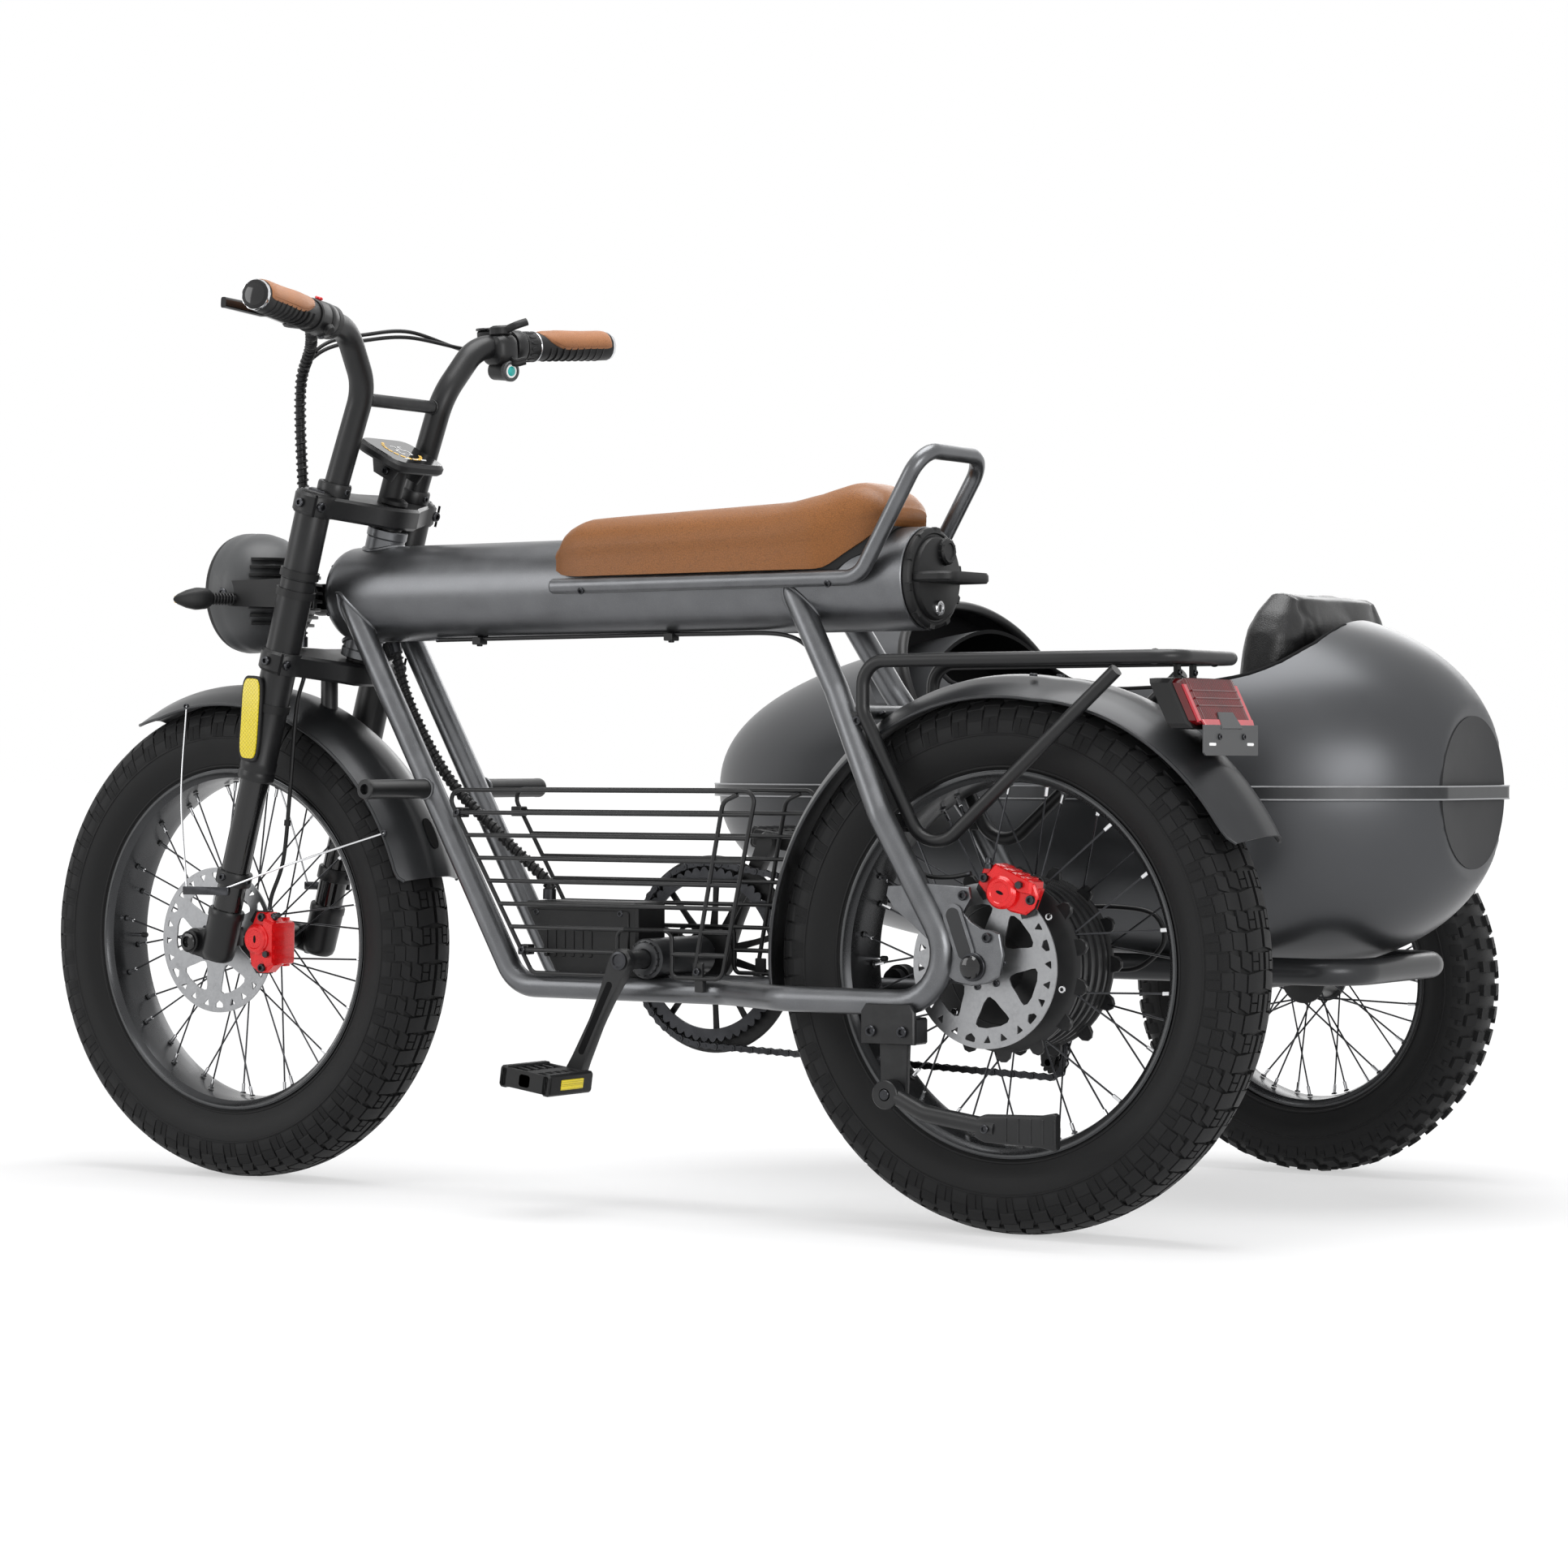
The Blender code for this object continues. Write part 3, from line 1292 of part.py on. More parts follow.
def fork_leg(side, name):
    foot = axle_down - fork_foot_below_axle
    base = raked(0, side * fork_half_gap, fork_offset)
    outer, inner, low = fork_outer_radius, fork_stanchion_radius, fork_lower_radius
    collar = fork_lug_thickness * 0.6
    leg = turned(name, [(0, foot), (low * 0.8, foot), (low, foot + low * 0.3), (low, fork_lower_top - collar),
                        (low * 1.12, fork_lower_top), (inner, fork_lower_top), (inner, fork_outer_foot),
                        (outer, fork_outer_foot), (outer, fork_top), (0, fork_top)],
                 base, steer_up, leg_steps, "black", closed=False)
    y = side * fork_half_gap
    arm = (front_axle - raked(axle_down, 0, fork_offset)).length
    outline = [(0, -fork_lug_radius), (arm, -fork_lug_radius), (arm + fork_lug_radius * 0.85, -fork_lug_radius * 0.5),
               (arm + fork_lug_radius * 0.85, fork_lug_radius * 0.5), (arm, fork_lug_radius),
               (0, fork_lug_radius * 1.8)]
    lug = plate(name + "_lug", outline, fork_lug_thickness, raked(axle_down, y, fork_offset),
                steer_ahead, steer_up, "black")
    bore = rod(name + "_axle_bore", front_axle + ALONG_Y * (y - side * fork_lug_thickness),
               front_axle + ALONG_Y * (y + side * fork_lug_thickness), axle_radius + seat_gap, pin_steps, "black")
    join(leg, lug)
    return cut(leg, bore)


def front_axle_pin():
    half = fork_half_gap + fork_lug_thickness / 2 + seat_gap
    nut = axle_radius * 1.8
    pin, wide = axle_radius, axle_radius * 1.9
    return turned("front_axle", [(0, -half - nut), (wide, -half - nut), (wide, -half), (pin, -half), (pin, half),
                                 (wide, half), (wide, half + nut), (0, half + nut)],
                  front_axle, ALONG_Y, pin_steps, "black", closed=False)


def bar_path(side):
    foot = raked(upper_crown + crown_thickness / 2, side * bar_half_gap, bar_foot_offset)
    shoulder = raked(bar_shoulder, side * bar_half_gap, bar_shoulder_offset)
    bend = raked(bar_bend_rise, side * bar_bend_reach, bar_shoulder_offset)
    bend.z = bar_end_height - (bar_end_height - bend.z) * 0.5
    end = Vector((bar_end_x, side * (grip_end_y - grip_radius), bar_end_height))
    return foot, shoulder, bend, end


def handlebar():
    made = []
    for side, name in ((1, "handlebar"), (-1, "handlebar_right_guide")):
        points = list(bar_path(side))
        path = rounded(points, [bar_bend_radius * 1.6, bar_bend_radius * 1.2])
        made.append(swept(name, path, bar_radius, bar_sides, "black"))
    foot, shoulder = bar_path(1)[:2]
    spot = foot + (shoulder - foot) * cross_bar_share
    other = Vector((spot.x, -spot.y, spot.z))
    brace = rod("cross_bar_guide", other, spot, cross_bar_radius, 8, "black")
    join(made[0], brace, made[1])
    rooms = []
    for side in (-1, 1):
        start, way = grip_frame(side)
        rooms.append(rod("bar_grip_room_%d" % (side + 1), start, start + way * (grip_length * 1.5),
                         bar_radius * 1.5, 8, "black"))
    return cut(made[0], crown_room("bar_crown_room", upper_crown), *rooms)


def grip_frame(side):
    """Where a grip starts, and the way it runs outward."""
    bend, end = bar_path(side)[2:]
    way = (end - bend).normalized()
    tip = end + way * (grip_radius / abs(way.y))
    return tip - way * grip_length, way


def grip(side, name):
    start, way = grip_frame(side)
    long = grip_length
    thick = grip_radius
    return turned(name, [(0, seat_gap), (thick, seat_gap), (thick * 0.92, long * 0.35),
                         (thick * 1.08, long * 0.60), (thick * 1.06, long * 0.94), (thick * 0.85, long),
                         (0, long)], start, way, 12, "leather", closed=False)


def control(side, name):
    """Clamp and brake lever beside the grip."""
    start, way = grip_frame(side)
    root = start - way * (control_length + seat_gap)
    steps = 12
    bore = clear_of(bar_radius, steps)
    hub = turned(name, [(bore, 0), (control_radius, 0), (control_radius, control_length),
                        (bore, control_length)], root, way, steps, "black")
    ahead = Vector((0, 0, 1)).cross(way).normalized()
    if ahead.x < 0:
        ahead = -ahead
    knuckle = root + way * (control_length * 0.55)
    reach = knuckle + ahead * lever_reach
    body = swept(name + "_body", [knuckle + ahead * (bar_radius + control_radius) / 2, reach],
                 lever_radius * 2, 6, "black")
    tip = reach + way * (lever_length * 0.92) + Vector((0, 0, -lever_radius))
    mid = reach + way * (lever_length * 0.35) - ahead * lever_radius
    blade = swept(name + "_blade", rounded([reach - ahead * lever_radius - way * lever_radius, mid, tip],
                                           [lever_length]), lever_radius, 6, "black")
    return join(hub, body, blade)


def display():
    tilt = math.radians(display_degrees)
    along = Vector((math.cos(tilt), 0, math.sin(tilt)))
    up = Vector((-math.sin(tilt), 0, math.cos(tilt)))
    centre = Vector((display_x, 0, raked(fork_top, 0, 0).z + display_height))
    half_long, half_wide = display_length / 2, display_width / 2
    trim = display_thickness * 0.8
    outline = [(-half_long + trim, -half_wide), (half_long - trim, -half_wide), (half_long, -half_wide + trim),
               (half_long, half_wide - trim), (half_long - trim, half_wide), (-half_long + trim, half_wide),
               (-half_long, half_wide - trim), (-half_long, -half_wide + trim)]
    tablet = plate("display", outline, display_thickness, centre, along, ALONG_Y, "glass")
    foot = raked(upper_crown + crown_thickness / 2, 0, fork_offset * 0.2)
    neck = rod("display_neck", foot, centre, display_thickness * 1.1, 8, "black")
    join(tablet, neck)
    return cut(tablet, crown_room("display_crown_room", upper_crown))


def headlamp():
    centre = Vector((headlamp_front_x, 0, headlamp_height))
    wide, deep = headlamp_radius, headlamp_depth
    shape_shares = [(0, 0.14), (0.60, 0.10), (0.96, 0), (1.0, -0.25), (0.93, -0.50), (0.70, -0.82), (0, -1.0)]
    profile = [(wide * a, deep * b) for a, b in shape_shares]
    lamp = turned("headlamp", profile, centre, ALONG_X, 24, "black", closed=False)
    pieces, rooms = [], []
    inner_y = headlamp_radius * 0.90
    leg = raked(-tab_width * 0.6, 0, fork_offset)
    for side in (-1, 1):
        y = side * inner_y
        outline = [(leg.x, leg.z - tab_width * 1.2), (leg.x, leg.z + tab_width * 0.8),
                   (centre.x - deep * 0.15, centre.z + tab_width * 0.6),
                   (centre.x - deep * 0.10, centre.z - tab_width * 0.6)]
        pieces.append(plate("lamp_bracket_%d" % (side + 1), outline, tab_thickness,
                            Vector((0, y, 0)), ALONG_X, Vector((0, 0, 1)), "black"))
        spacer_low = leg.z - tab_width * 0.8
        outer_y = side * (fork_half_gap)
        pieces.append(block("lamp_spacer_%d" % (side + 1),
                            (leg.x, min(y, outer_y), spacer_low),
                            (leg.x + fork_outer_radius * 1.5, max(y, outer_y), spacer_low + tab_width * 1.2), "black"))
        rooms.append(leg_room(side, "lamp_leg_room_%d" % (side + 1), fork_outer_foot, fork_top, fork_outer_radius))
        root = Vector((centre.x - deep * 0.45, y, centre.z - tab_width * 0.5))
        knee = root + Vector((signal_radius, side * signal_radius * 2.4, 0))
        tip = Vector((centre.x - deep * 0.10, side * signal_reach, centre.z - tab_width * 0.6))
        pieces.append(rod("signal_stalk_%d" % (side + 1), root, knee, signal_radius * 0.55, 6, "black"))
        way = (tip - knee)
        long = way.length
        pieces.append(turned("signal_body_%d" % (side + 1),
                             [(0, -signal_radius * 0.5), (signal_radius * 0.8, 0), (signal_radius, long * 0.35),
                              (signal_radius * 0.55, long * 0.85), (0, long)],
                             knee, way, 8, "black", closed=False))
    join(lamp, *pieces)
    return cut(lamp, *rooms)


# Sidecar
def power(value, exponent):
    return math.copysign(abs(value) ** exponent, value)


def pod_point(turn, rise, grow, low_rise, high_rise):
    """A point of the egg: turn goes round, rise goes from -90 to 90 degrees."""
    plan, side = 2 / pod_plan_power, 2 / pod_side_power
    flat = abs(math.cos(rise)) ** side
    long = (pod_front if math.cos(turn) > 0 else pod_rear) + grow
    tall = (high_rise if rise > 0 else low_rise) + grow
    x = pod_x + long * power(math.cos(turn), plan) * flat
    y = pod_y + (pod_half_width + grow) * power(math.sin(turn), plan) * flat
    z = pod_height + tall * power(math.sin(rise), side)
    return Vector((max(x, pod_tail_x - grow), y, z))


def egg(name, grow):
    """The whole pod as one solid, grown or shrunk, for cuts."""
    around, up = pod_around, pod_rows * 2
    points = [pod_point(0, -math.pi / 2, grow, pod_depth, pod_rise)]
    rings = []
    for row in range(1, up):
        rise = -math.pi / 2 + math.pi * row / up
        rings.append(list(range(len(points), len(points) + around)))
        for i in range(around):
            points.append(pod_point(2 * math.pi * i / around, rise, grow, pod_depth, pod_rise))
    top = len(points)
    points.append(pod_point(0, math.pi / 2, grow, pod_depth, pod_rise))
    faces = []
    for i in range(around):
        j = (i + 1) % around
        faces.append([0, rings[0][i], rings[0][j]])
        faces.append([top, rings[-1][j], rings[-1][i]])
        for low, high in zip(rings, rings[1:]):
            faces.append([low[i], low[j], high[j], high[i]])
    return helper(solid(name, points, faces, "pod"))


def pod_shell(name, lower):
    """Half of the egg as a sheet with a flat rim at the belt."""
    around, rows = pod_around, pod_rows
    gap = seat_gap / 2
    layers = []
    for grow in (0.0, -pod_wall):
        rings = []
        for row in range(rows):
            rise = math.pi / 2 * row / rows * (-1 if lower else 1)
            rings.append([pod_point(2 * math.pi * i / around, rise, grow, pod_depth, pod_rise)
                          for i in range(around)])
        for spot in rings[0]:
            spot.z = pod_height - gap if lower else pod_height + gap
        pole = pod_point(0, -math.pi / 2 if lower else math.pi / 2, grow, pod_depth, pod_rise)
        layers.append((rings, pole))
    points, faces, index = [], [], []
    for rings, pole in layers:
        rows_index = []
        for ring in rings:
            rows_index.append(list(range(len(points), len(points) + around)))
            points += ring
        rows_index.append([len(points)] * around)
        points.append(pole)
        index.append(rows_index)
    for rows_index in index:
        for low, high in zip(rows_index, rows_index[1:]):
            for i in range(around):
                j = (i + 1) % around
                face = [low[i], low[j], high[j], high[i]]
                faces.append(face if high[i] != high[j] else face[:3])
    for i in range(around):
        j = (i + 1) % around
        faces.append([index[0][0][i], index[0][0][j], index[1][0][j], index[1][0][i]])
    return solid(name, points, faces, "pod", 60)


def mouth(name):
    """The cockpit opening, seen from the side and cut right across."""
    cowl_top = cowl_foot + cowl_height
    top = cowl_top + pod_rise
    fall = pod_height + pod_rise - mouth_low
    length = mouth_front_x - mouth_rear_x
    shape_shares = [(0.000, 1.05), (0.008, 0.68), (0.040, 0.42), (0.090, 0.22), (0.150, 0.12), (0.300, 0.02),
                    (0.500, 0.00), (0.750, 0.00), (0.880, 0.06), (0.960, 0.22), (1.000, 0.45)]
    outline = [(mouth_rear_x + length * a, mouth_low + fall * b) for a, b in shape_shares]
    front_top = mouth_front_x + cowl_rake * (top - mouth_low) / (cowl_top - mouth_low)
    outline += [(front_top, top), (mouth_rear_x, top)]
    return helper(plate(name, outline, pod_half_width * 3, Vector((0, pod_y, 0)), ALONG_X,
                        Vector((0, 0, 1)), "pod"))


def pod_belt():
    around = pod_around
    outer, inner = [], []
    for grow, ring in ((belt_proud, outer), (seat_gap, inner)):
        for i in range(around):
            turn = 2 * math.pi * i / around
            plan = 2 / pod_plan_power
            long = (pod_front if math.cos(turn) > 0 else pod_rear) + grow
            ring.append(Vector((pod_x + long * power(math.cos(turn), plan),
                                pod_y + (pod_half_width + grow) * power(math.sin(turn), plan), pod_height)))
    half = Vector((0, 0, belt_height / 2))
    rings = [[p - half for p in outer], [p + half for p in outer], [p + half for p in inner],
             [p - half for p in inner]]
    points = [p for ring in rings for p in ring]
    faces = []
    for row in range(4):
        nxt = (row + 1) % 4
        for i in range(around):
            j = (i + 1) % around
            faces.append([row * around + i, row * around + j, nxt * around + j, nxt * around + i])
    return solid("pod_belt", points, faces, "black")


def cowl():
    """The raised hoop ahead of the cockpit."""
    sections = []
    tall = cowl_height
    for x in (mouth_front_x, cowl_front_x):
        ring = []
        for i in range(13):
            angle = math.pi * i / 12
            y = pod_y + cowl_half_width * power(math.cos(angle), 0.9)
            rise = tall * abs(math.sin(angle)) ** 0.9
            ring.append(Vector((x + cowl_rake * rise / tall, y, cowl_foot + rise)))
        sections.append(ring)
    hoop = lofted("pod_cowl", sections, "pod", 40)
    return cut(hoop, egg("cowl_egg_room", seat_gap), mouth("cowl_mouth_room"))


def pod():
    pod_shell("pod_lower", True)
    cut(pod_shell("pod_upper", False), mouth("pod_mouth"))
    pod_belt()
    cowl()
    half = pod_seat_half_width
    cushion = block("pod_seat", (pod_seat_rear_x, pod_y - half, pod_height - pod_depth),
                    (pod_seat_front_x, pod_y + half, pod_seat_height), "black_leather")
    combine(cushion, "INTERSECT", egg("seat_egg_room", -pod_wall - seat_gap * 2))
    foot = pod_seat_height - back_sink + seat_gap
    cut(cushion, block("seat_back_room", (pod_seat_rear_x - overrun, pod_y - half - overrun, foot - seat_gap),
                       (back_front_x + seat_gap, pod_y + half + overrun, pod_seat_height + overrun),
                       "black_leather"))
    edge = back_thickness * 0.30
    sections = []
    for share, inset in ((0, 0.0), (0.90, 0.0), (1.0, 0.30)):
        z = foot + (back_top - foot) * share
        x = back_front_x - back_rake * share
        half = back_half_width - edge * inset
        thick = back_thickness * (1 - inset * 0.4)
        front, rear = x - edge * inset * 0.4, x - thick
        sections.append([Vector((front, pod_y - half + edge, z)), Vector((front, pod_y + half - edge, z)),
                         Vector((front - edge, pod_y + half, z)), Vector((rear + edge, pod_y + half, z)),
                         Vector((rear, pod_y + half - edge, z)), Vector((rear, pod_y - half + edge, z)),
                         Vector((rear + edge, pod_y - half, z)), Vector((front - edge, pod_y - half, z))])
    lofted("pod_backrest", sections, "black_leather")


def chassis():
    y0, y1 = pod_y + chassis_half_width, pod_y - chassis_half_width
    z = chassis_height
    middle = (chassis_front_x + chassis_rear_x) / 2
    corners = [Vector((middle, y0, z)), Vector((chassis_rear_x, y0, z)), Vector((chassis_rear_x, y1, z)),
               Vector((chassis_front_x, y1, z)), Vector((chassis_front_x, y0, z)), Vector((middle, y0, z))]
    path = rounded(corners, [chassis_bend_radius] * 4)[:-1]
    ring = swept("sidecar_chassis", path, chassis_radius, 10, "charcoal", ring=True)
    extras = []
    arm_z = (lower_tube_height + chassis_height) / 2
    for i, x in enumerate((arm_rear_x, arm_front_x)):
        extras.append(rod("sidecar_arm_%d" % i, Vector((x, y0, arm_z)), Vector((x, -rear_half_gap, arm_z)),
                          arm_radius, 10, "charcoal"))
    near = y1 - hanger_thickness / 2
    extras.append(block("wheel_hanger",
                        (side_wheel_x - hanger_width / 2, near - hanger_thickness / 2, side_axle.z - hanger_width / 2),
                        (side_wheel_x + hanger_width / 2, near + hanger_thickness / 2, z), "charcoal"))
    extras.append(rod("stub_axle", Vector((side_wheel_x, near, side_axle.z)),
                      Vector((side_wheel_x, side_axle_end_y, side_axle.z)), axle_radius, pin_steps, "steel"))
    join(ring, *extras)
    return cut(ring, loop_clearance(-1, "chassis_loop_room"), egg("chassis_pod_room", seat_gap))


# Cables
def cables():
    start, way = grip_frame(1)
    clamp = start - way * control_length * 0.5
    crown_top = raked(lower_crown + crown_thickness + seat_gap, 0.052, fork_offset + crown_edge * 0.30)
    cable("front_loom", [clamp + Vector((control_radius + loom_radius * 1.1, -0.020, -0.002)),
                         Vector((0.930, 0.100, 1.020)), Vector((0.970, 0.070, 0.985)),
                         Vector((0.982, 0.058, 0.930)), Vector((0.982, 0.053, 0.850)),
                         Vector((0.984, 0.051, 0.760)), crown_top + Vector((0, 0, loom_radius * 0.33))],
          loom_radius, "black", 3)
    cable("frame_loom", [Vector((0.882, 0.000, 0.6630)), Vector((0.855, 0.004, 0.590)),
                         Vector((0.792, 0.008, 0.500)), Vector((0.712, 0.006, 0.430)),
                         Vector((0.668, 0.003, 0.394)), Vector((0.6465, 0.000, 0.374)),
                         Vector((0.646, 0.000, box_height + seat_gap * 3))], loom_radius, "black", 3)
    cable("rear_hose", [Vector((0.800, 0.020, 0.6660)), Vector((0.600, 0.020, 0.6665)),
                        Vector((0.400, 0.020, 0.6665)), Vector((0.300, 0.022, 0.6640)),
                        Vector((0.252, 0.034, 0.6450)), Vector((0.231, 0.040, 0.6220)),
                        Vector((0.213, 0.0471, 0.5934)),
                        Vector((0.183, 0.0614, 0.5434)), Vector((0.153, 0.0757, 0.4934)),
                        Vector((0.128, 0.0840, 0.4500)), Vector((0.104, 0.0810, 0.4160)),
                        Vector((0.074, 0.0825, 0.3960)), Vector((0.040, 0.0850, 0.3940)),
                        Vector((0.012, 0.0870, 0.3985))],
          hose_radius, "black", 2)
    cable("front_hose", [raked(lower_crown - seat_gap * 2, 0.072, fork_offset * 0.5),
                         raked(lower_crown - fork_offset, 0.073, fork_offset * 0.5),
                         Vector((0.984, 0.076, 0.480)), Vector((0.996, 0.074, 0.400)),
                         Vector((1.016, 0.072, 0.356)), Vector((1.020, 0.072, 0.3378))],
          hose_radius, "black", 3)
    cable("motor_cable", [Vector((0.000, -0.1154, 0.2980)), Vector((-0.006, -0.130, 0.2960)),
                          Vector((-0.034, -0.144, 0.286)),
                          Vector((-0.070, -0.148, 0.290)), Vector((-0.098, -0.150, 0.318)),
                          Vector((-0.086, -0.150, 0.348)), Vector((-0.040, -0.148, 0.356)),
                          Vector((0.015, -0.134, 0.354)), Vector((0.052, -0.1185, 0.350))],
          hose_radius * 1.2, "black", 2)


# Assembly
BODIES = {
    "steering": (steer_base, ["fork_crowns", "fork_leg_left", "fork_leg_right", "front_axle", "handlebar",
                              "grip_left", "grip_right", "control_left", "control_right", "display",
                              "headlamp", "front_fender", "front_caliper", "front_loom", "front_hose"]),
    "front_wheel": (front_axle, ["front_tyre", "front_wheel", "front_brake_disc"]),
    "rear_wheel": (rear_axle, ["rear_tyre", "rear_wheel_motor", "rear_brake_disc", "rear_sprocket"]),
    "sidecar_wheel": (side_axle, ["sidecar_tyre", "sidecar_wheel"]),
    "crank": (crank_centre, ["crankset", "chainring"]),
    "pedal_left": (left_pedal, ["left_pedal"]),
    "pedal_right": (right_pedal, ["right_pedal"]),
    "kickstand": (stand_pivot, ["kickstand"]),
}


def build():
    clear_scene()
    main_tube()
    battery_cap()
    frame_loop(-1, "frame_loop_right")
    left = frame_loop(1, "frame_loop_left", bridges())
    cut(left, loop_clearance(-1, "bridge_room"))
    bottom_bracket()
    controller_box()
    grille(1, "grille_left")
    grille(-1, "grille_right")
    seat_rail()
    saddle()
    rack()
    rear_fender()
    tail_lamp()
    rear_axle_pin()
    rear_caliper()
    stand_bracket()
    kickstand()
    crankset()
    chainring()
    chain()
    derailleur()
    pedal(1, "left_pedal")
    pedal(-1, "right_pedal")
    rear_wheel()
    front_wheel()
    side_wheel()
    fork_crowns()
    fork_leg(1, "fork_leg_left")
    fork_leg(-1, "fork_leg_right")
    front_axle_pin()
    handlebar()
    grip(1, "grip_left")
    grip(-1, "grip_right")
    control(1, "control_left")
    control(-1, "control_right")
    display()
    headlamp()
    front_fender()
    front_caliper()
    pod()
    chassis()
    cables()
    place_everything()


def middle_of_vehicle():
    """The way from the floor below the middle of the vehicle to where it was laid out."""
    graph = bpy.context.evaluated_depsgraph_get()
    shown = [thing for thing in bpy.data.objects if thing.type == "MESH" and not thing.hide_render]
    corners = [corner.co for thing in shown for corner in thing.evaluated_get(graph).data.vertices]
    middle = [(min(c[i] for c in corners) + max(c[i] for c in corners)) / 2 for i in (0, 1)]
    return Vector((-middle[0], -middle[1], 0))


def place_everything():
    """Each moving piece gets its origin on its joint; all of it moves to the shared origin."""
    shift = middle_of_vehicle()
    pivots = {}
    for pivot, names in BODIES.values():
        for name in names:
            pivots[name] = pivot
    for thing in bpy.data.objects:
        pivot = pivots.get(thing.name, Vector((0, 0, 0)))
        thing.data.transform(Matrix.Translation(-pivot))
        thing.location = pivot + shift


build()
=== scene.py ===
import math

import bmesh
import bpy
from mathutils import Matrix, Vector


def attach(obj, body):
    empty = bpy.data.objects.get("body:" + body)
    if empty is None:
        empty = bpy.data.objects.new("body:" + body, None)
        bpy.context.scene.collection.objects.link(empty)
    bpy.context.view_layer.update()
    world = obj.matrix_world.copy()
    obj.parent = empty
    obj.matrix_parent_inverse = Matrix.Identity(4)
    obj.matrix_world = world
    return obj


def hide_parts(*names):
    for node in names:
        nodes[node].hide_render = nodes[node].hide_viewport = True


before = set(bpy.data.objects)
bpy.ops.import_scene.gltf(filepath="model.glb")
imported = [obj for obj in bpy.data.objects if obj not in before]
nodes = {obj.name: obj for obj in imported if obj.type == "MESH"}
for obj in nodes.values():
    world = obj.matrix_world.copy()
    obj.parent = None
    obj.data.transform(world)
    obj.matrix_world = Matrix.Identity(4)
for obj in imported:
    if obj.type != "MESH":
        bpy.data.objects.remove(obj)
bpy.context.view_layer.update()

SHIFT = Vector((-0.5202, 0.252915, 0.0))      # from the rear tyre's contact point to the shared origin
ALONG_X, ALONG_Y, ALONG_Z = Vector((1, 0, 0)), Vector((0, 1, 0)), Vector((0, 0, 1))
TURN = 2 * math.pi


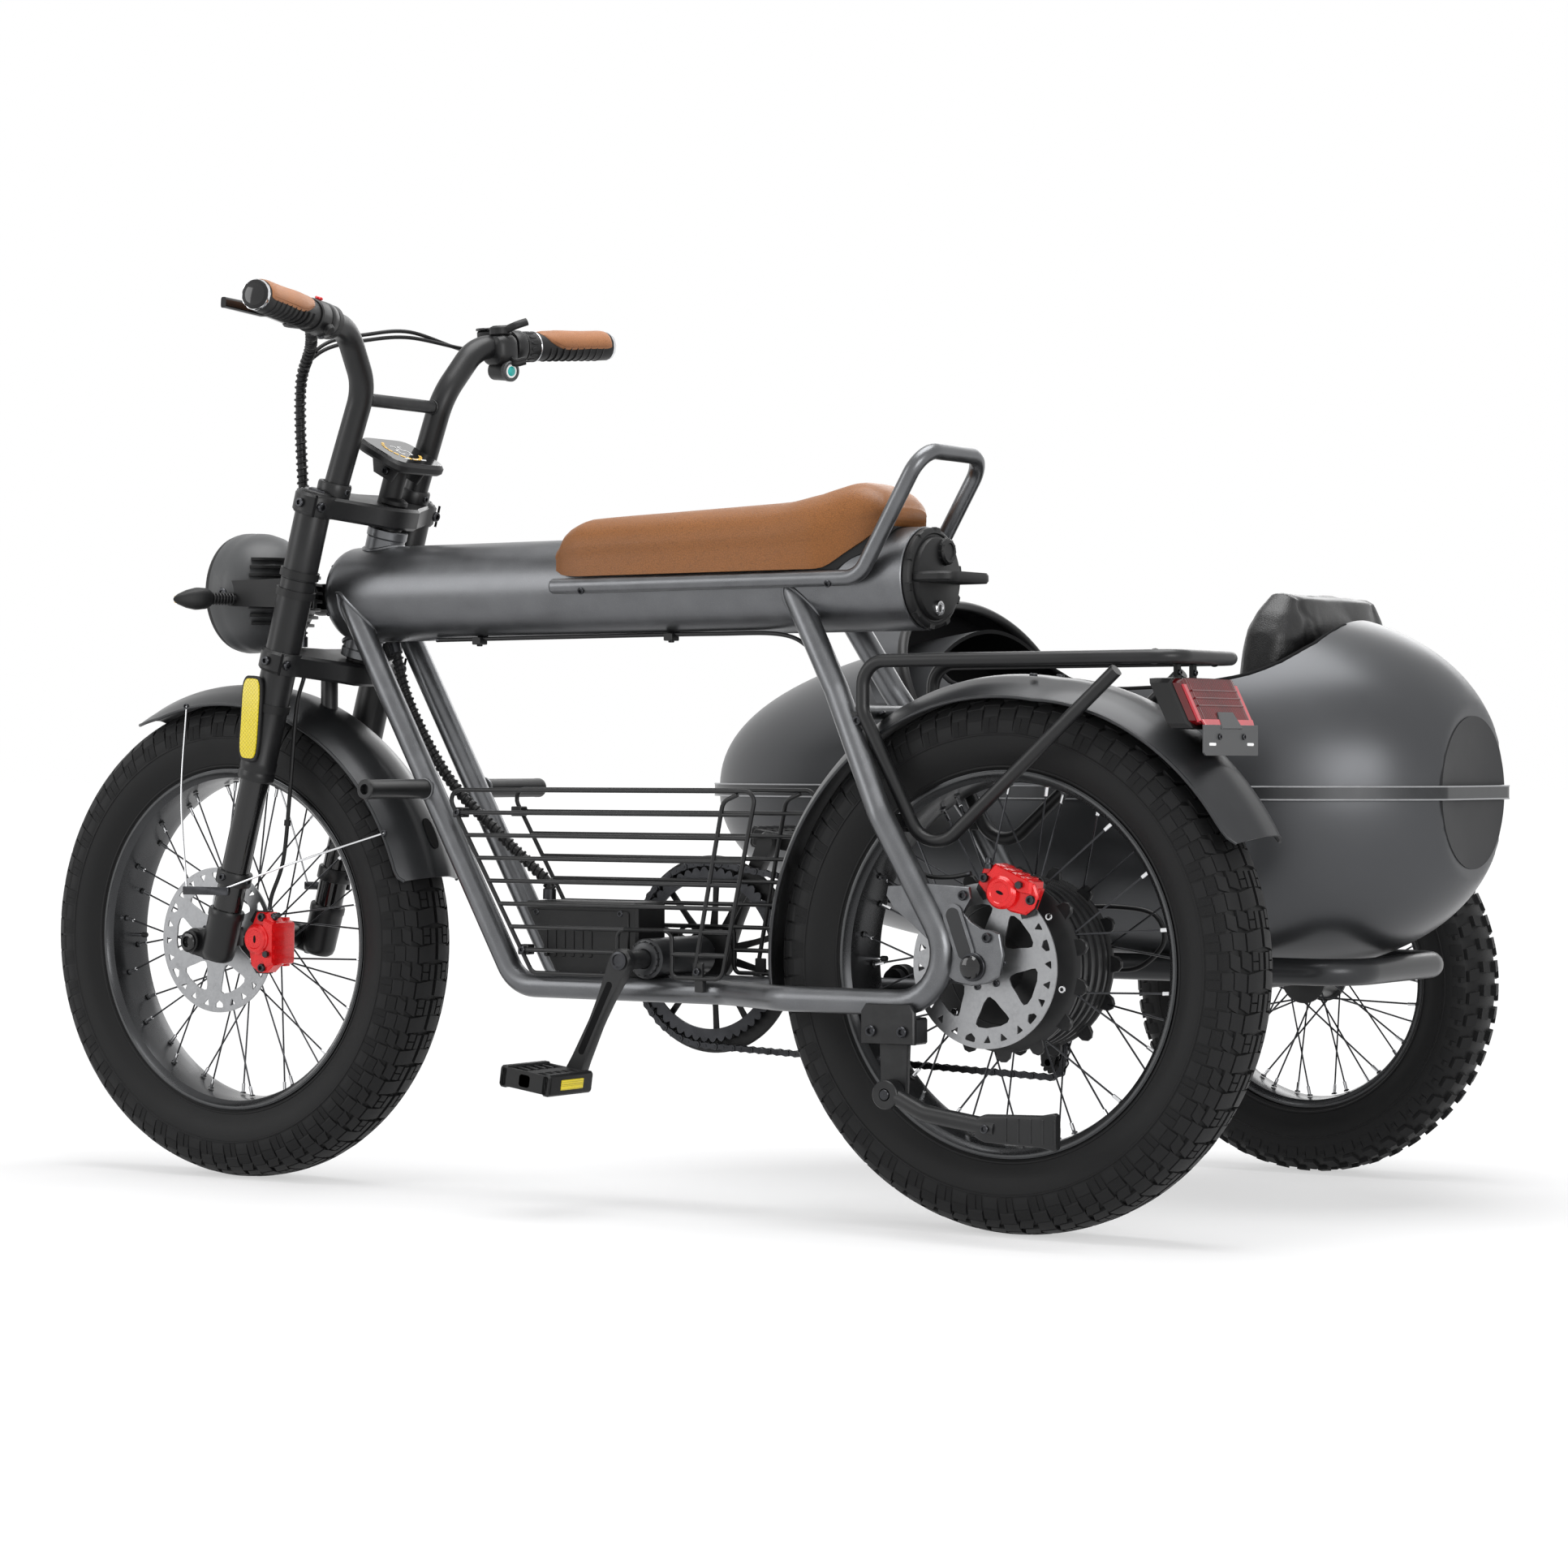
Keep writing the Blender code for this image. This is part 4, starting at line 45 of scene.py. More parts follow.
# Materials
def mat(name, colour, rough, metal=0.0, vary=0.25, rough_vary=0.1, scale=18.0, grain=900.0, bump=0.05,
        coat=0.0, coat_rough=0.15, sheen=0.0, leather=0.0, brushed=None, hatch=None, emission=0.0,
        specular=0.5, wear=0.0, fleck=0.0):
    """Paint, rubber, leather, metal or plastic from layered noise: tint, gloss, wear and fine relief."""
    made = bpy.data.materials.new(name)
    made.use_nodes = True
    tree = made.node_tree
    shader = tree.nodes["Principled BSDF"]
    shader.inputs["Metallic"].default_value = metal
    shader.inputs["Coat Weight"].default_value = coat
    shader.inputs["Coat Roughness"].default_value = coat_rough
    shader.inputs["Sheen Weight"].default_value = sheen
    shader.inputs["Specular IOR Level"].default_value = specular
    where = tree.nodes.new("ShaderNodeTexCoord").outputs["Object"]

    def noise(size, detail=4.0, stretch=None):
        spot = where
        if stretch:
            mapping = tree.nodes.new("ShaderNodeMapping")
            mapping.inputs["Scale"].default_value = stretch
            tree.links.new(where, mapping.inputs["Vector"])
            spot = mapping.outputs["Vector"]
        node = tree.nodes.new("ShaderNodeTexNoise")
        node.inputs["Scale"].default_value = size
        node.inputs["Detail"].default_value = detail
        tree.links.new(spot, node.inputs["Vector"])
        return node.outputs["Fac"]

    def ramp(source, low, high, a, b):
        node = tree.nodes.new("ShaderNodeMapRange")
        node.inputs["From Min"].default_value = low
        node.inputs["From Max"].default_value = high
        node.inputs["To Min"].default_value = a
        node.inputs["To Max"].default_value = b
        tree.links.new(source, node.inputs["Value"])
        return node.outputs["Result"]

    def math_node(kind, a, b):
        node = tree.nodes.new("ShaderNodeMath")
        node.operation = kind
        for socket, value in zip(node.inputs, (a, b)):
            if isinstance(value, float):
                socket.default_value = value
            else:
                tree.links.new(value, socket)
        return node.outputs[0]

    def mixed(factor, a, b):
        node = tree.nodes.new("ShaderNodeMix")
        node.data_type = "RGBA"
        tree.links.new(factor, node.inputs["Factor"])
        for socket, value in ((node.inputs["A"], a), (node.inputs["B"], b)):
            if isinstance(value, tuple):
                socket.default_value = value
            else:
                tree.links.new(value, socket)
        return node.outputs["Result"]

    broad, fine = noise(scale), noise(grain, 3.0)
    dark = tuple(c * (1 - vary) for c in colour) + (1,)
    light = tuple(min(1.0, c * (1 + vary)) for c in colour) + (1,)
    tint = mixed(ramp(broad, 0.3, 0.7, 0.0, 1.0), dark, light)
    if fleck:
        bright = tuple(min(1.0, c * (1 + fleck)) for c in colour) + (1,)
        tint = mixed(ramp(fine, 0.56, 0.72, 0.0, 1.0), tint, bright)
    height = fine
    if leather:
        cells = tree.nodes.new("ShaderNodeTexVoronoi")
        cells.feature = "DISTANCE_TO_EDGE"
        cells.inputs["Scale"].default_value = leather
        warp = tree.nodes.new("ShaderNodeVectorMath")
        warp.operation = "MULTIPLY_ADD"
        warp.inputs[1].default_value = (1, 1, 1)
        wobble = tree.nodes.new("ShaderNodeTexNoise")
        wobble.inputs["Scale"].default_value = leather * 0.5
        tree.links.new(where, wobble.inputs["Vector"])
        shrink = tree.nodes.new("ShaderNodeVectorMath")
        shrink.operation = "SCALE"
        shrink.inputs["Scale"].default_value = 0.9 / leather
        tree.links.new(wobble.outputs["Color"], shrink.inputs[0])
        tree.links.new(where, warp.inputs[0])
        tree.links.new(shrink.outputs["Vector"], warp.inputs[2])
        tree.links.new(warp.outputs["Vector"], cells.inputs["Vector"])
        # The creases between the grain's cells are painted darker: painted shade in the creases, following
        # the relief.
        folds = ramp(cells.outputs["Distance"], 0.0, 0.16, 0.0, 1.0)
        tint = mixed(folds, tuple(c * 0.72 for c in colour) + (1,), tint)
        height = math_node("ADD", math_node("MULTIPLY", folds, 0.8), math_node("MULTIPLY", fine, 0.2))
    if brushed:
        lines = noise(260.0, 2.0, brushed)
        tint = mixed(ramp(lines, 0.35, 0.65, 0.0, 1.0), tint, light)
        height = lines
    if hatch:
        crossed = []
        for way in ((1.0, 0.0, 1.0), (1.0, 0.0, -1.0)):
            turned_way = tree.nodes.new("ShaderNodeVectorMath")
            turned_way.operation = "DOT_PRODUCT"
            turned_way.inputs[1].default_value = way
            tree.links.new(where, turned_way.inputs[0])
            crossed.append(math_node("SINE", math_node("MULTIPLY", turned_way.outputs["Value"], hatch), 0.0))
        cell = math_node("MINIMUM", math_node("ABSOLUTE", crossed[0], 0.0),
                         math_node("ABSOLUTE", crossed[1], 0.0))
        cell = ramp(cell, 0.05, 0.35, 0.0, 1.0)
        # The hatch's grooves are painted darker: painted shade in the grooves, following the relief.
        tint = mixed(cell, tuple(c * 0.55 for c in colour) + (1,), tint)
        height = cell
    if wear:
        edge = tree.nodes.new("ShaderNodeNewGeometry")
        worn = math_node("MULTIPLY", ramp(edge.outputs["Pointiness"], 0.53, 0.6, 0.0, 1.0),
                         ramp(noise(70.0), 0.4, 0.65, 0.0, wear))
        tint = mixed(worn, tint, tuple(min(1.0, c * 3.0 + 0.04) for c in colour) + (1,))
    tree.links.new(tint, shader.inputs["Base Color"])
    gloss = math_node("ADD", ramp(broad, 0.3, 0.7, rough - rough_vary / 2, rough + rough_vary / 2),
                      ramp(fine, 0.3, 0.7, -rough_vary / 4, rough_vary / 4))
    tree.links.new(gloss, shader.inputs["Roughness"])
    if bump:
        relief = tree.nodes.new("ShaderNodeBump")
        relief.inputs["Strength"].default_value = bump
        relief.inputs["Distance"].default_value = 0.001
        tree.links.new(height, relief.inputs["Height"])
        tree.links.new(relief.outputs["Normal"], shader.inputs["Normal"])
    if emission:
        shader.inputs["Emission Color"].default_value = tuple(colour) + (1,)
        shader.inputs["Emission Strength"].default_value = emission
    return made


graphite = mat("graphite_metallic", (0.128, 0.131, 0.137), 0.34, 0.88, vary=0.1, scale=30.0, grain=1400.0,
               bump=0.1, coat=0.18, coat_rough=0.3, fleck=0.35, wear=0.1, specular=0.4)
black = mat("black_satin_paint", (0.009, 0.0092, 0.0098), 0.38, vary=0.18, bump=0.06, wear=0.1,
            specular=0.36)
charcoal = mat("charcoal_satin_paint", (0.03, 0.031, 0.033), 0.34, 0.45, vary=0.12, scale=8.0, bump=0.04,
               coat=0.1, coat_rough=0.25, wear=0.08, specular=0.4)
pod_paint = mat("pod_satin_paint", (0.064, 0.066, 0.07), 0.34, 0.66, vary=0.07, scale=5.0, grain=1100.0,
                bump=0.035, coat=0.08, coat_rough=0.3, wear=0.05, specular=0.4)
disc_paint = mat("pod_disc_matte", (0.034, 0.0345, 0.036), 0.6, 0.05, vary=0.1, bump=0.08, specular=0.3)
plastic = mat("moulded_black_plastic", (0.0075, 0.0076, 0.008), 0.48, vary=0.2, grain=1600.0, bump=0.14,
              specular=0.32)
gloss_black = mat("gloss_black_plastic", (0.006, 0.006, 0.0065), 0.1, vary=0.2, rough_vary=0.05, bump=0.02,
                  coat=0.35, coat_rough=0.05, specular=0.35)
grey_plastic = mat("grey_moulded_plastic", (0.062, 0.064, 0.066), 0.42, vary=0.12, grain=1500.0, bump=0.1,
                   specular=0.4)
rubber = mat("tyre_rubber", (0.0062, 0.0063, 0.0066), 0.56, vary=0.22, scale=9.0, grain=700.0, bump=0.1,
             rough_vary=0.14, sheen=0.02, specular=0.22)
tread_rubber = mat("tread_rubber", (0.008, 0.0081, 0.0085), 0.62, vary=0.2, scale=40.0, grain=1500.0,
                   bump=0.16, rough_vary=0.12, sheen=0.03, specular=0.22)
hatch_rubber = mat("hatched_rubber", (0.0085, 0.0086, 0.009), 0.66, vary=0.15, bump=0.5, hatch=1500.0,
                   specular=0.22)
hose_rubber = mat("hose_rubber", (0.007, 0.007, 0.0075), 0.42, vary=0.15, bump=0.06, specular=0.3)
tan = mat("tan_leather", (0.262, 0.1, 0.027), 0.42, vary=0.13, scale=7.0, leather=420.0, bump=0.2,
          rough_vary=0.12, coat=0.04, coat_rough=0.35, specular=0.3)
tan_light = mat("tan_grip_leather", (0.38, 0.16, 0.066), 0.48, vary=0.12, scale=20.0, leather=620.0,
                bump=0.22, rough_vary=0.1, sheen=0.05, specular=0.35)
thread = mat("waxed_thread", (0.19, 0.075, 0.028), 0.6, vary=0.2, grain=3000.0, bump=0.3)
dark_thread = mat("black_thread", (0.03, 0.03, 0.032), 0.6, vary=0.2, grain=3000.0, bump=0.3)
black_hide = mat("black_leather", (0.0085, 0.0086, 0.009), 0.36, vary=0.18, scale=9.0, leather=380.0,
                 bump=0.2, rough_vary=0.12, coat=0.05, coat_rough=0.3, specular=0.42)
steel = mat("ground_steel", (0.3, 0.304, 0.312), 0.34, 0.9, vary=0.08, scale=60.0, brushed=(1.0, 1.0, 1.0),
            bump=0.1)
dark_steel = mat("blued_steel", (0.045, 0.046, 0.05), 0.32, 0.85, vary=0.2, scale=60.0, bump=0.08,
                 specular=0.4)
chrome = mat("bright_chrome", (0.7, 0.705, 0.72), 0.12, 1.0, vary=0.04, rough_vary=0.05, bump=0.01)
rim_paint = mat("rim_satin_black", (0.04, 0.041, 0.043), 0.28, 0.75, vary=0.12, scale=12.0, bump=0.03,
                coat=0.12, wear=0.12, specular=0.36)
red = mat("red_anodised", (0.7, 0.004, 0.006), 0.28, 0.15, vary=0.1, scale=40.0, bump=0.04, coat=0.3,
          coat_rough=0.1, specular=0.4)
lens_dark = mat("dark_red_lens", (0.11, 0.0015, 0.003), 0.1, vary=0.25, scale=30.0, bump=0.03, coat=0.5,
                coat_rough=0.04, specular=0.4)
lens_bright = mat("bright_red_lens", (0.46, 0.012, 0.026), 0.12, vary=0.1, scale=40.0, bump=0.02, coat=0.6,
                  coat_rough=0.04, emission=0.1)
# Its small emission is a painted glow, as the reflector is no lamp.
yellow = mat("yellow_reflector", (0.78, 0.62, 0.006), 0.25, vary=0.06, bump=0.35, hatch=640.0, coat=0.4,
             coat_rough=0.06, emission=0.05)
# Its small emission is a painted glow, as the button is no lamp.
teal = mat("teal_button", (0.015, 0.4, 0.37), 0.25, vary=0.08, bump=0.02, coat=0.4, emission=0.1)
# Its emission is a painted glow on the white marks.
white_mark = mat("white_print", (0.78, 0.78, 0.78), 0.4, vary=0.04, bump=0.02, emission=0.25)
amber_mark = mat("amber_print", (0.76, 0.48, 0.1), 0.4, vary=0.06, bump=0.02, emission=0.15)
glass = mat("display_glass", (0.005, 0.005, 0.0055), 0.07, vary=0.15, rough_vary=0.03, bump=0.01, coat=0.6,
            coat_rough=0.03, specular=0.4)
clear_lens = mat("headlamp_lens", (0.45, 0.46, 0.48), 0.08, vary=0.08, rough_vary=0.03, bump=0.1, coat=1.0,
                 coat_rough=0.03)
# Near-black and almost without gloss: the rubber mouth bead's own colour, and painted shade inside the tub,
# in the cowl's mouth and on slots, slits and grooves.
near_black_and_shade = mat("near_black_and_painted_shade", (0.0055, 0.0055, 0.006), 0.75, vary=0.2, bump=0.15, specular=0.1)


# Making shapes
def basis(axis):
    axis = axis.normalized()
    side = ALONG_Z if abs(axis.z) < abs(axis.x) + abs(axis.y) else ALONG_X
    first = (side - axis * side.dot(axis)).normalized()
    return first, axis.cross(first)


class Form:
    """Points and faces laid out from the rear tyre's contact point, made into one piece at the end."""

    def __init__(self):
        self.points, self.faces, self.slots, self.current = [], [], [], 0

    def paint(self, index):
        self.current = index
        return self

    def add(self, points, faces):
        start = len(self.points)
        self.points += points
        self.faces += [[start + i for i in face] for face in faces]
        self.slots += [self.current] * len(faces)
        return self

    def lathe(self, profile, centre, axis, steps=48, closed=True):
        axis = axis.normalized()
        first, second = basis(axis)
        points, rings = [], []
        for radius, along in profile:
            if radius == 0:
                rings.append([len(points)] * steps)
                points.append(centre + axis * along)
                continue
            rings.append(list(range(len(points), len(points) + steps)))
            for step in range(steps):
                angle = TURN * step / steps
                points.append(centre + axis * along + (first * math.cos(angle) + second * math.sin(angle))
                              * radius)
        faces = []
        pairs = list(zip(rings, rings[1:])) + ([(rings[-1], rings[0])] if closed else [])
        for ring, other in pairs:
            for step in range(steps):
                after = (step + 1) % steps
                face = [ring[step], ring[after], other[after], other[step]]
                face = [c for i, c in enumerate(face) if c not in face[:i]]
                if len(face) > 2:
                    faces.append(face)
        return self.add(points, faces)

    def rod(self, start, end, radius, steps=24, edge=0.0):
        axis = end - start
        long = axis.length
        edge = min(edge, radius * 0.5, long * 0.4)
        profile = [(0, 0), (radius - edge, 0), (radius, edge), (radius, long - edge), (radius - edge, long),
                   (0, long)]
        if not edge:
            profile = [(0, 0), (radius, 0), (radius, long), (0, long)]
        return self.lathe(profile, start, axis, steps, closed=False)

    def ball(self, centre, radius, axis=ALONG_Z, steps=24, squash=1.0, rows=8):
        profile = [(radius * math.sin(math.pi * i / rows), -radius * squash * math.cos(math.pi * i / rows))
                   for i in range(rows + 1)]
        profile[0], profile[-1] = (0, -radius * squash), (0, radius * squash)
        return self.lathe(profile, centre, axis, steps, closed=False)

    def tube(self, path, radius, sides=20, ring=False, caps=True, flat=1.0):
        count = len(path)
        points, rings, first = [], [], None
        for i, spot in enumerate(path):
            before = path[i - 1] if i or ring else path[i]
            after = path[(i + 1) % count] if i < count - 1 or ring else path[i]
            ways = [w.normalized() for w in (spot - before, after - spot) if w.length > 1e-7]
            tangent = sum(ways, Vector()).normalized()
            if first is None:
                first = basis(tangent)[0]
            first = (first - tangent * first.dot(tangent)).normalized()
            second = tangent.cross(first)
            lean = max(0.5, abs(ways[0].dot(tangent)))
            mitre = ways[0] - tangent * ways[0].dot(tangent)
            rings.append(list(range(len(points), len(points) + sides)))
            for side in range(sides):
                angle = TURN * side / sides
                arm = first * math.cos(angle) + second * (math.sin(angle) * flat)
                if mitre.length > 0.001:
                    along = mitre.normalized()
                    arm = arm + along * arm.dot(along) * (1 / lean - 1)
                points.append(spot + arm * radius)
        faces = []
        pairs = list(zip(rings, rings[1:])) + ([(rings[-1], rings[0])] if ring else [])
        if caps and not ring:
            faces += [rings[0][::-1], rings[-1]]
        for here, there in pairs:
            for side in range(sides):
                after = (side + 1) % sides
                faces.append([here[side], here[after], there[after], there[side]])
        return self.add(points, faces)

    def loft(self, sections, caps=True, ring=False, close=True):
        size = len(sections[0])
        points = [p for section in sections for p in section]
        faces = [list(range(size))[::-1], [len(points) - size + i for i in range(size)]] if caps else []
        rows = len(sections)
        for row in range(rows if ring else rows - 1):
            nxt = (row + 1) % rows
            for i in range(size if close else size - 1):
                j = (i + 1) % size
                faces.append([row * size + i, row * size + j, nxt * size + j, nxt * size + i])
        return self.add(points, faces)

    def slab(self, outline, thickness, origin, across, up, edge=0.0):
        """An outline of (across, up) points as thick as asked to both sides, its corners eased."""
        normal = across.cross(up).normalized()
        half = thickness / 2
        edge = min(edge, half * 0.9)
        middle = Vector((sum(a for a, b in outline), sum(b for a, b in outline))) / len(outline)

        def ring(shrink, level):
            pts = []
            for a, b in outline:
                way = Vector((a, b)) - middle
                way = way * (1 - shrink / max(way.length, 1e-6))
                spot = middle + way
                pts.append(origin + across * spot.x + up * spot.y + normal * level)
            return pts
        if edge:
            sections = [ring(edge, -half), ring(0, -half + edge), ring(0, half - edge), ring(edge, half)]
        else:
            sections = [ring(0, -half), ring(0, half)]
        return self.loft(sections)

    def box(self, low, high, edge=0.0):
        edge = min(edge, *(abs(h - l) * 0.45 for l, h in zip(low, high))) if edge else 0.0
        middle_y = (low[1] + high[1]) / 2
        outline = [(low[0] + edge, low[2]), (high[0] - edge, low[2]), (high[0], low[2] + edge),
                   (high[0], high[2] - edge), (high[0] - edge, high[2]), (low[0] + edge, high[2]),
                   (low[0], high[2] - edge), (low[0], low[2] + edge)] if edge else \
            [(low[0], low[2]), (high[0], low[2]), (high[0], high[2]), (low[0], high[2])]
        return self.slab(outline, abs(high[1] - low[1]), Vector((0, middle_y, 0)), ALONG_X, ALONG_Z, edge)

    def bolt(self, spot, axis, radius, head):
        """A socket head screw with its hexagon sunk in."""
        axis = axis.normalized()
        sunk = radius * 0.55
        profile = [(0, 0), (radius, 0), (radius, head * 0.75), (radius * 0.86, head), (radius * 0.62, head)]
        self.lathe(profile, spot, axis, 18, closed=False)
        hexagon = [(radius * 0.62, head), (sunk, head), (sunk * 0.98, head * 0.35), (0, head * 0.35)]
        return self.lathe(hexagon, spot, axis, 6, closed=False)

    def make(self, name, materials, body, replaces=(), slot=None, sharp=35):
        mesh = bpy.data.meshes.new(name)
        mesh.from_pydata([tuple(p + SHIFT) for p in self.points], [], self.faces)
        for material in materials:
            mesh.materials.append(material)
        mesh.polygons.foreach_set("material_index", self.slots)
        work = bmesh.new()
        work.from_mesh(mesh)
        bmesh.ops.recalc_face_normals(work, faces=work.faces)
        work.to_mesh(mesh)
        work.free()
        mesh.shade_smooth()
        if sharp < 180:
            mesh.set_sharp_from_angle(angle=math.radians(sharp))
        thing = bpy.data.objects.new(name, mesh)
        bpy.context.scene.collection.objects.link(thing)
        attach(thing, body)
        if replaces:
            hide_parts(*replaces)
        return thing


def power(value, exponent):
    return math.copysign(abs(value) ** exponent, value)


def superellipse(half_a, half_b, exponent, steps=40):
    angles = [TURN * k / steps for k in range(steps)]
    return [(half_a * power(math.cos(a), 2 / exponent), half_b * power(math.sin(a), 2 / exponent))
            for a in angles]


def ellipse(half_a, half_b, steps, at=(0, 0)):
    return [(at[0] + half_a * math.cos(TURN * k / steps), at[1] + half_b * math.sin(TURN * k / steps))
            for k in range(steps)]


def arc(radius, start, sweep, steps, at=(0, 0)):
    """Points of a flat arc with both its ends, from a start angle over a sweep in degrees."""
    angles = [math.radians(start + sweep * k / steps) for k in range(steps + 1)]
    return [(at[0] + radius * math.cos(a), at[1] + radius * math.sin(a)) for a in angles]


def placed(outline, spot, across, up):
    return [spot + across * a + up * b for a, b in outline]


def direction(angle):
    """The way that an angle above forward points to in the side view."""
    return Vector((math.cos(angle), 0, math.sin(angle)))


def rounded(points, radii, steps=8):
    path = [points[0]]
    for before, here, after, radius in zip(points, points[1:], points[2:], radii):
        back, on = (before - here).normalized(), (after - here).normalized()
        half = back.angle(on) / 2
        if radius <= 0 or math.pi / 2 - half < math.radians(1):
            path.append(here)
            continue
        reach = min(radius / math.tan(half), (before - here).length * 0.49, (after - here).length * 0.49)
        radius = reach * math.tan(half)
        centre = here + (back + on).normalized() * (radius / math.sin(half))
        start, end = here + back * reach - centre, here + on * reach - centre
        turn = start.angle(end)
        for step in range(steps + 1):
            share = step / steps
            path.append(centre + (start * math.sin((1 - share) * turn) + end * math.sin(share * turn))
                        / math.sin(turn))
    path.append(points[-1])
    return path


def smooth_path(route, steps=6):
    points = []
    padded = [route[0] * 2 - route[1]] + route + [route[-1] * 2 - route[-2]]
    for a, b, c, d in zip(padded, padded[1:], padded[2:], padded[3:]):
        for step in range(steps):
            t = step / steps
            points.append((b * 2 + (c - a) * t + (a * 2 - b * 5 + c * 4 - d) * t ** 2
                           + (b * 3 - a - c * 3 + d) * t ** 3) / 2)
    points.append(route[-1])
    return points


def blended(values, share):
    """A smooth reading of evenly or unevenly spaced (share, value…) rows."""
    for i, (here, there) in enumerate(zip(values, values[1:])):
        if share <= there[0] or i == len(values) - 2:
            t = 0 if there[0] == here[0] else (share - here[0]) / (there[0] - here[0])
            before = values[max(0, i - 1)]
            after = values[min(len(values) - 1, i + 2)]
            out = []
            for a, b, c, d in zip(before[1:], here[1:], there[1:], after[1:]):
                out.append((2 * b + (c - a) * t + (2 * a - 5 * b + 4 * c - d) * t ** 2
                            + (3 * b - a - 3 * c + d) * t ** 3) / 2)
            return out
    return list(values[-1][1:])


# The bike's sizes, as in the CAD source
R_TYRE, R_SIDE = 0.298, 0.244
rear_axle, front_axle = Vector((0, 0, R_TYRE)), Vector((1.114, 0, R_TYRE))
side_axle = Vector((0.026, -0.791, R_SIDE))
main_z, main_r = 0.724, 0.058
REAR_DISC_Y, FRONT_DISC_Y, DISC_HALF = 0.078, 0.06, 0.001
FENDER_R, FENDER_HALF = 0.318, 0.058
RACK_Z, RACK_Y, RACK_R = 0.631, 0.075, 0.0075
CROWN_LOW, CROWN_HIGH, CROWN_THICK = -0.111, 0.086, 0.027
CRANK_LONG, PEDAL_Y, CHAIN_Y = 0.151, 0.1073, -0.0745
BAR_R, CLAMP_BORE = 0.015, 0.0151
AXLE_PIN, JOIN_GAP = 0.0059, 0.0003
steer = math.radians(15.85)
steer_base = Vector((0.914, 0, main_z))
steer_up = Vector((-math.sin(steer), 0, math.cos(steer)))
steer_ahead = Vector((math.cos(steer), 0, math.sin(steer)))
fork_y, fork_x = 0.096, 0.042
axle_down = (front_axle - steer_base).dot(steer_up)
crank_centre = Vector((0.467, 0, 0.292))


def raked(along, y, ahead):
    return steer_base + steer_up * along + ALONG_Y * y + steer_ahead * ahead


# Tyres
def tyre_profile(radius, half_width, bead, inset):
    """Rows of (share round the section, radius, side) from bead to bead."""
    rows = [(0.0, 0.0, 0.7), (0.16, 0.28, 0.96), (0.3, 0.58, 1.0), (0.4, 0.84, 0.82), (0.455, 0.97, 0.44),
            (0.5, 1.0, 0.0)]
    rows += [(1 - s, a, -b) for s, a, b in rows[-2::-1]]
    height = radius - bead - inset

    def at(share):
        a, b = blended(rows, share)
        return bead + height * min(a, 1.0), half_width * b * (1 - inset * 3)
    return at


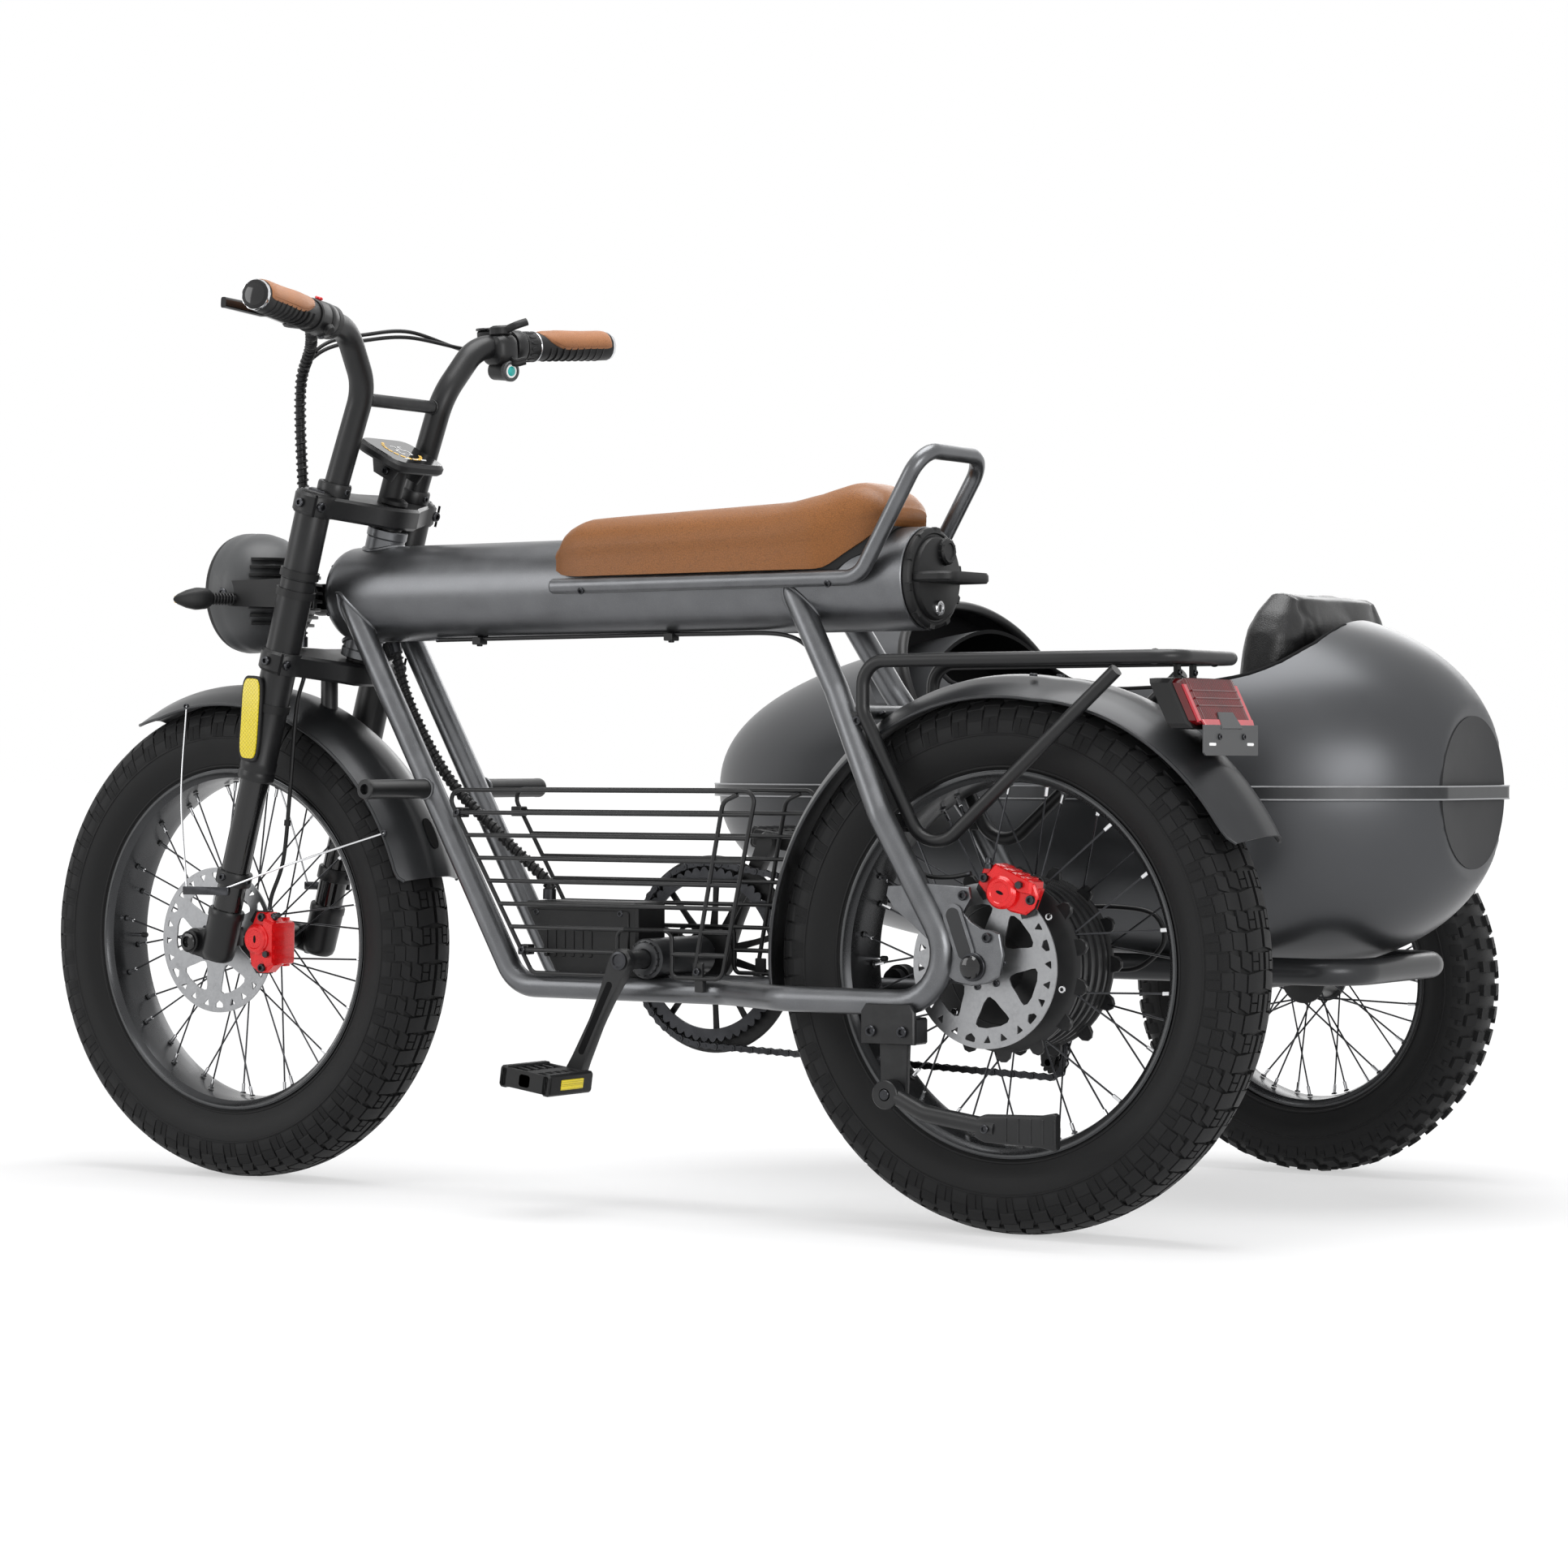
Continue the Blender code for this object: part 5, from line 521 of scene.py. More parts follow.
def make_tyre(name, body, centre, radius, half_width, bead, knobby, node):
    form = Form()
    proud = 0.004 if not knobby else 0.0055
    carcass = tyre_profile(radius, half_width, bead, proud)
    top = tyre_profile(radius, half_width, bead, 0.0)
    around, across = 144, 44
    profile = [carcass(i / across) for i in range(across + 1)]
    inner = [(bead + 0.002, p) for p in (profile[-1][1] * 0.85, profile[0][1] * 0.85)]
    form.lathe(profile + inner, centre, ALONG_Y, around)
    # Two fine moulded ribs on each wall, beside the rim and at the shoulder.
    for share, size in ((0.045, 0.0016), (0.255, 0.0011)):
        for s in (share, 1 - share):
            r, y = carcass(s)
            form.lathe(ellipse(size * 1.1, size, 6, (r, y)), centre, ALONG_Y, around)

    def block(s0, s1, a0, a1, skew=0.0, across_steps=2, around_steps=2, taper=0.0, lift=1.0):
        bottom, upper = [], []
        for j in range(around_steps + 1):
            for i in range(across_steps + 1):
                s = s0 + (s1 - s0) * i / across_steps
                angle = a0 + (a1 - a0) * j / around_steps + skew * (i / across_steps - 0.5)
                for grid, reader, inset in ((bottom, carcass, 0.0), (upper, top, taper)):
                    ss = s + ((s0 + s1) / 2 - s) * inset
                    r, y = reader(ss)
                    if grid is bottom:
                        r -= 0.001
                    else:
                        low_r, low_y = carcass(ss)
                        r, y = low_r + (r - low_r) * lift, low_y + (y - low_y) * lift
                    grid.append(centre + Vector((r * math.cos(angle), y, r * math.sin(angle))))
        n, row = len(bottom), across_steps + 1
        faces = []
        for j in range(around_steps):
            for i in range(across_steps):
                a, b = j * row + i, j * row + i + 1
                c, d = (j + 1) * row + i + 1, (j + 1) * row + i
                faces += [[a, b, c, d], [a + n, d + n, c + n, b + n]]
        rim_loop = list(range(row)) + [row * j + row - 1 for j in range(1, around_steps + 1)]
        rim_loop += [row * around_steps + i for i in range(row - 2, -1, -1)]
        rim_loop += [row * j for j in range(around_steps - 1, 0, -1)]
        for a, b in zip(rim_loop, rim_loop[1:] + rim_loop[:1]):
            faces.append([a, b, b + n, a + n])
        form.add(bottom + upper, faces)

    if knobby:
        count = 52
        pitch = TURN / count
        for i in range(count):
            a = pitch * i
            for mirror in (False, True):
                def put(s0, s1, b0, b1, skew=0.0, **more):
                    if mirror:
                        s0, s1, skew = 1 - s1, 1 - s0, -skew
                    block(s0, s1, a + pitch * b0, a + pitch * b1, skew, 1, 1, 0.08, **more)
                form.paint(1)
                put(0.315, 0.372, 0.1, 0.62, 0.008)
                put(0.345, 0.372, 0.66, 0.86)
                put(0.392, 0.434, 0.32, 0.8, -0.01)
                put(0.45, 0.482, 0.02, 0.48, 0.006)
        form.paint(0)
    else:
        count = 42
        pitch = TURN / count
        for i in range(count):
            a = pitch * i
            for mirror in (False, True):
                def put(s0, s1, b0, b1, skew=0.0, fine=False, **more):
                    form.paint(2 if fine else 1)
                    if mirror:
                        s0, s1, skew = 1 - s1, 1 - s0, -skew
                    block(s0, s1, a + pitch * b0, a + pitch * b1, skew, **more)
                put(0.262, 0.338, 0.03, 0.2, fine=True, lift=0.55)
                put(0.262, 0.338, 0.235, 0.47, fine=True, lift=0.8)
                put(0.345, 0.392, 0.03, 0.47)
                put(0.398, 0.434, 0.03, 0.47, 0.01)
                put(0.44, 0.494, 0.03, 0.47, -0.014)
                put(0.275, 0.322, 0.53, 0.97, lift=0.9)
                put(0.329, 0.372, 0.53, 0.97, fine=True)
                put(0.379, 0.414, 0.56, 0.95, 0.022)
                put(0.42, 0.45, 0.53, 0.95, 0.02)
                put(0.456, 0.474, 0.53, 0.74)
                put(0.456, 0.474, 0.78, 0.97)
                put(0.48, 0.494, 0.56, 0.97)
        form.paint(0)
    return form.make(name, [rubber, tread_rubber, hatch_rubber], body, [node], "tyre_rubber", sharp=30)


make_tyre("rear_tyre_treaded", "rear_wheel", rear_axle, R_TYRE, 0.05, 0.212, False, "rear_tyre")
make_tyre("front_tyre_treaded", "front_wheel", front_axle, R_TYRE, 0.05, 0.212, False, "front_tyre")
make_tyre("sidecar_tyre_knobbed", "sidecar_wheel", side_axle, R_SIDE, 0.048, 0.163, True, "sidecar_tyre")


# Wheels
def make_wheel(name, body, centre, bead, half_width, hub, hub_radius, hub_gap, node, spokes_per_side=18,
               turn=0.0, extra=None, cross=0.36):
    form = Form()
    outer = bead - 0.0004
    w = half_width
    section = [(outer, -w * 0.86), (outer + 0.001, -w), (outer - 0.0035, -w * 1.02),
               (outer - 0.006, -w * 0.93), (outer - 0.01, -w * 0.84), (outer - 0.012, -w * 0.62),
               (outer - 0.0128, -w * 0.35), (outer - 0.013, 0.0)]
    section += [(r, -y) for r, y in section[-2::-1]]
    form.paint(0).lathe(section, centre, ALONG_Y, 128)
    for side in (-1, 1):
        form.paint(5).lathe(ellipse(0.0016, 0.0011, 8, (outer - 0.0018, side * w * 1.01)), centre, ALONG_Y,
                            128)
    form.paint(1).lathe(hub, centre, ALONG_Y, 64)
    inner_rim = outer - 0.0128
    for side in (-1, 1):
        for i in range(spokes_per_side):
            lead = 1 if i % 2 else -1
            angle = TURN * (i + (0.25 if side > 0 else 0.75)) / spokes_per_side + turn
            there = direction(angle)
            rim_y = side * w * 0.3
            outer_spot = centre + there * (inner_rim - 0.001) + ALONG_Y * rim_y
            lean = angle + lead * cross
            inner_spot = centre + direction(lean) * (hub_radius - 0.004) + ALONG_Y * (side * hub_gap)
            way = (outer_spot - inner_spot).normalized()
            form.paint(2).tube([inner_spot, outer_spot], 0.00115, 6, caps=False)
            form.paint(2).ball(inner_spot - way * 0.001, 0.0022, ALONG_Y, 8, 0.7, 4)
            form.paint(3).rod(outer_spot - way * 0.013, outer_spot, 0.0021, 8, 0.0004)
            form.paint(0).lathe([(0, -0.0005), (0.0038, -0.0002), (0.0032, 0.0016), (0, 0.0022)],
                                outer_spot - there * 0.0006, -there, 10, closed=False)
    if extra:
        extra(form)
    form.paint(3).rod(centre + ALONG_X * (inner_rim + 0.002), centre + ALONG_X * (inner_rim - 0.02), 0.0024,
                      10, 0.0005)
    form.paint(4).rod(centre + ALONG_X * (inner_rim - 0.018), centre + ALONG_X * (inner_rim - 0.026), 0.0033,
                      10, 0.0008)
    return form.make(name, [rim_paint, black, dark_steel, chrome, plastic, grey_plastic], body, [node],
                     "black_paint", sharp=32)


axle_r, boss_r = 0.006, 0.032
bore = axle_r + 0.0008


def motor_extra(form):
    """The motor's split ring with its teeth, the cover's screws and the cover's ribs."""
    for side in (-1, 1):
        for i in range(14):
            angle = TURN * (i + 0.5 * (side > 0)) / 14
            way = direction(angle)
            spot = rear_axle + way * 0.0985 + ALONG_Y * (side * 0.0365)
            across = ALONG_Y.cross(way).normalized()
            form.paint(1).slab([(-0.011, -0.01), (0.011, -0.01), (0.008, 0.004), (0.003, 0.0085),
                                (-0.003, 0.0085), (-0.008, 0.004)], 0.0055, spot, across, way, 0.0012)
    for i in range(6):
        spot = rear_axle + direction(TURN * (i + 0.3) / 6) * 0.08
        for side in (1, -1):
            form.paint(3).bolt(spot + ALONG_Y * (side * 0.04), ALONG_Y * side, 0.0042, 0.0035)
    for r in (0.066, 0.052):
        form.paint(1).lathe(ellipse(0.0016, 0.0016, 8, (r, 0.0415)), rear_axle, ALONG_Y, 72)
    for y in (-0.024, -0.008, 0.008, 0.024):
        form.paint(1).lathe([(0.0905, y - 0.003), (0.0945, y - 0.002), (0.0945, y + 0.002),
                             (0.0905, y + 0.003)], rear_axle, ALONG_Y, 72)


disc_side = REAR_DISC_Y - DISC_HALF - JOIN_GAP
rear_hub = [(bore, -0.0727), (0.0198, -0.0727), (0.0198, -0.048), (0.04, -0.044), (0.088, -0.0415),
            (0.0965, -0.038), (0.0965, -0.0345), (0.092, -0.033), (0.092, 0.033), (0.0965, 0.0345),
            (0.0965, 0.038), (0.088, 0.0415), (0.045, 0.044), (boss_r, 0.048), (boss_r, disc_side),
            (bore, disc_side)]
make_wheel("rear_wheel_laced", "rear_wheel", rear_axle, 0.212, 0.037, rear_hub, 0.1, 0.036,
           "rear_wheel_motor", 18, 0.05, motor_extra, cross=0.16)
front_hub = [(bore, -0.0842), (0.0144, -0.0842), (0.015, -0.04), (0.034, -0.0325), (0.034, -0.028),
             (0.024, -0.025), (0.021, 0.0), (0.024, 0.025), (0.034, 0.028), (0.034, 0.0325), (0.024, 0.04),
             (0.024, 0.0587), (bore, 0.0587)]
make_wheel("front_wheel_laced", "front_wheel", front_axle, 0.212, 0.037, front_hub, 0.034, 0.03,
           "front_wheel", 18, 0.02, cross=0.75)
side_hub = [(bore, -0.038), (0.0156, -0.038), (0.03, -0.032), (0.03, -0.028), (0.026, -0.0255),
            (0.0235, 0.0), (0.026, 0.0255), (0.03, 0.028), (0.03, 0.032), (0.0156, 0.038), (bore, 0.038)]
make_wheel("sidecar_wheel_laced", "sidecar_wheel", side_axle, 0.163, 0.028, side_hub, 0.03, 0.03,
           "sidecar_wheel", 18, 0.1, cross=0.8)


# Brake discs
def make_disc(name, body, centre, y, node, turn):
    """A ground disc: slotted rim, round-ended arms and a bolted carrier."""
    form = Form()
    outer, hub_inner, half, arms = 0.09, 0.0108, DISC_HALF, 6

    def flat_cut(outlines):
        """The flat sheet between the outlines, filled by a curve."""
        curve = bpy.data.curves.new(name + "_flat", "CURVE")
        curve.dimensions = "2D"
        curve.fill_mode = "BOTH"
        curve.extrude = half
        for outline in outlines:
            spline = curve.splines.new("POLY")
            spline.points.add(len(outline) - 1)
            for point, (a, b) in zip(spline.points, outline):
                point.co = (a, b, 0, 1)
            spline.use_cyclic_u = True
        thing = bpy.data.objects.new(name + "_flat", curve)
        bpy.context.scene.collection.objects.link(thing)
        mesh = bpy.data.meshes.new_from_object(thing.evaluated_get(bpy.context.evaluated_depsgraph_get()))
        points = [Vector((v.co.x, v.co.z, v.co.y)) + centre + ALONG_Y * y for v in mesh.vertices]
        faces = [list(p.vertices) for p in mesh.polygons]
        bpy.data.objects.remove(thing)
        bpy.data.curves.remove(curve)
        bpy.data.meshes.remove(mesh)
        form.add(points, faces)

    holes = []
    for i in range(arms):
        a = TURN * i / arms + turn
        # The big window between two arms: a rounded triangle that widens outward.
        window = [(0.034, 0.05), (0.04, 0.19), (0.05, 0.27), (0.059, 0.33), (0.064, 0.34), (0.0668, 0.28),
                  (0.0675, 0.14)]
        loop = [(r * math.cos(a + s), r * math.sin(a + s)) for r, s in window]
        loop += [(r * math.cos(a - s), r * math.sin(a - s)) for r, s in reversed(window)]
        holes.append(loop)
    for i in range(arms * 4):
        a = TURN * (i + 0.5) / (arms * 4) + turn
        flip = 1 if i % 2 else -1
        big = i % 4 == 1
        pts = [(0.0835, -0.058), (0.0835, 0.058), (0.0745, 0.02 * flip)] if not big else \
            [(0.084, -0.075), (0.084, 0.075), (0.079, 0.075), (0.0745, 0.0), (0.079, -0.075)]
        loop = []
        for (r0, s0), (r1, s1) in zip(pts, pts[1:] + pts[:1]):
            for t in (0.12, 0.5, 0.88):
                r, s = r0 + (r1 - r0) * t, s0 + (s1 - s0) * t
                loop.append((r * math.cos(a + s), r * math.sin(a + s)))
        holes.append(loop)
    flat_cut([ellipse(outer, outer, 144), ellipse(hub_inner, hub_inner, 60)] + holes)
    form.paint(1)
    for i in range(6):
        spot = centre + direction(TURN * (i + 0.5) / 6 + turn) * 0.024 + ALONG_Y * (y + half)
        form.bolt(spot, ALONG_Y, 0.0038, 0.0022)
    form.paint(2).lathe([(hub_inner + 0.001, half + 0.0001), (0.018, half + 0.0001), (0.0165, half + 0.0022),
                         (hub_inner + 0.002, half + 0.0022)], centre + ALONG_Y * y, ALONG_Y, 48)
    return form.make(name, [steel, dark_steel, black], body, [node], "steel", sharp=30)


make_disc("rear_disc_slotted", "rear_wheel", rear_axle, REAR_DISC_Y, "rear_brake_disc", 0.35)
make_disc("front_disc_slotted", "front_wheel", front_axle, FRONT_DISC_Y, "front_brake_disc", 0.1)


# Main tube, head tube and battery cap
def make_main_tube():
    form = Form()
    length, nose = 0.956 - 0.12, 0.024
    profile = [(0, length), (main_r - nose, length)]
    profile += arc(nose, 90, -90, 8, (main_r - nose, length - nose))[1:]
    profile += [(main_r, length * 0.5), (main_r, 0.0012), (main_r - 0.001, 0.0), (main_r - 0.003, 0.0),
                (main_r - 0.003, length - nose), (0, length - 0.003)]
    form.lathe(profile, Vector((0.12, 0, main_z)), ALONG_X, 96, closed=False)
    low, high = -0.08, 0.083
    form.lathe([(0.0175, low), (0.0235, low), (0.0248, low + 0.001), (0.0248, low + 0.01),
                (0.0235, low + 0.012), (0.0235, high - 0.012), (0.0248, high - 0.01), (0.0248, high - 0.001),
                (0.0235, high), (0.0175, high)], steer_base, steer_up, 64)
    # Weld beads where the head tube passes through the big tube, and two rivets at its nose.
    for sign in (-1, 1):
        ring = []
        first, second = basis(steer_up)
        for k in range(48):
            angle = TURN * k / 48
            spot = steer_base + (first * math.cos(angle) + second * math.sin(angle)) * 0.024
            reach = math.sqrt(main_r ** 2 - spot.y ** 2)
            lift = (main_z + sign * reach - spot.z) / steer_up.z
            ring.append(spot + steer_up * lift)
        form.tube(ring, 0.0026, 8, ring=True)
    for x, degrees in ((0.945, 40), (0.948, -28)):
        a = math.radians(degrees)
        out = Vector((0.15, math.cos(a), math.sin(a))).normalized()
        spot = Vector((x, (main_r - 0.006) * math.cos(a), main_z + (main_r - 0.006) * math.sin(a)))
        form.paint(1).ball(spot, 0.0026, out, 12)
    # Two cable clips under the tube.
    for x in (0.735, 0.455):
        form.paint(2).box((x - 0.006, 0.012, 0.6595), (x + 0.006, 0.028, 0.6685), 0.001)
        form.paint(2).bolt(Vector((x, 0.02, 0.66)), -ALONG_Z, 0.0035, 0.0025)
    form.make("main_tube_welded", [graphite, dark_steel, plastic], "frame", ["main_tube"], "graphite_paint",
              sharp=32)

    cap = Form()
    rear = 0.1197
    cap.lathe([(0, 0), (0.0551, 0), (0.0565, -0.002), (0.0565, -0.007), (0.0548, -0.009), (0.052, -0.0105),
               (0.0505, -0.0105), (0.049, -0.0092), (0.047, -0.0092), (0.0455, -0.015), (0.044, -0.0158),
               (0, -0.0158)], Vector((rear, 0, main_z)), ALONG_X, 72, closed=False)
    for i in range(10):
        a = math.radians(24 + 36 * i)
        way = Vector((0, math.cos(a), math.sin(a)))
        across = ALONG_X.cross(way)
        cap.slab([(-0.0055, -0.0035), (0.0055, -0.0035), (0.0042, 0.002), (-0.0042, 0.002)], 0.007,
                 Vector((rear - 0.007, 0, main_z)) + way * 0.0552, across, way, 0.0008)
    cap.lathe([(0, 0), (0.015, 0), (0.015, -0.005), (0.0125, -0.0072), (0.0095, -0.0072), (0.0088, -0.0058),
               (0, -0.0058)], Vector((rear - 0.015, -0.012, main_z + 0.03)), ALONG_X, 40, closed=False)
    for foot, tip in zip(ellipse(0.0148, 0.0148, 12), ellipse(0.0132, 0.0132, 12)):
        cap.rod(Vector((rear - 0.015, foot[0] - 0.012, main_z + 0.03 + foot[1])),
                Vector((rear - 0.0212, tip[0] - 0.012, main_z + 0.03 + tip[1])), 0.0012, 6)
    # The carrying handle: a flat loop with rounded corners.
    outline = [(rear - 0.01, -0.0485), (rear - 0.01, 0.0485)]
    outline += arc(0.018, 90, 90, 6, (rear - 0.04, 0.0305)) + arc(0.018, 180, 90, 6, (rear - 0.04, -0.0305))
    cap.slab(outline, 0.0115, Vector((0, 0, main_z)), ALONG_X, ALONG_Y, 0.0028)
    cap.paint(1).lathe([(0, 0), (0.0088, 0), (0.0088, -0.0035), (0.0078, -0.0048), (0.0058, -0.0048),
                        (0.0054, -0.0038), (0, -0.0038)], Vector((rear - 0.015, 0.004, main_z - 0.0335)),
                       ALONG_X, 32, closed=False)
    cap.paint(2).box((rear - 0.0197, 0.0032, main_z - 0.0375), (rear - 0.018, 0.0048, main_z - 0.0295),
                     0.0003)
    cap.make("battery_cap_knobbed", [plastic, chrome, gloss_black], "frame", ["battery_cap"], "black_paint")


make_main_tube()


# Frame loops
LOW_Z, LOOP_Y, REAR_Y, TUBE_R = 0.256, 0.044, 0.1, 0.0143
loop_top = main_z - 0.01


def stay_point(height, y):
    share = (height - LOW_Z) / (main_z - LOW_Z)
    return Vector((-0.003 + 0.279 * share, y, height))


def loop_path(side, steps=10):
    points = [Vector((0.916, side * LOOP_Y, loop_top)), Vector((0.66, side * LOOP_Y, LOW_Z)),
              Vector((0.36, side * LOOP_Y, LOW_Z)), Vector((0.25, side * REAR_Y, LOW_Z)),
              Vector((-0.003, side * REAR_Y, LOW_Z)), stay_point(0.46, side * REAR_Y),
              stay_point(0.6, side * 0.06), stay_point(loop_top, side * LOOP_Y)]
    return rounded(points, [0.045, 0.06, 0.06, 0.056, 0.06, 0.06], steps)


def weld_ring(form, spot, axis, radius, size=0.0022, steps=32):
    first, second = basis(axis)
    ring = [spot + (first * math.cos(TURN * k / steps) + second * math.sin(TURN * k / steps)) * radius
            for k in range(steps)]
    return form.tube(ring, size, 8, ring=True)


def make_loop(side, node):
    form = Form()
    path = loop_path(side)
    form.tube(path, TUBE_R, 28)
    # Fish-mouth welds where the tube meets the big tube.
    for end, other in ((path[0], path[1]), (path[-1], path[-2])):
        way = (other - end).normalized()
        first, second = basis(way)
        ring = []
        for k in range(36):
            arm = (first * math.cos(TURN * k / 36) + second * math.sin(TURN * k / 36)) * TUBE_R
            spot = end + arm
            # Slide along the tube until it meets the big tube's skin.
            a = way.y ** 2 + way.z ** 2
            dy, dz = spot.y, spot.z - main_z
            b = 2 * (dy * way.y + dz * way.z)
            c = dy ** 2 + dz ** 2 - main_r ** 2
            root = b * b - 4 * a * c
            t = (-b + math.sqrt(max(0.0, root))) / (2 * a)
            ring.append(spot + way * t)
        form.tube(ring, 0.0021, 8, ring=True)
    # Dropout plate with its raised slot, bolts and the axle's boss.
    y = side * REAR_Y
    shares = [(-0.3, -0.1), (-0.17, -0.2), (0.02, -0.24), (0.2, -0.2), (0.34, -0.1), (0.44, 0.12),
              (0.5, 0.3), (0.7, 0.5), (0.93, 0.72), (1.02, 0.88), (1.0, 1.0), (0.52, 1.04), (0.05, 1.0),
              (0.03, 0.86), (0.12, 0.68), (0.02, 0.56), (-0.1, 0.48), (-0.22, 0.46), (-0.3, 0.42),
              (-0.34, 0.16)]
    outline = [(a * 0.118 * 0.92, b * 0.086) for a, b in shares]
    form.slab(outline, 0.006, rear_axle + ALONG_Y * y, ALONG_X, ALONG_Z, 0.0012)
    face = y + side * 0.003
    slot_way = Vector((0.016, 0, 0.044)).normalized()
    for size, lift, paint in ((0.0125, 0.0022, 0), (0.0082, 0.0026, 3)):
        centre_a = rear_axle + Vector((0.01, 0, 0.016)) + ALONG_Y * face
        centre_b = centre_a + slot_way * 0.042
        out = []
        for a, b in ellipse(size, size, 24):
            out.append((centre_b if a > 0 else centre_a) + slot_way * a + ALONG_Y.cross(slot_way) * b)
        form.paint(paint).loft([out, [p + ALONG_Y * (side * lift) for p in out]])
    for dx, dz in ((0.012, 0.077), (-0.018, 0.032)):
        form.paint(1).bolt(rear_axle + Vector((dx, 0, dz)) + ALONG_Y * face, ALONG_Y * side, 0.0055, 0.0042)
    # Foot peg with its ribbed end.
    share = (0.487 - LOW_Z) / (loop_top - LOW_Z)
    peg_x = 0.66 + 0.256 * share
    root = Vector((peg_x, side * (LOOP_Y + 0.005), 0.487))
    form.paint(2).lathe([(0, 0), (0.0115, 0), (0.0115, 0.112), (0.0118, 0.114), (0.0118, 0.1205),
                         (0.0105, 0.1218), (0.0062, 0.1218), (0.0056, 0.115), (0, 0.115)], root,
                        ALONG_Y * side, 40, closed=False)
    form.paint(0)
    weld_ring(form, Vector((peg_x, side * (LOOP_Y + TUBE_R - 0.0006), 0.487)), ALONG_Y, 0.0118, 0.0018)
    if side > 0:
        # Two bridges in front of the rear fender, and a screw on the left stay.
        reach = FENDER_R + JOIN_GAP + 0.008
        drop = R_TYRE - LOW_Z
        upper = rear_axle + direction(math.radians(58)) * reach
        lower = Vector((math.sqrt(reach ** 2 - drop ** 2), 0, LOW_Z))
        for spot, half in ((upper, 0.058), (lower, 0.062)):
            form.rod(spot - ALONG_Y * half, spot + ALONG_Y * half, 0.008, 24)
        form.paint(2).bolt(stay_point(0.545, 0.0715) + ALONG_Y * 0.013, ALONG_Y, 0.0045, 0.003)
    form.make(node + "_welded", [graphite, dark_steel, black, disc_paint], "frame", [node], "graphite_paint",
              sharp=38)


make_loop(1, "frame_loop_left")
make_loop(-1, "frame_loop_right")


def make_rail():
    form = Form()
    y, z, top = main_r + 0.009 + JOIN_GAP, main_z, 0.862
    points = [Vector((0.589, y, z)), Vector((0.168, y, z)), Vector((0.086, y, top)),
              Vector((0.086, -y, top)), Vector((0.168, -y, z)), Vector((0.589, -y, z))]
    form.tube(rounded(points, [0.03] * 4, 12), 0.009, 28)
    for side in (-1, 1):
        form.paint(1)
        for x in (0.545, 0.205):
            form.bolt(Vector((x, side * (y + 0.006), z - 0.006)), Vector((0, side, -0.4)), 0.0042, 0.003)
        form.paint(0).ball(Vector((0.589, side * y, z)), 0.009, ALONG_X, 24, 0.5)
    form.make("seat_rail_smooth", [graphite, dark_steel], "frame", ["seat_rail"], "graphite_paint", sharp=40)


make_rail()


# Saddle
def make_saddle():
    floor, length = 0.7333, 0.493
    rise = 0.809 - floor
    rows = [(0.09, 0.74, 0.92, 0.5), (0.1, 0.66, 1.04, 0.61), (0.12, 0.55, 1.17, 0.69),
            (0.148, 0.42, 1.26, 0.75), (0.185, 0.27, 1.31, 0.8), (0.235, 0.06, 1.24, 0.9),
            (0.27, 0.02, 1.17, 0.96), (0.36, 0.02, 1.06, 1.0), (0.65, 0.02, 0.99, 1.0),
            (0.925, 0.02, 0.93, 0.97), (0.975, 0.05, 0.8, 0.9), (1.0, 0.12, 0.55, 0.82)]
    form = Form()
    shares = [0.09, 0.092, 0.096, 0.102, 0.109] + [0.118 + 0.832 * i / 54 for i in range(55)]
    shares += [0.965, 0.978, 0.988, 0.995, 1.0]
    around, under = 44, 12
    sections, base = [], []
    for share in shares:
        low, high, wide = blended(rows, share)
        x = 0.099 + length * share
        bottom, top = floor + rise * max(0.02, low), floor + rise * high
        half = 0.075 * wide
        crown = 1 + 0.01 * math.sin(math.pi * share)
        ring = []
        for k in range(around + 1):
            angle = math.pi * k / around
            c, s = math.cos(angle), math.sin(angle)
            y = half * math.copysign(abs(c) ** 0.54, c)
            height = abs(s) ** 0.49
            z = bottom + (top - bottom) * crown * height
            # The lower side panel lies a little deeper, with a soft crease above it.
            y *= 1 - 0.036 / (1 + math.exp((height - 0.42) * 55))
            ring.append(Vector((x, y, z)))
        room = main_r + 0.0008
        for k in range(1, under):
            t = k / under
            y = -half * 0.985 + 2 * half * 0.985 * t
            z = bottom
            if abs(y) < room:
                z = max(bottom, main_z + math.sqrt(room ** 2 - y ** 2))
            ring.append(Vector((x, y, min(z, top - 0.004))))
        sections.append(ring)
        # The black base under the tail: a moulding whose near-black also serves as painted shade in the
        # hollow there.
        if 0.1 < share < 0.3:
            wide_base, deep, high_base = half * 0.92, floor + 0.001, min(bottom + 0.01, top - 0.006)
            ring = [Vector((x, wide_base * (1 - k / 6), high_base)) for k in range(13)]
            for k in range(13):
                y = wide_base * (k / 6 - 1)
                z = deep
                if abs(y) < room:
                    z = max(deep, main_z + math.sqrt(room ** 2 - y ** 2))
                ring.append(Vector((x, y, min(z, high_base - 0.001))))
            base.append(ring)
    form.loft(sections)
    form.paint(1).loft(base)
    seat = form.make("saddle_moulded", [tan, plastic], "frame", ["seat"], "brown_leather", sharp=55)


make_saddle()


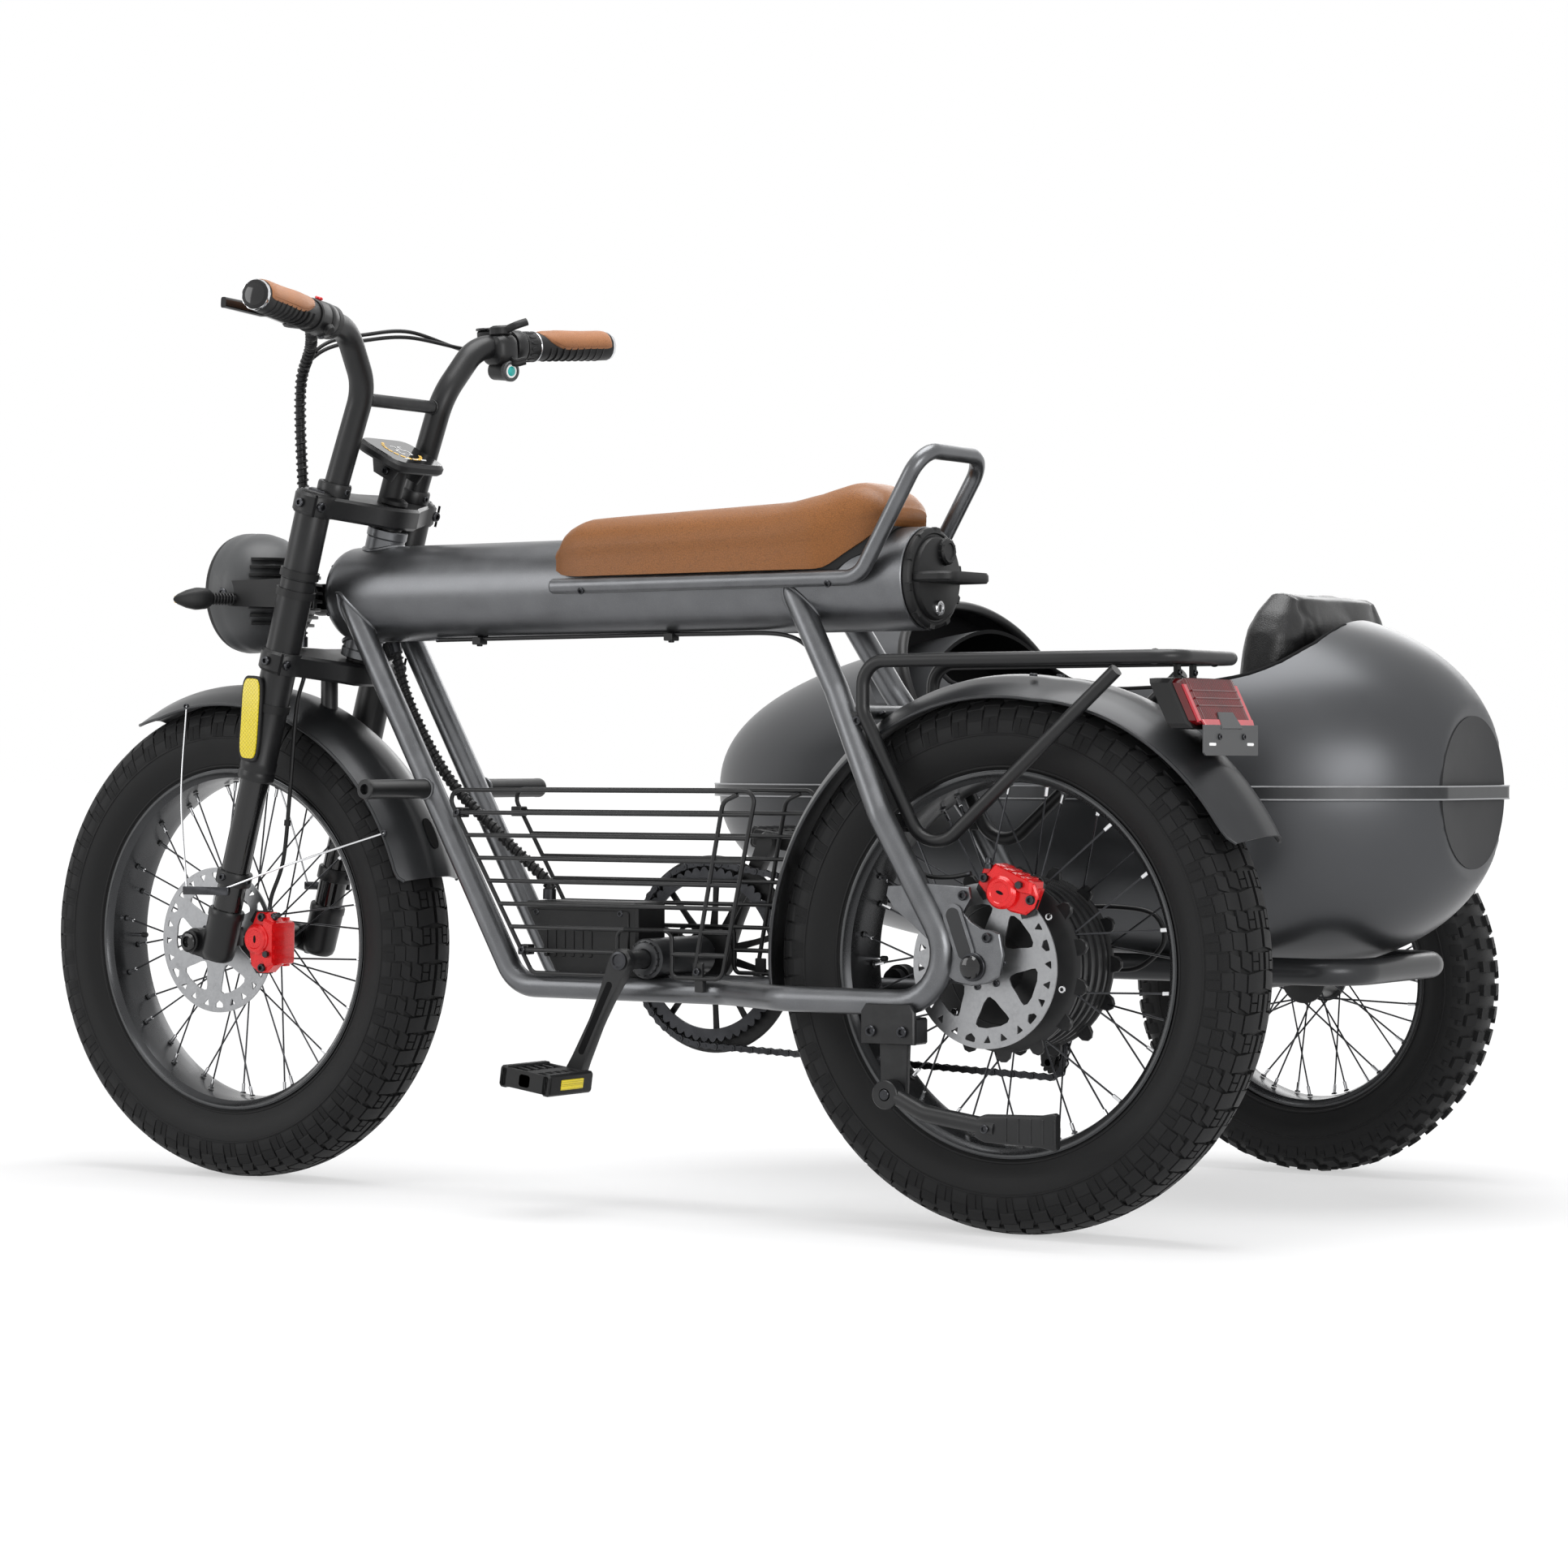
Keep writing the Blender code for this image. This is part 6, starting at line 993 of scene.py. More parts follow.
# Box, grilles and bottom bracket
def make_box():
    form = Form()
    half = LOOP_Y - TUBE_R - JOIN_GAP
    rise = 0.355 - LOW_Z
    lean = 0.256 / (loop_top - LOW_Z) * rise
    foot = 0.497 + rise * 0.28
    outline = [(foot, LOW_Z), (0.664 - lean, LOW_Z), (0.662, 0.352), (0.658, 0.355), (0.5, 0.355),
               (0.497, 0.352), (0.497, LOW_Z + rise * 0.45)]
    form.slab(outline, half * 2, Vector((0, 0, 0)), ALONG_X, ALONG_Z, 0.003)
    for side in (-1, 1):
        inner = [(a + (0.584 - a) * 0.13, b + (0.305 - b) * 0.2) for a, b in outline]
        form.slab(inner, 0.003, Vector((0, side * (half + 0.0006), 0)), ALONG_X, ALONG_Z, 0.001)
        for k in range(6):
            x = 0.56 + 0.013 * k
            form.box((x, side * half - 0.003, 0.29), (x + 0.005, side * half + 0.003, 0.322), 0.0008)
        for x, z in ((0.52, 0.342), (0.642, 0.342), (0.548, 0.27), (0.61, 0.27)):
            form.paint(1).bolt(Vector((x, side * (half + 0.0005), z)), ALONG_Y * side, 0.0038, 0.0026)
            form.paint(0)
    form.make("controller_box_ribbed", [plastic, dark_steel], "frame", ["controller_box"], "black_paint")

    shell = Form()
    shell.lathe([(0.0118, -0.055), (0.021, -0.055), (0.0235, -0.0535), (0.0235, 0.0535), (0.021, 0.055),
                 (0.0118, 0.055)], crank_centre, ALONG_Y, 56)
    for side in (-1, 1):
        shell.lathe([(0.0118, 0.0545), (0.0195, 0.0545), (0.0195, 0.0585), (0.018, 0.0595),
                     (0.0118, 0.0595)], crank_centre, ALONG_Y * side, 40)
        for k in range(16):
            spot = crank_centre + direction(TURN * k / 16) * 0.0196
            shell.rod(spot + ALONG_Y * (side * 0.0546), spot + ALONG_Y * (side * 0.0592), 0.0012, 6)
    shell.box((0.449, -0.03, 0.256), (0.485, 0.03, 0.273), 0.002)
    shell.make("bottom_bracket_cups", [charcoal], "frame", ["bottom_bracket"], "charcoal_paint")


make_box()


def make_grille(side, node):
    form = Form()
    wire = 0.0026
    y = side * 0.064
    top, foot = 0.486, 0.272
    pitch = (top - foot) / 8

    def ends(z):
        """Where the sloping rear and front uprights stand at a height."""
        slopes = ((0.352, 0.305), (0.626, 0.755))
        rear, front = [low + (high - low) * (z - foot) / (top - foot) for low, high in slopes]
        return rear + wire, front - wire
    (rear_low, front_low), (rear_high, front_high) = ends(foot), ends(top)
    shape = [(rear_low, foot), (rear_high, top), (front_high, top), (front_low, foot), (0.503 - wire, foot),
             (0.503 - wire, foot + 2 * pitch), (0.421 + wire, foot + 2 * pitch), (0.421 + wire, foot)]
    outer = [Vector((x, y, z)) for x, z in shape]
    middle = (outer[7] + outer[0]) / 2
    path = rounded([middle] + outer + [middle], [0.012] * 4 + [0.008, 0.01, 0.01, 0.008], 6)
    form.tube(path[:-1], wire, 12, ring=True)
    for level in range(1, 8):
        z = foot + pitch * level
        rear, front = ends(z)
        spans = [(rear, front)] if level > 1 else [(rear, 0.421 + wire), (0.503 - wire, front)]
        for a, b in spans:
            form.rod(Vector((a, y, z)), Vector((b, y, z)), wire, 12)
    # A second, bent upright at the rear.
    inner = [Vector((0.392, y + side * 0.001, foot + 0.004)), Vector((0.352, y + side * 0.001, top - 0.012)),
             Vector((0.332, y + side * 0.001, top - 0.004))]
    form.tube(rounded(inner, [0.014], 6), wire, 12)
    ear = 0.006
    for level in (1, 7):
        z = foot + pitch * level
        x = ends(z)[1] + wire
        low, high = sorted((side * (LOOP_Y + 0.006), y))
        form.box((x - ear * 2, low, z - ear), (x + ear * 0.5, high, z + ear), 0.001)
        form.paint(1).bolt(Vector((x - ear, y + side * 0.002, z)), ALONG_Y * side, 0.0042, 0.003)
        form.paint(0)
    x = (0.352 + 0.421) / 2
    low, high = sorted((side * (LOOP_Y + 0.012), y))
    form.box((x - ear, low, LOW_Z), (x + ear, high, foot), 0.001)
    form.paint(1).bolt(Vector((x, y + side * 0.0026, foot + 0.008)), ALONG_Y * side, 0.0042, 0.003)
    form.paint(0).box((x - 0.007, y - 0.002, foot - 0.002), (x + 0.007, y + 0.002, foot + 0.018), 0.0008)
    form.make(node + "_wires", [black, dark_steel], "frame", [node], "black_paint")


make_grille(1, "grille_left")
make_grille(-1, "grille_right")


# Rack, fenders and tail lamp
def make_rack():
    form = Form()
    brace_top = RACK_Z - RACK_R - (RACK_R * 0.8 + JOIN_GAP)
    half = [(-0.16, brace_top), (0.0733, 0.4123), (0.158, 0.575), (0.158, RACK_Z), (-0.23, RACK_Z)]
    points = [Vector((x, RACK_Y, z)) for x, z in half] + [Vector((x, -RACK_Y, z)) for x, z in reversed(half)]
    path = rounded(points, [0.035, 0.035, 0.035, 0.028, 0.028, 0.035, 0.035, 0.035], 10)
    form.tube(path, RACK_R, 24)
    form.rod(Vector((-0.203, -RACK_Y, RACK_Z)), Vector((-0.203, RACK_Y, RACK_Z)), 0.0072, 24)
    for side in (-1, 1):
        for z in (0.565, 0.4523):
            share = (z - 0.4123) / (0.575 - 0.4123)
            x = 0.0733 + (0.158 - 0.0733) * share
            stay = stay_point(z, 0)
            y = side * RACK_Y
            outline = [(x - 0.004, z - 0.01), (stay.x + 0.002, z - 0.01), (stay.x + 0.004, z + 0.01),
                       (x - 0.004, z + 0.01)]
            form.slab(outline, 0.004, Vector((0, y, 0)), ALONG_X, ALONG_Z, 0.0008)
            form.paint(1).bolt(Vector(((x + stay.x) / 2 - 0.004, y + side * 0.002, z)), ALONG_Y * side,
                               0.0055, 0.0038)
            form.paint(0)
        weld_ring(form, Vector((-0.203, side * 0.0685, RACK_Z)), ALONG_Y, 0.0074, 0.0013)
    form.make("rear_rack_tube", [black, dark_steel], "frame", ["rear_rack"], "black_paint", sharp=40)


make_rack()


def make_fender(name, body, node, centre, start, end, tail_from=None, flare_by=0.0, round_start=0.0,
                extra=None):
    form = Form()
    steps, across = 96, 21
    outer_sections, edges = [], {0: [], across - 1: []}
    for step in range(steps + 1):
        share = step / steps
        degrees = start + (end - start) * share
        way = direction(math.radians(degrees))
        flare = 0.0
        if tail_from is not None and degrees > tail_from:
            flare = flare_by * ((degrees - tail_from) / (end - tail_from)) ** 0.8
        half = FENDER_HALF
        if round_start and share < round_start:
            half *= 0.55 + 0.45 * math.sqrt(share / round_start)
        if share > 0.965:
            half *= math.sqrt(max(0.0, 1 - ((share - 0.965) / 0.035) ** 2)) * 0.12 + 0.88
        outer, inner = [], []
        for i in range(across):
            a = -1 + 2 * i / (across - 1)
            drop = 0.022 * abs(a * half / FENDER_HALF) ** 2.4
            # The middle third stands a little proud, with a soft step at each side of it.
            crown = 0.0022 / (1 + math.exp((abs(a) - 0.42) * 26))
            r = FENDER_R - 0.0022 + flare - drop + crown
            spot = centre + way * r + ALONG_Y * (half * a)
            outer.append(spot)
            inner.append(centre + way * (r - 0.0026) + ALONG_Y * (half * a * 0.985))
            if i in edges:
                edges[i].append(centre + way * (r - 0.0012) + ALONG_Y * (half * a * 0.995))
        outer_sections.append(outer + inner[::-1])
    form.loft(outer_sections)
    for line in edges.values():
        form.tube(line, 0.0021, 8)
    if extra:
        extra(form)
    form.make(name, [charcoal, dark_steel, chrome, black, near_black_and_shade], body, [node], "charcoal_paint",
              sharp=50)


def rear_fender_extra(form):
    for degrees, y in ((96, 0.03), (96, -0.03), (60, 0.034), (60, -0.034)):
        way = direction(math.radians(degrees))
        form.paint(1).bolt(rear_axle + way * 0.3165 + ALONG_Y * y, way, 0.0045, 0.003)


def front_fender_extra(form):
    top = raked(CROWN_LOW - JOIN_GAP, 0, fork_x)
    skin = R_TYRE + math.sqrt(0.315 ** 2 - (top.x - front_axle.x) ** 2)
    form.paint(3).rod(Vector((top.x, 0, skin - 0.002)), top, 0.0105, 24)
    for side in (-1, 1):
        # Wire stays from the fender to the fork's feet.
        for start, end in ((Vector((1.168, side * 0.0572, 0.5885)), Vector((1.116, side * 0.115, 0.36))),
                           (Vector((0.8512, side * 0.0572, 0.4335)), Vector((1.056, side * 0.115, 0.364)))):
            middle = (start + end) / 2 + Vector((0, side * 0.01, 0))
            form.paint(2).tube(smooth_path([start, middle, end], 8), 0.0013, 8)
            form.paint(1).bolt(start, ALONG_Y * side, 0.004, 0.0028)
        form.paint(1).box((1.048, side * 0.115 - 0.002, 0.356), (1.122, side * 0.115 + 0.002, 0.366), 0.001)
    # A near-black slab near the rear end: painted shade standing for a slot.
    way = direction(math.radians(155))
    form.paint(4).slab(superellipse(0.02, 0.009, 2.6, 28), 0.0012, front_axle + way * FENDER_R,
                       ALONG_Y.cross(way), ALONG_Y)


low_start = math.degrees(math.asin((LOW_Z - R_TYRE) / FENDER_R))
make_fender("rear_fender_rolled", "frame", "rear_fender", rear_axle, low_start, 155.0, 100.0, 0.022,
            extra=rear_fender_extra)
make_fender("front_fender_rolled", "steering", "front_fender", front_axle, 60.0, 165.0, round_start=0.1,
            extra=front_fender_extra)


def make_tail_lamp():
    top = RACK_Z - RACK_R - 0.0145
    low = top - 0.055
    x0, x1, half, lean = -0.232, -0.192, 0.065, 0.0265
    base, lens = Form(), Form()

    def ring(y, pull, x_front, x_rear, z0, z1):
        share0, share1 = (top - z0) / 0.055, (top - z1) / 0.055
        return [Vector((x_rear + pull - lean * share1, y, z1)), Vector((x_rear + pull - lean * share0, y,
                                                                        z0)), Vector((x_front - lean
                                                                                      * share0, y, z0)),
                Vector((x_front - lean * share1, y, z1))]

    # Housing behind the lens.
    rows = []
    for y, pull, dz in ((-half, 0.008, 0.006), (-half * 0.94, 0.004, 0.001), (-half * 0.7, 0.0035, 0.0),
                        (half * 0.7, 0.0035, 0.0), (half * 0.94, 0.004, 0.001), (half, 0.008, 0.006)):
        rows.append(ring(y, pull + 0.01, x1, x0, low + dz, top - dz))
    base.loft(rows)
    # Lens with a raised frame, vertical flutes and a pale lower strip.
    rows = []
    count = 60
    for k in range(count + 1):
        y = -half * 0.97 + 2 * half * 0.97 * k / count
        share = abs(y) / half
        pull = 0.006 * max(0, (share - 0.72) / 0.28) ** 2 + 0.0006 * (k % 2)
        dz = 0.007 * max(0, (share - 0.8) / 0.2) ** 2
        rows.append(ring(y, pull, x0 + 0.014, x0 + 0.0005, low + 0.004 + dz, top - 0.001 - dz))
    lens.loft(rows)
    for z in (top - 0.014, top - 0.022, top - 0.03):
        x = x0 - lean * (top - z) / 0.055 + 0.0008
        lens.rod(Vector((x, -half * 0.8, z)), Vector((x, half * 0.8, z)), 0.001, 10)
    share = (top - low - 0.006) / 0.055
    lens_up = Vector((0.4343, 0, 0.9008))
    lens.paint(1).slab([(-half * 0.86, -0.004), (half * 0.86, -0.004), (half * 0.9, 0.003),
                        (-half * 0.9, 0.003)], 0.003, Vector((x0 - lean * share + 0.0012, 0, low + 0.007)),
                       ALONG_Y, lens_up, 0.0006)
    for y in (-half * 0.9, half * 0.9):
        lens.paint(1).slab([(-0.0035, -0.022), (0.0035, -0.022), (0.0035, 0.022), (-0.0035, 0.022)], 0.003,
                           Vector((x0 - lean * 0.5 + 0.0038, y, (top + low) / 2)), ALONG_Y, lens_up, 0.0006)
    # The small grey lamp for the plate below, in the middle of the lens.
    lens.paint(2).slab([(-0.024, -0.01), (0.024, -0.01), (0.017, 0.01), (-0.017, 0.01)], 0.006,
                       Vector((x0 - lean * 0.84 + 0.001, 0, low + 0.0085)), ALONG_Y, lens_up, 0.0012)
    for side in (-1, 1):
        base.paint(0).box((-0.2055, side * 0.018 - 0.0045, top - 0.003),
                          (-0.2005, side * 0.018 + 0.0045, 0.6245), 0.0008)
        base.paint(1).bolt(Vector((-0.2055, side * 0.018, top + 0.006)), -ALONG_X, 0.0032, 0.0024)
    foot = x0 - lean
    plate_low = low - 0.028
    base.paint(3).slab([(-0.063, plate_low), (-0.058, plate_low), (0.058, plate_low),
                        (0.063, plate_low + 0.003), (0.063, low + 0.0045), (-0.063, low + 0.0045),
                        (-0.063, plate_low + 0.003)], 0.0022, Vector((foot + 0.0011, 0, 0)), ALONG_Y,
                       ALONG_Z, 0.0004)
    for side in (-1, 1):
        hole = [(-0.006 + a + (0.012 if a > 0 else 0), b) for a, b in ellipse(0.0016, 0.0016, 16)]
        base.paint(2).slab(hole, 0.0006, Vector((foot - 0.0002, side * 0.044, plate_low + 0.012)), ALONG_Y,
                           ALONG_Z)
        base.paint(1).bolt(Vector((foot, side * 0.028, plate_low + 0.02)), -ALONG_X, 0.0034, 0.002)
    base.make("tail_lamp_housing", [plastic, dark_steel, white_mark, grey_plastic], "frame", ["tail_lamp"],
              "black_paint")
    lens.make("tail_lamp_lens", [lens_dark, lens_bright, grey_plastic], "frame", ["tail_lamp"], "red_lens",
              sharp=25)


make_tail_lamp()


# Sidecar body
POD_X, POD_Y, POD_Z = -0.0618, -0.451, 0.484
POD_AHEAD, POD_BACK, POD_WIDE, POD_UP, POD_DOWN = 0.758, 0.3028, 0.24, 0.2174, 0.213
PLAN, SIDE = 1.845, 2.278      # exponents of the egg's outline from above and from the side


def pod_spot(turn, rise, grow=0.0):
    flat = abs(math.cos(rise)) ** (2 / SIDE)
    along = (POD_AHEAD if math.cos(turn) > 0 else POD_BACK) + grow
    tall = (POD_UP if rise > 0 else POD_DOWN) + grow
    x = POD_X + along * power(math.cos(turn), 2 / PLAN) * flat
    y = POD_Y + (POD_WIDE + grow) * power(math.sin(turn), 2 / PLAN) * flat
    return Vector((max(x, -0.338 - grow), y, POD_Z + tall * power(math.sin(rise), 2 / SIDE)))


def pod_half(grow, low, high, around=176, levels=44):
    """The egg's skin from one rise to another, as rings, with a pole where it reaches the top or bottom."""
    rises = [low + (high - low) * (k / levels) for k in range(levels + 1)]
    return [[pod_spot(TURN * i / around, rise, grow) for i in range(around)] for rise in rises]


MOUTH = [(0, 1.05), (0.008, 0.68), (0.018, 0.52), (0.04, 0.4), (0.062, 0.3), (0.09, 0.22), (0.118, 0.16),
         (0.15, 0.12), (0.2, 0.075), (0.25, 0.043), (0.3, 0.02), (0.4, 0.004), (0.5, 0), (0.62, 0),
         (0.75, 0.004), (0.82, 0.02), (0.88, 0.06), (0.92, 0.12), (0.96, 0.22), (0.982, 0.32), (1, 0.45)]
mouth_line = [(-0.204 + 0.504 * a, 0.602 + 0.0994 * b) for a, b in MOUTH]


def settle(thing):
    """Turns an object's modifiers into its mesh."""
    graph = bpy.context.evaluated_depsgraph_get()
    mesh = bpy.data.meshes.new_from_object(thing.evaluated_get(graph))
    thing.modifiers.clear()
    old, thing.data = thing.data, mesh
    bpy.data.meshes.remove(old)
    return thing


def cut_mouth(thing):
    form = Form()
    outline = mouth_line + [(0.302, 0.8), (-0.206, 0.8)]
    form.slab(outline, 0.6, Vector((0, POD_Y, 0)), ALONG_X, ALONG_Z)
    mesh = bpy.data.meshes.new("mouth")
    mesh.from_pydata([tuple(p + SHIFT) for p in form.points], [], form.faces)
    work = bmesh.new()
    work.from_mesh(mesh)
    bmesh.ops.recalc_face_normals(work, faces=work.faces)
    work.to_mesh(mesh)
    work.free()
    cutter = bpy.data.objects.new("mouth", mesh)
    bpy.context.scene.collection.objects.link(cutter)
    step = thing.modifiers.new("Mouth", "BOOLEAN")
    step.operation, step.object, step.solver = "DIFFERENCE", cutter, "EXACT"
    settle(thing)
    bpy.data.objects.remove(cutter)
    bpy.data.meshes.remove(mesh)
    thing.data.shade_smooth()
    thing.data.set_sharp_from_angle(angle=math.radians(40))


def skin_y(x, z, grow):
    """Where the egg's left skin lies at a place seen from the side, or None outside the egg."""
    along = (POD_AHEAD if x > POD_X else POD_BACK) + grow
    tall = (POD_UP if z > POD_Z else POD_DOWN) + grow
    flat = 1 - (abs(z - POD_Z) / tall) ** SIDE
    if flat <= 0:
        return None
    flat = flat ** (1 / SIDE)
    plan = (abs(x - POD_X) / (along * flat)) ** PLAN
    if plan >= 1:
        return None
    return POD_Y + (POD_WIDE + grow) * flat * (1 - plan) ** (1 / PLAN)


def make_pod():
    for name, node, low, high in (("pod_upper_shell", "pod_upper", 0.012, math.pi / 2),
                                  ("pod_lower_shell", "pod_lower", -math.pi / 2, -0.012)):
        form = Form()
        outer, inner = pod_half(0.0, low, high), pod_half(-0.005, low, high)
        form.loft(outer + inner[::-1] if high > 1 else outer[::-1] + inner, caps=False, ring=True)
        shell = form.make(name, [pod_paint, near_black_and_shade], "frame", [node], "pod_paint", sharp=40)
        work = bmesh.new()
        work.from_mesh(shell.data)
        bmesh.ops.remove_doubles(work, verts=work.verts, dist=1e-5)
        bmesh.ops.dissolve_degenerate(work, edges=work.edges, dist=1e-6)
        bmesh.ops.recalc_face_normals(work, faces=work.faces)
        work.to_mesh(shell.data)
        work.free()
        if high > 1:
            cut_mouth(shell)
        # The inner faces of the same skin take the near-black material: painted shade inside the tub.
        centre = Vector((POD_X, POD_Y, POD_Z)) + SHIFT
        for face in shell.data.polygons:
            toward = (face.center - centre).normalized()
            if face.normal.dot(toward) < -0.05:
                face.material_index = 1

    # The matte disc at the tail.
    form = Form()
    form.lathe([(0, 0), (0.086, 0), (0.088, -0.0006), (0.088, 0.004), (0, 0.004)],
               Vector((-0.3388, POD_Y, POD_Z)), ALONG_X, 96, closed=False)
    form.make("pod_tail_disc", [disc_paint], "frame", slot="pod_paint")

    # Belt round the seam, with a bright bead above and below.
    form = Form()
    around = 220
    profile = [(0.0008, -0.0078), (0.006, -0.0078), (0.007, -0.0068), (0.007, 0.0068), (0.006, 0.0078),
               (0.0008, 0.0078), (-0.0046, 0.0078), (-0.0046, -0.0078)]
    sections = []
    turns = [TURN * i / around for i in range(around)]
    for turn in turns:
        sections.append([Vector((*pod_spot(turn, 0, g).xy, POD_Z + dz)) for g, dz in profile])
    form.loft(sections, caps=False, ring=True)
    for dz in (-0.0073, 0.0073):
        form.paint(1).tube([pod_spot(turn, 0, 0.0066) + ALONG_Z * dz for turn in turns], 0.0011, 8,
                           ring=True)
    form.make("pod_belt_beaded", [charcoal, steel], "frame", ["pod_belt"], "black_rubber", sharp=40)

    # Rubber bead on the mouth's edge, along both sides and across the front and back.
    form = Form()
    dense = []
    for (x0, z0), (x1, z1) in zip(mouth_line, mouth_line[1:]):
        count = max(2, int(math.hypot(x1 - x0, z1 - z0) / 0.006))
        dense += [(x0 + (x1 - x0) * k / count, z0 + (z1 - z0) * k / count) for k in range(count)]
    dense.append(mouth_line[-1])
    left = [(x, skin_y(x, z, -0.0025), z) for x, z in dense]
    left = [Vector(p) for p in left if p[1] is not None]
    right = [Vector((p.x, 2 * POD_Y - p.y, p.z)) for p in left]
    # Over the front and back the two lines meet where the skin reaches the cut.
    ring = left + right[::-1]
    form.tube(smooth_path(ring[:1] + ring + ring[-1:], 1)[1:-1], 0.0036, 10, ring=True)
    form.make("pod_mouth_bead", [near_black_and_shade], "frame", slot="black_rubber", sharp=60)

    # Cowl: a raked hoop, open at the back, with a thick rubber edge.
    form = Form()
    foot, tall, half = 0.59, 0.126, 0.188
    count = 64

    def hoop(x, shrink):
        ring = []
        for i in range(count + 1):
            angle = math.pi * i / count
            y = POD_Y + (half - shrink) * power(math.cos(angle), 0.9)
            rise = (tall - shrink) * abs(math.sin(angle)) ** 0.9
            ring.append(Vector((x + 0.055 * rise / tall, y, foot + rise)))
        return ring
    front, back = 0.352, 0.3
    outer_rows = [hoop(back + (front - back) * t, 0) for t in (0, 0.25, 0.5, 0.75, 1)]
    inner_rows = [hoop(back + (front - back) * t, 0.005) for t in (1, 0.75, 0.5, 0.25, 0)]
    sections = [[row[i] for row in outer_rows + inner_rows] for i in range(count + 1)]
    form.loft(sections)
    form.paint(1).tube(hoop(back + 0.001, 0.0025), 0.0062, 14)
    # The near-black panel that closes the hoop at the front, sloping down into the egg: painted shade in the
    # cowl's mouth.
    middle = hoop(front - 0.004, 0.003)
    centre = Vector((front + 0.01, POD_Y, foot + 0.02))
    sections = [[p + (centre - p) * share + ALONG_X * ahead for p in middle]
                for share, ahead in ((0, 0), (0.5, 0.006), (0.96, 0.008))]
    form.paint(2).loft(sections, caps=False, close=False)
    form.make("pod_cowl_hooded", [pod_paint, hose_rubber, near_black_and_shade], "frame", ["pod_cowl"], "pod_paint",
              sharp=50)


make_pod()


# Padded leather: swelled by Blender's cloth, then seamed
def swell(thing, voxel, cap, pressure, frames):
    """Remeshes a closed form, swells it as cloth, and keeps each point within the cap of where it was."""
    step = thing.modifiers.new("Even", "REMESH")
    step.mode, step.voxel_size = "VOXEL", voxel
    settle(thing)
    before = [v.co.copy() for v in thing.data.vertices]
    cloth = thing.modifiers.new("Leather", "CLOTH")
    cloth.settings.quality = 4
    cloth.settings.use_pressure = True
    cloth.settings.uniform_pressure_force = pressure
    cloth.settings.effector_weights.gravity = 0.0
    cloth.settings.tension_stiffness = cloth.settings.compression_stiffness = 25
    cloth.point_cache.frame_start, cloth.point_cache.frame_end = 1, frames
    scene = bpy.context.scene
    for number in range(1, frames + 1):
        scene.frame_set(number)
    settle(thing)
    scene.frame_set(1)
    for vertex, start in zip(thing.data.vertices, before):
        moved = vertex.co - start
        if moved.length > cap:
            vertex.co = start + moved * (cap / moved.length)


def soft_block(sections, name, node, groove):
    """A black leather block: lofted, swelled, then drawn in where its seams run."""
    thing = Form().loft(sections).make(name, [black_hide, dark_thread, near_black_and_shade], "frame", [node],
                                       "black_leather", sharp=180)
    swell(thing, voxel=0.005, cap=0.004, pressure=4.0, frames=20)
    for vertex in thing.data.vertices:
        vertex.co = vertex.co + groove(vertex.co - SHIFT)
    thing.data.shade_smooth()
    step = thing.modifiers.new("Smooth", "SUBSURF")
    step.levels = step.render_levels = 1


def make_backrest():
    foot = Vector((-0.06, POD_Y, 0.3975))
    top = Vector((-0.115, POD_Y, 0.722))
    rise = (top - foot).normalized()
    ahead = rise.cross(ALONG_Y)
    if ahead.x < 0:
        ahead = -ahead
    long, set_back = (top - foot).length, 0.036
    sections = []
    for k in range(15):
        t = k / 14
        at_foot = 0.2 * (1 - math.sin(math.pi / 2 * min(1, t / 0.1)))
        at_top = 0.24 * (1 - math.cos(math.pi / 2 * max(0, (t - 0.84) / 0.16)))
        thick = 0.034 * (1 - 0.38 * max(0, (t - 0.8) / 0.2) ** 2)
        ring = superellipse(0.149 * (1 - at_foot - at_top), thick, 4.2, 44)
        sections.append(placed(ring, foot + rise * (long * t) - ahead * set_back, ALONG_Y, ahead))

    def groove(spot):
        local = spot - foot + ahead * set_back
        out = local.dot(ahead)
        depth = sum(0.0034 * math.exp(-((local.y - seam) / 0.0055) ** 2) for seam in (0.098, -0.098))
        pull = Vector((0, 0, 0))
        if abs(out) > 0.018:
            pull += ahead * (-math.copysign(depth, out))
        elif local.dot(rise) > long * 0.9:
            pull += rise * (-depth)
        pull += ahead * (-math.copysign(0.0012 * math.exp(-((local.dot(rise) - long * 0.62) / 0.01) ** 2),
                                        out))
        return pull
    soft_block(sections, "backrest_stitched", "pod_backrest", groove)


def make_cushion():
    low, high = 0.3, 0.411
    sections = []
    rows = 9
    for k in range(rows):
        t = k / (rows - 1)
        z = low + (high - low) * t
        reach = skin_y(0.03, max(z, 0.3), -0.012)
        half = min(0.157, (reach - POD_Y) if reach else 0.12)
        eased = 1 - 0.05 * (1 - math.sin(math.pi / 2 * min(1, (1 - t) / 0.15)))
        ring = superellipse(0.162 * eased, (half - 0.002) * eased, 6.0, 44)
        sections.append([Vector((0.035 + a, POD_Y + b, z)) for a, b in ring])

    def groove(spot):
        drop = 0.0
        if spot.z > 0.395:
            drop = sum(0.0045 * math.exp(-((spot.y - POD_Y - seam) / 0.006) ** 2)
                       for seam in (-0.055, 0.055))
            # The back of the cushion steps down under the backrest.
            if spot.x < -0.016:
                drop += 0.026
        return ALONG_Z * -drop
    soft_block(sections, "sidecar_cushion_stitched", "pod_seat", groove)


make_backrest()
make_cushion()


# Grips
def bar_path(side):
    foot = raked(CROWN_HIGH + CROWN_THICK / 2, side * 0.076, 0.034)
    shoulder = raked(0.25, side * 0.076, 0.022)
    bend = raked(0.3, side * 0.125, 0.022)
    end = Vector((0.812, side * 0.3255, 1.051))
    bend.z = end.z - (end.z - bend.z) * 0.5
    return foot, shoulder, bend, end


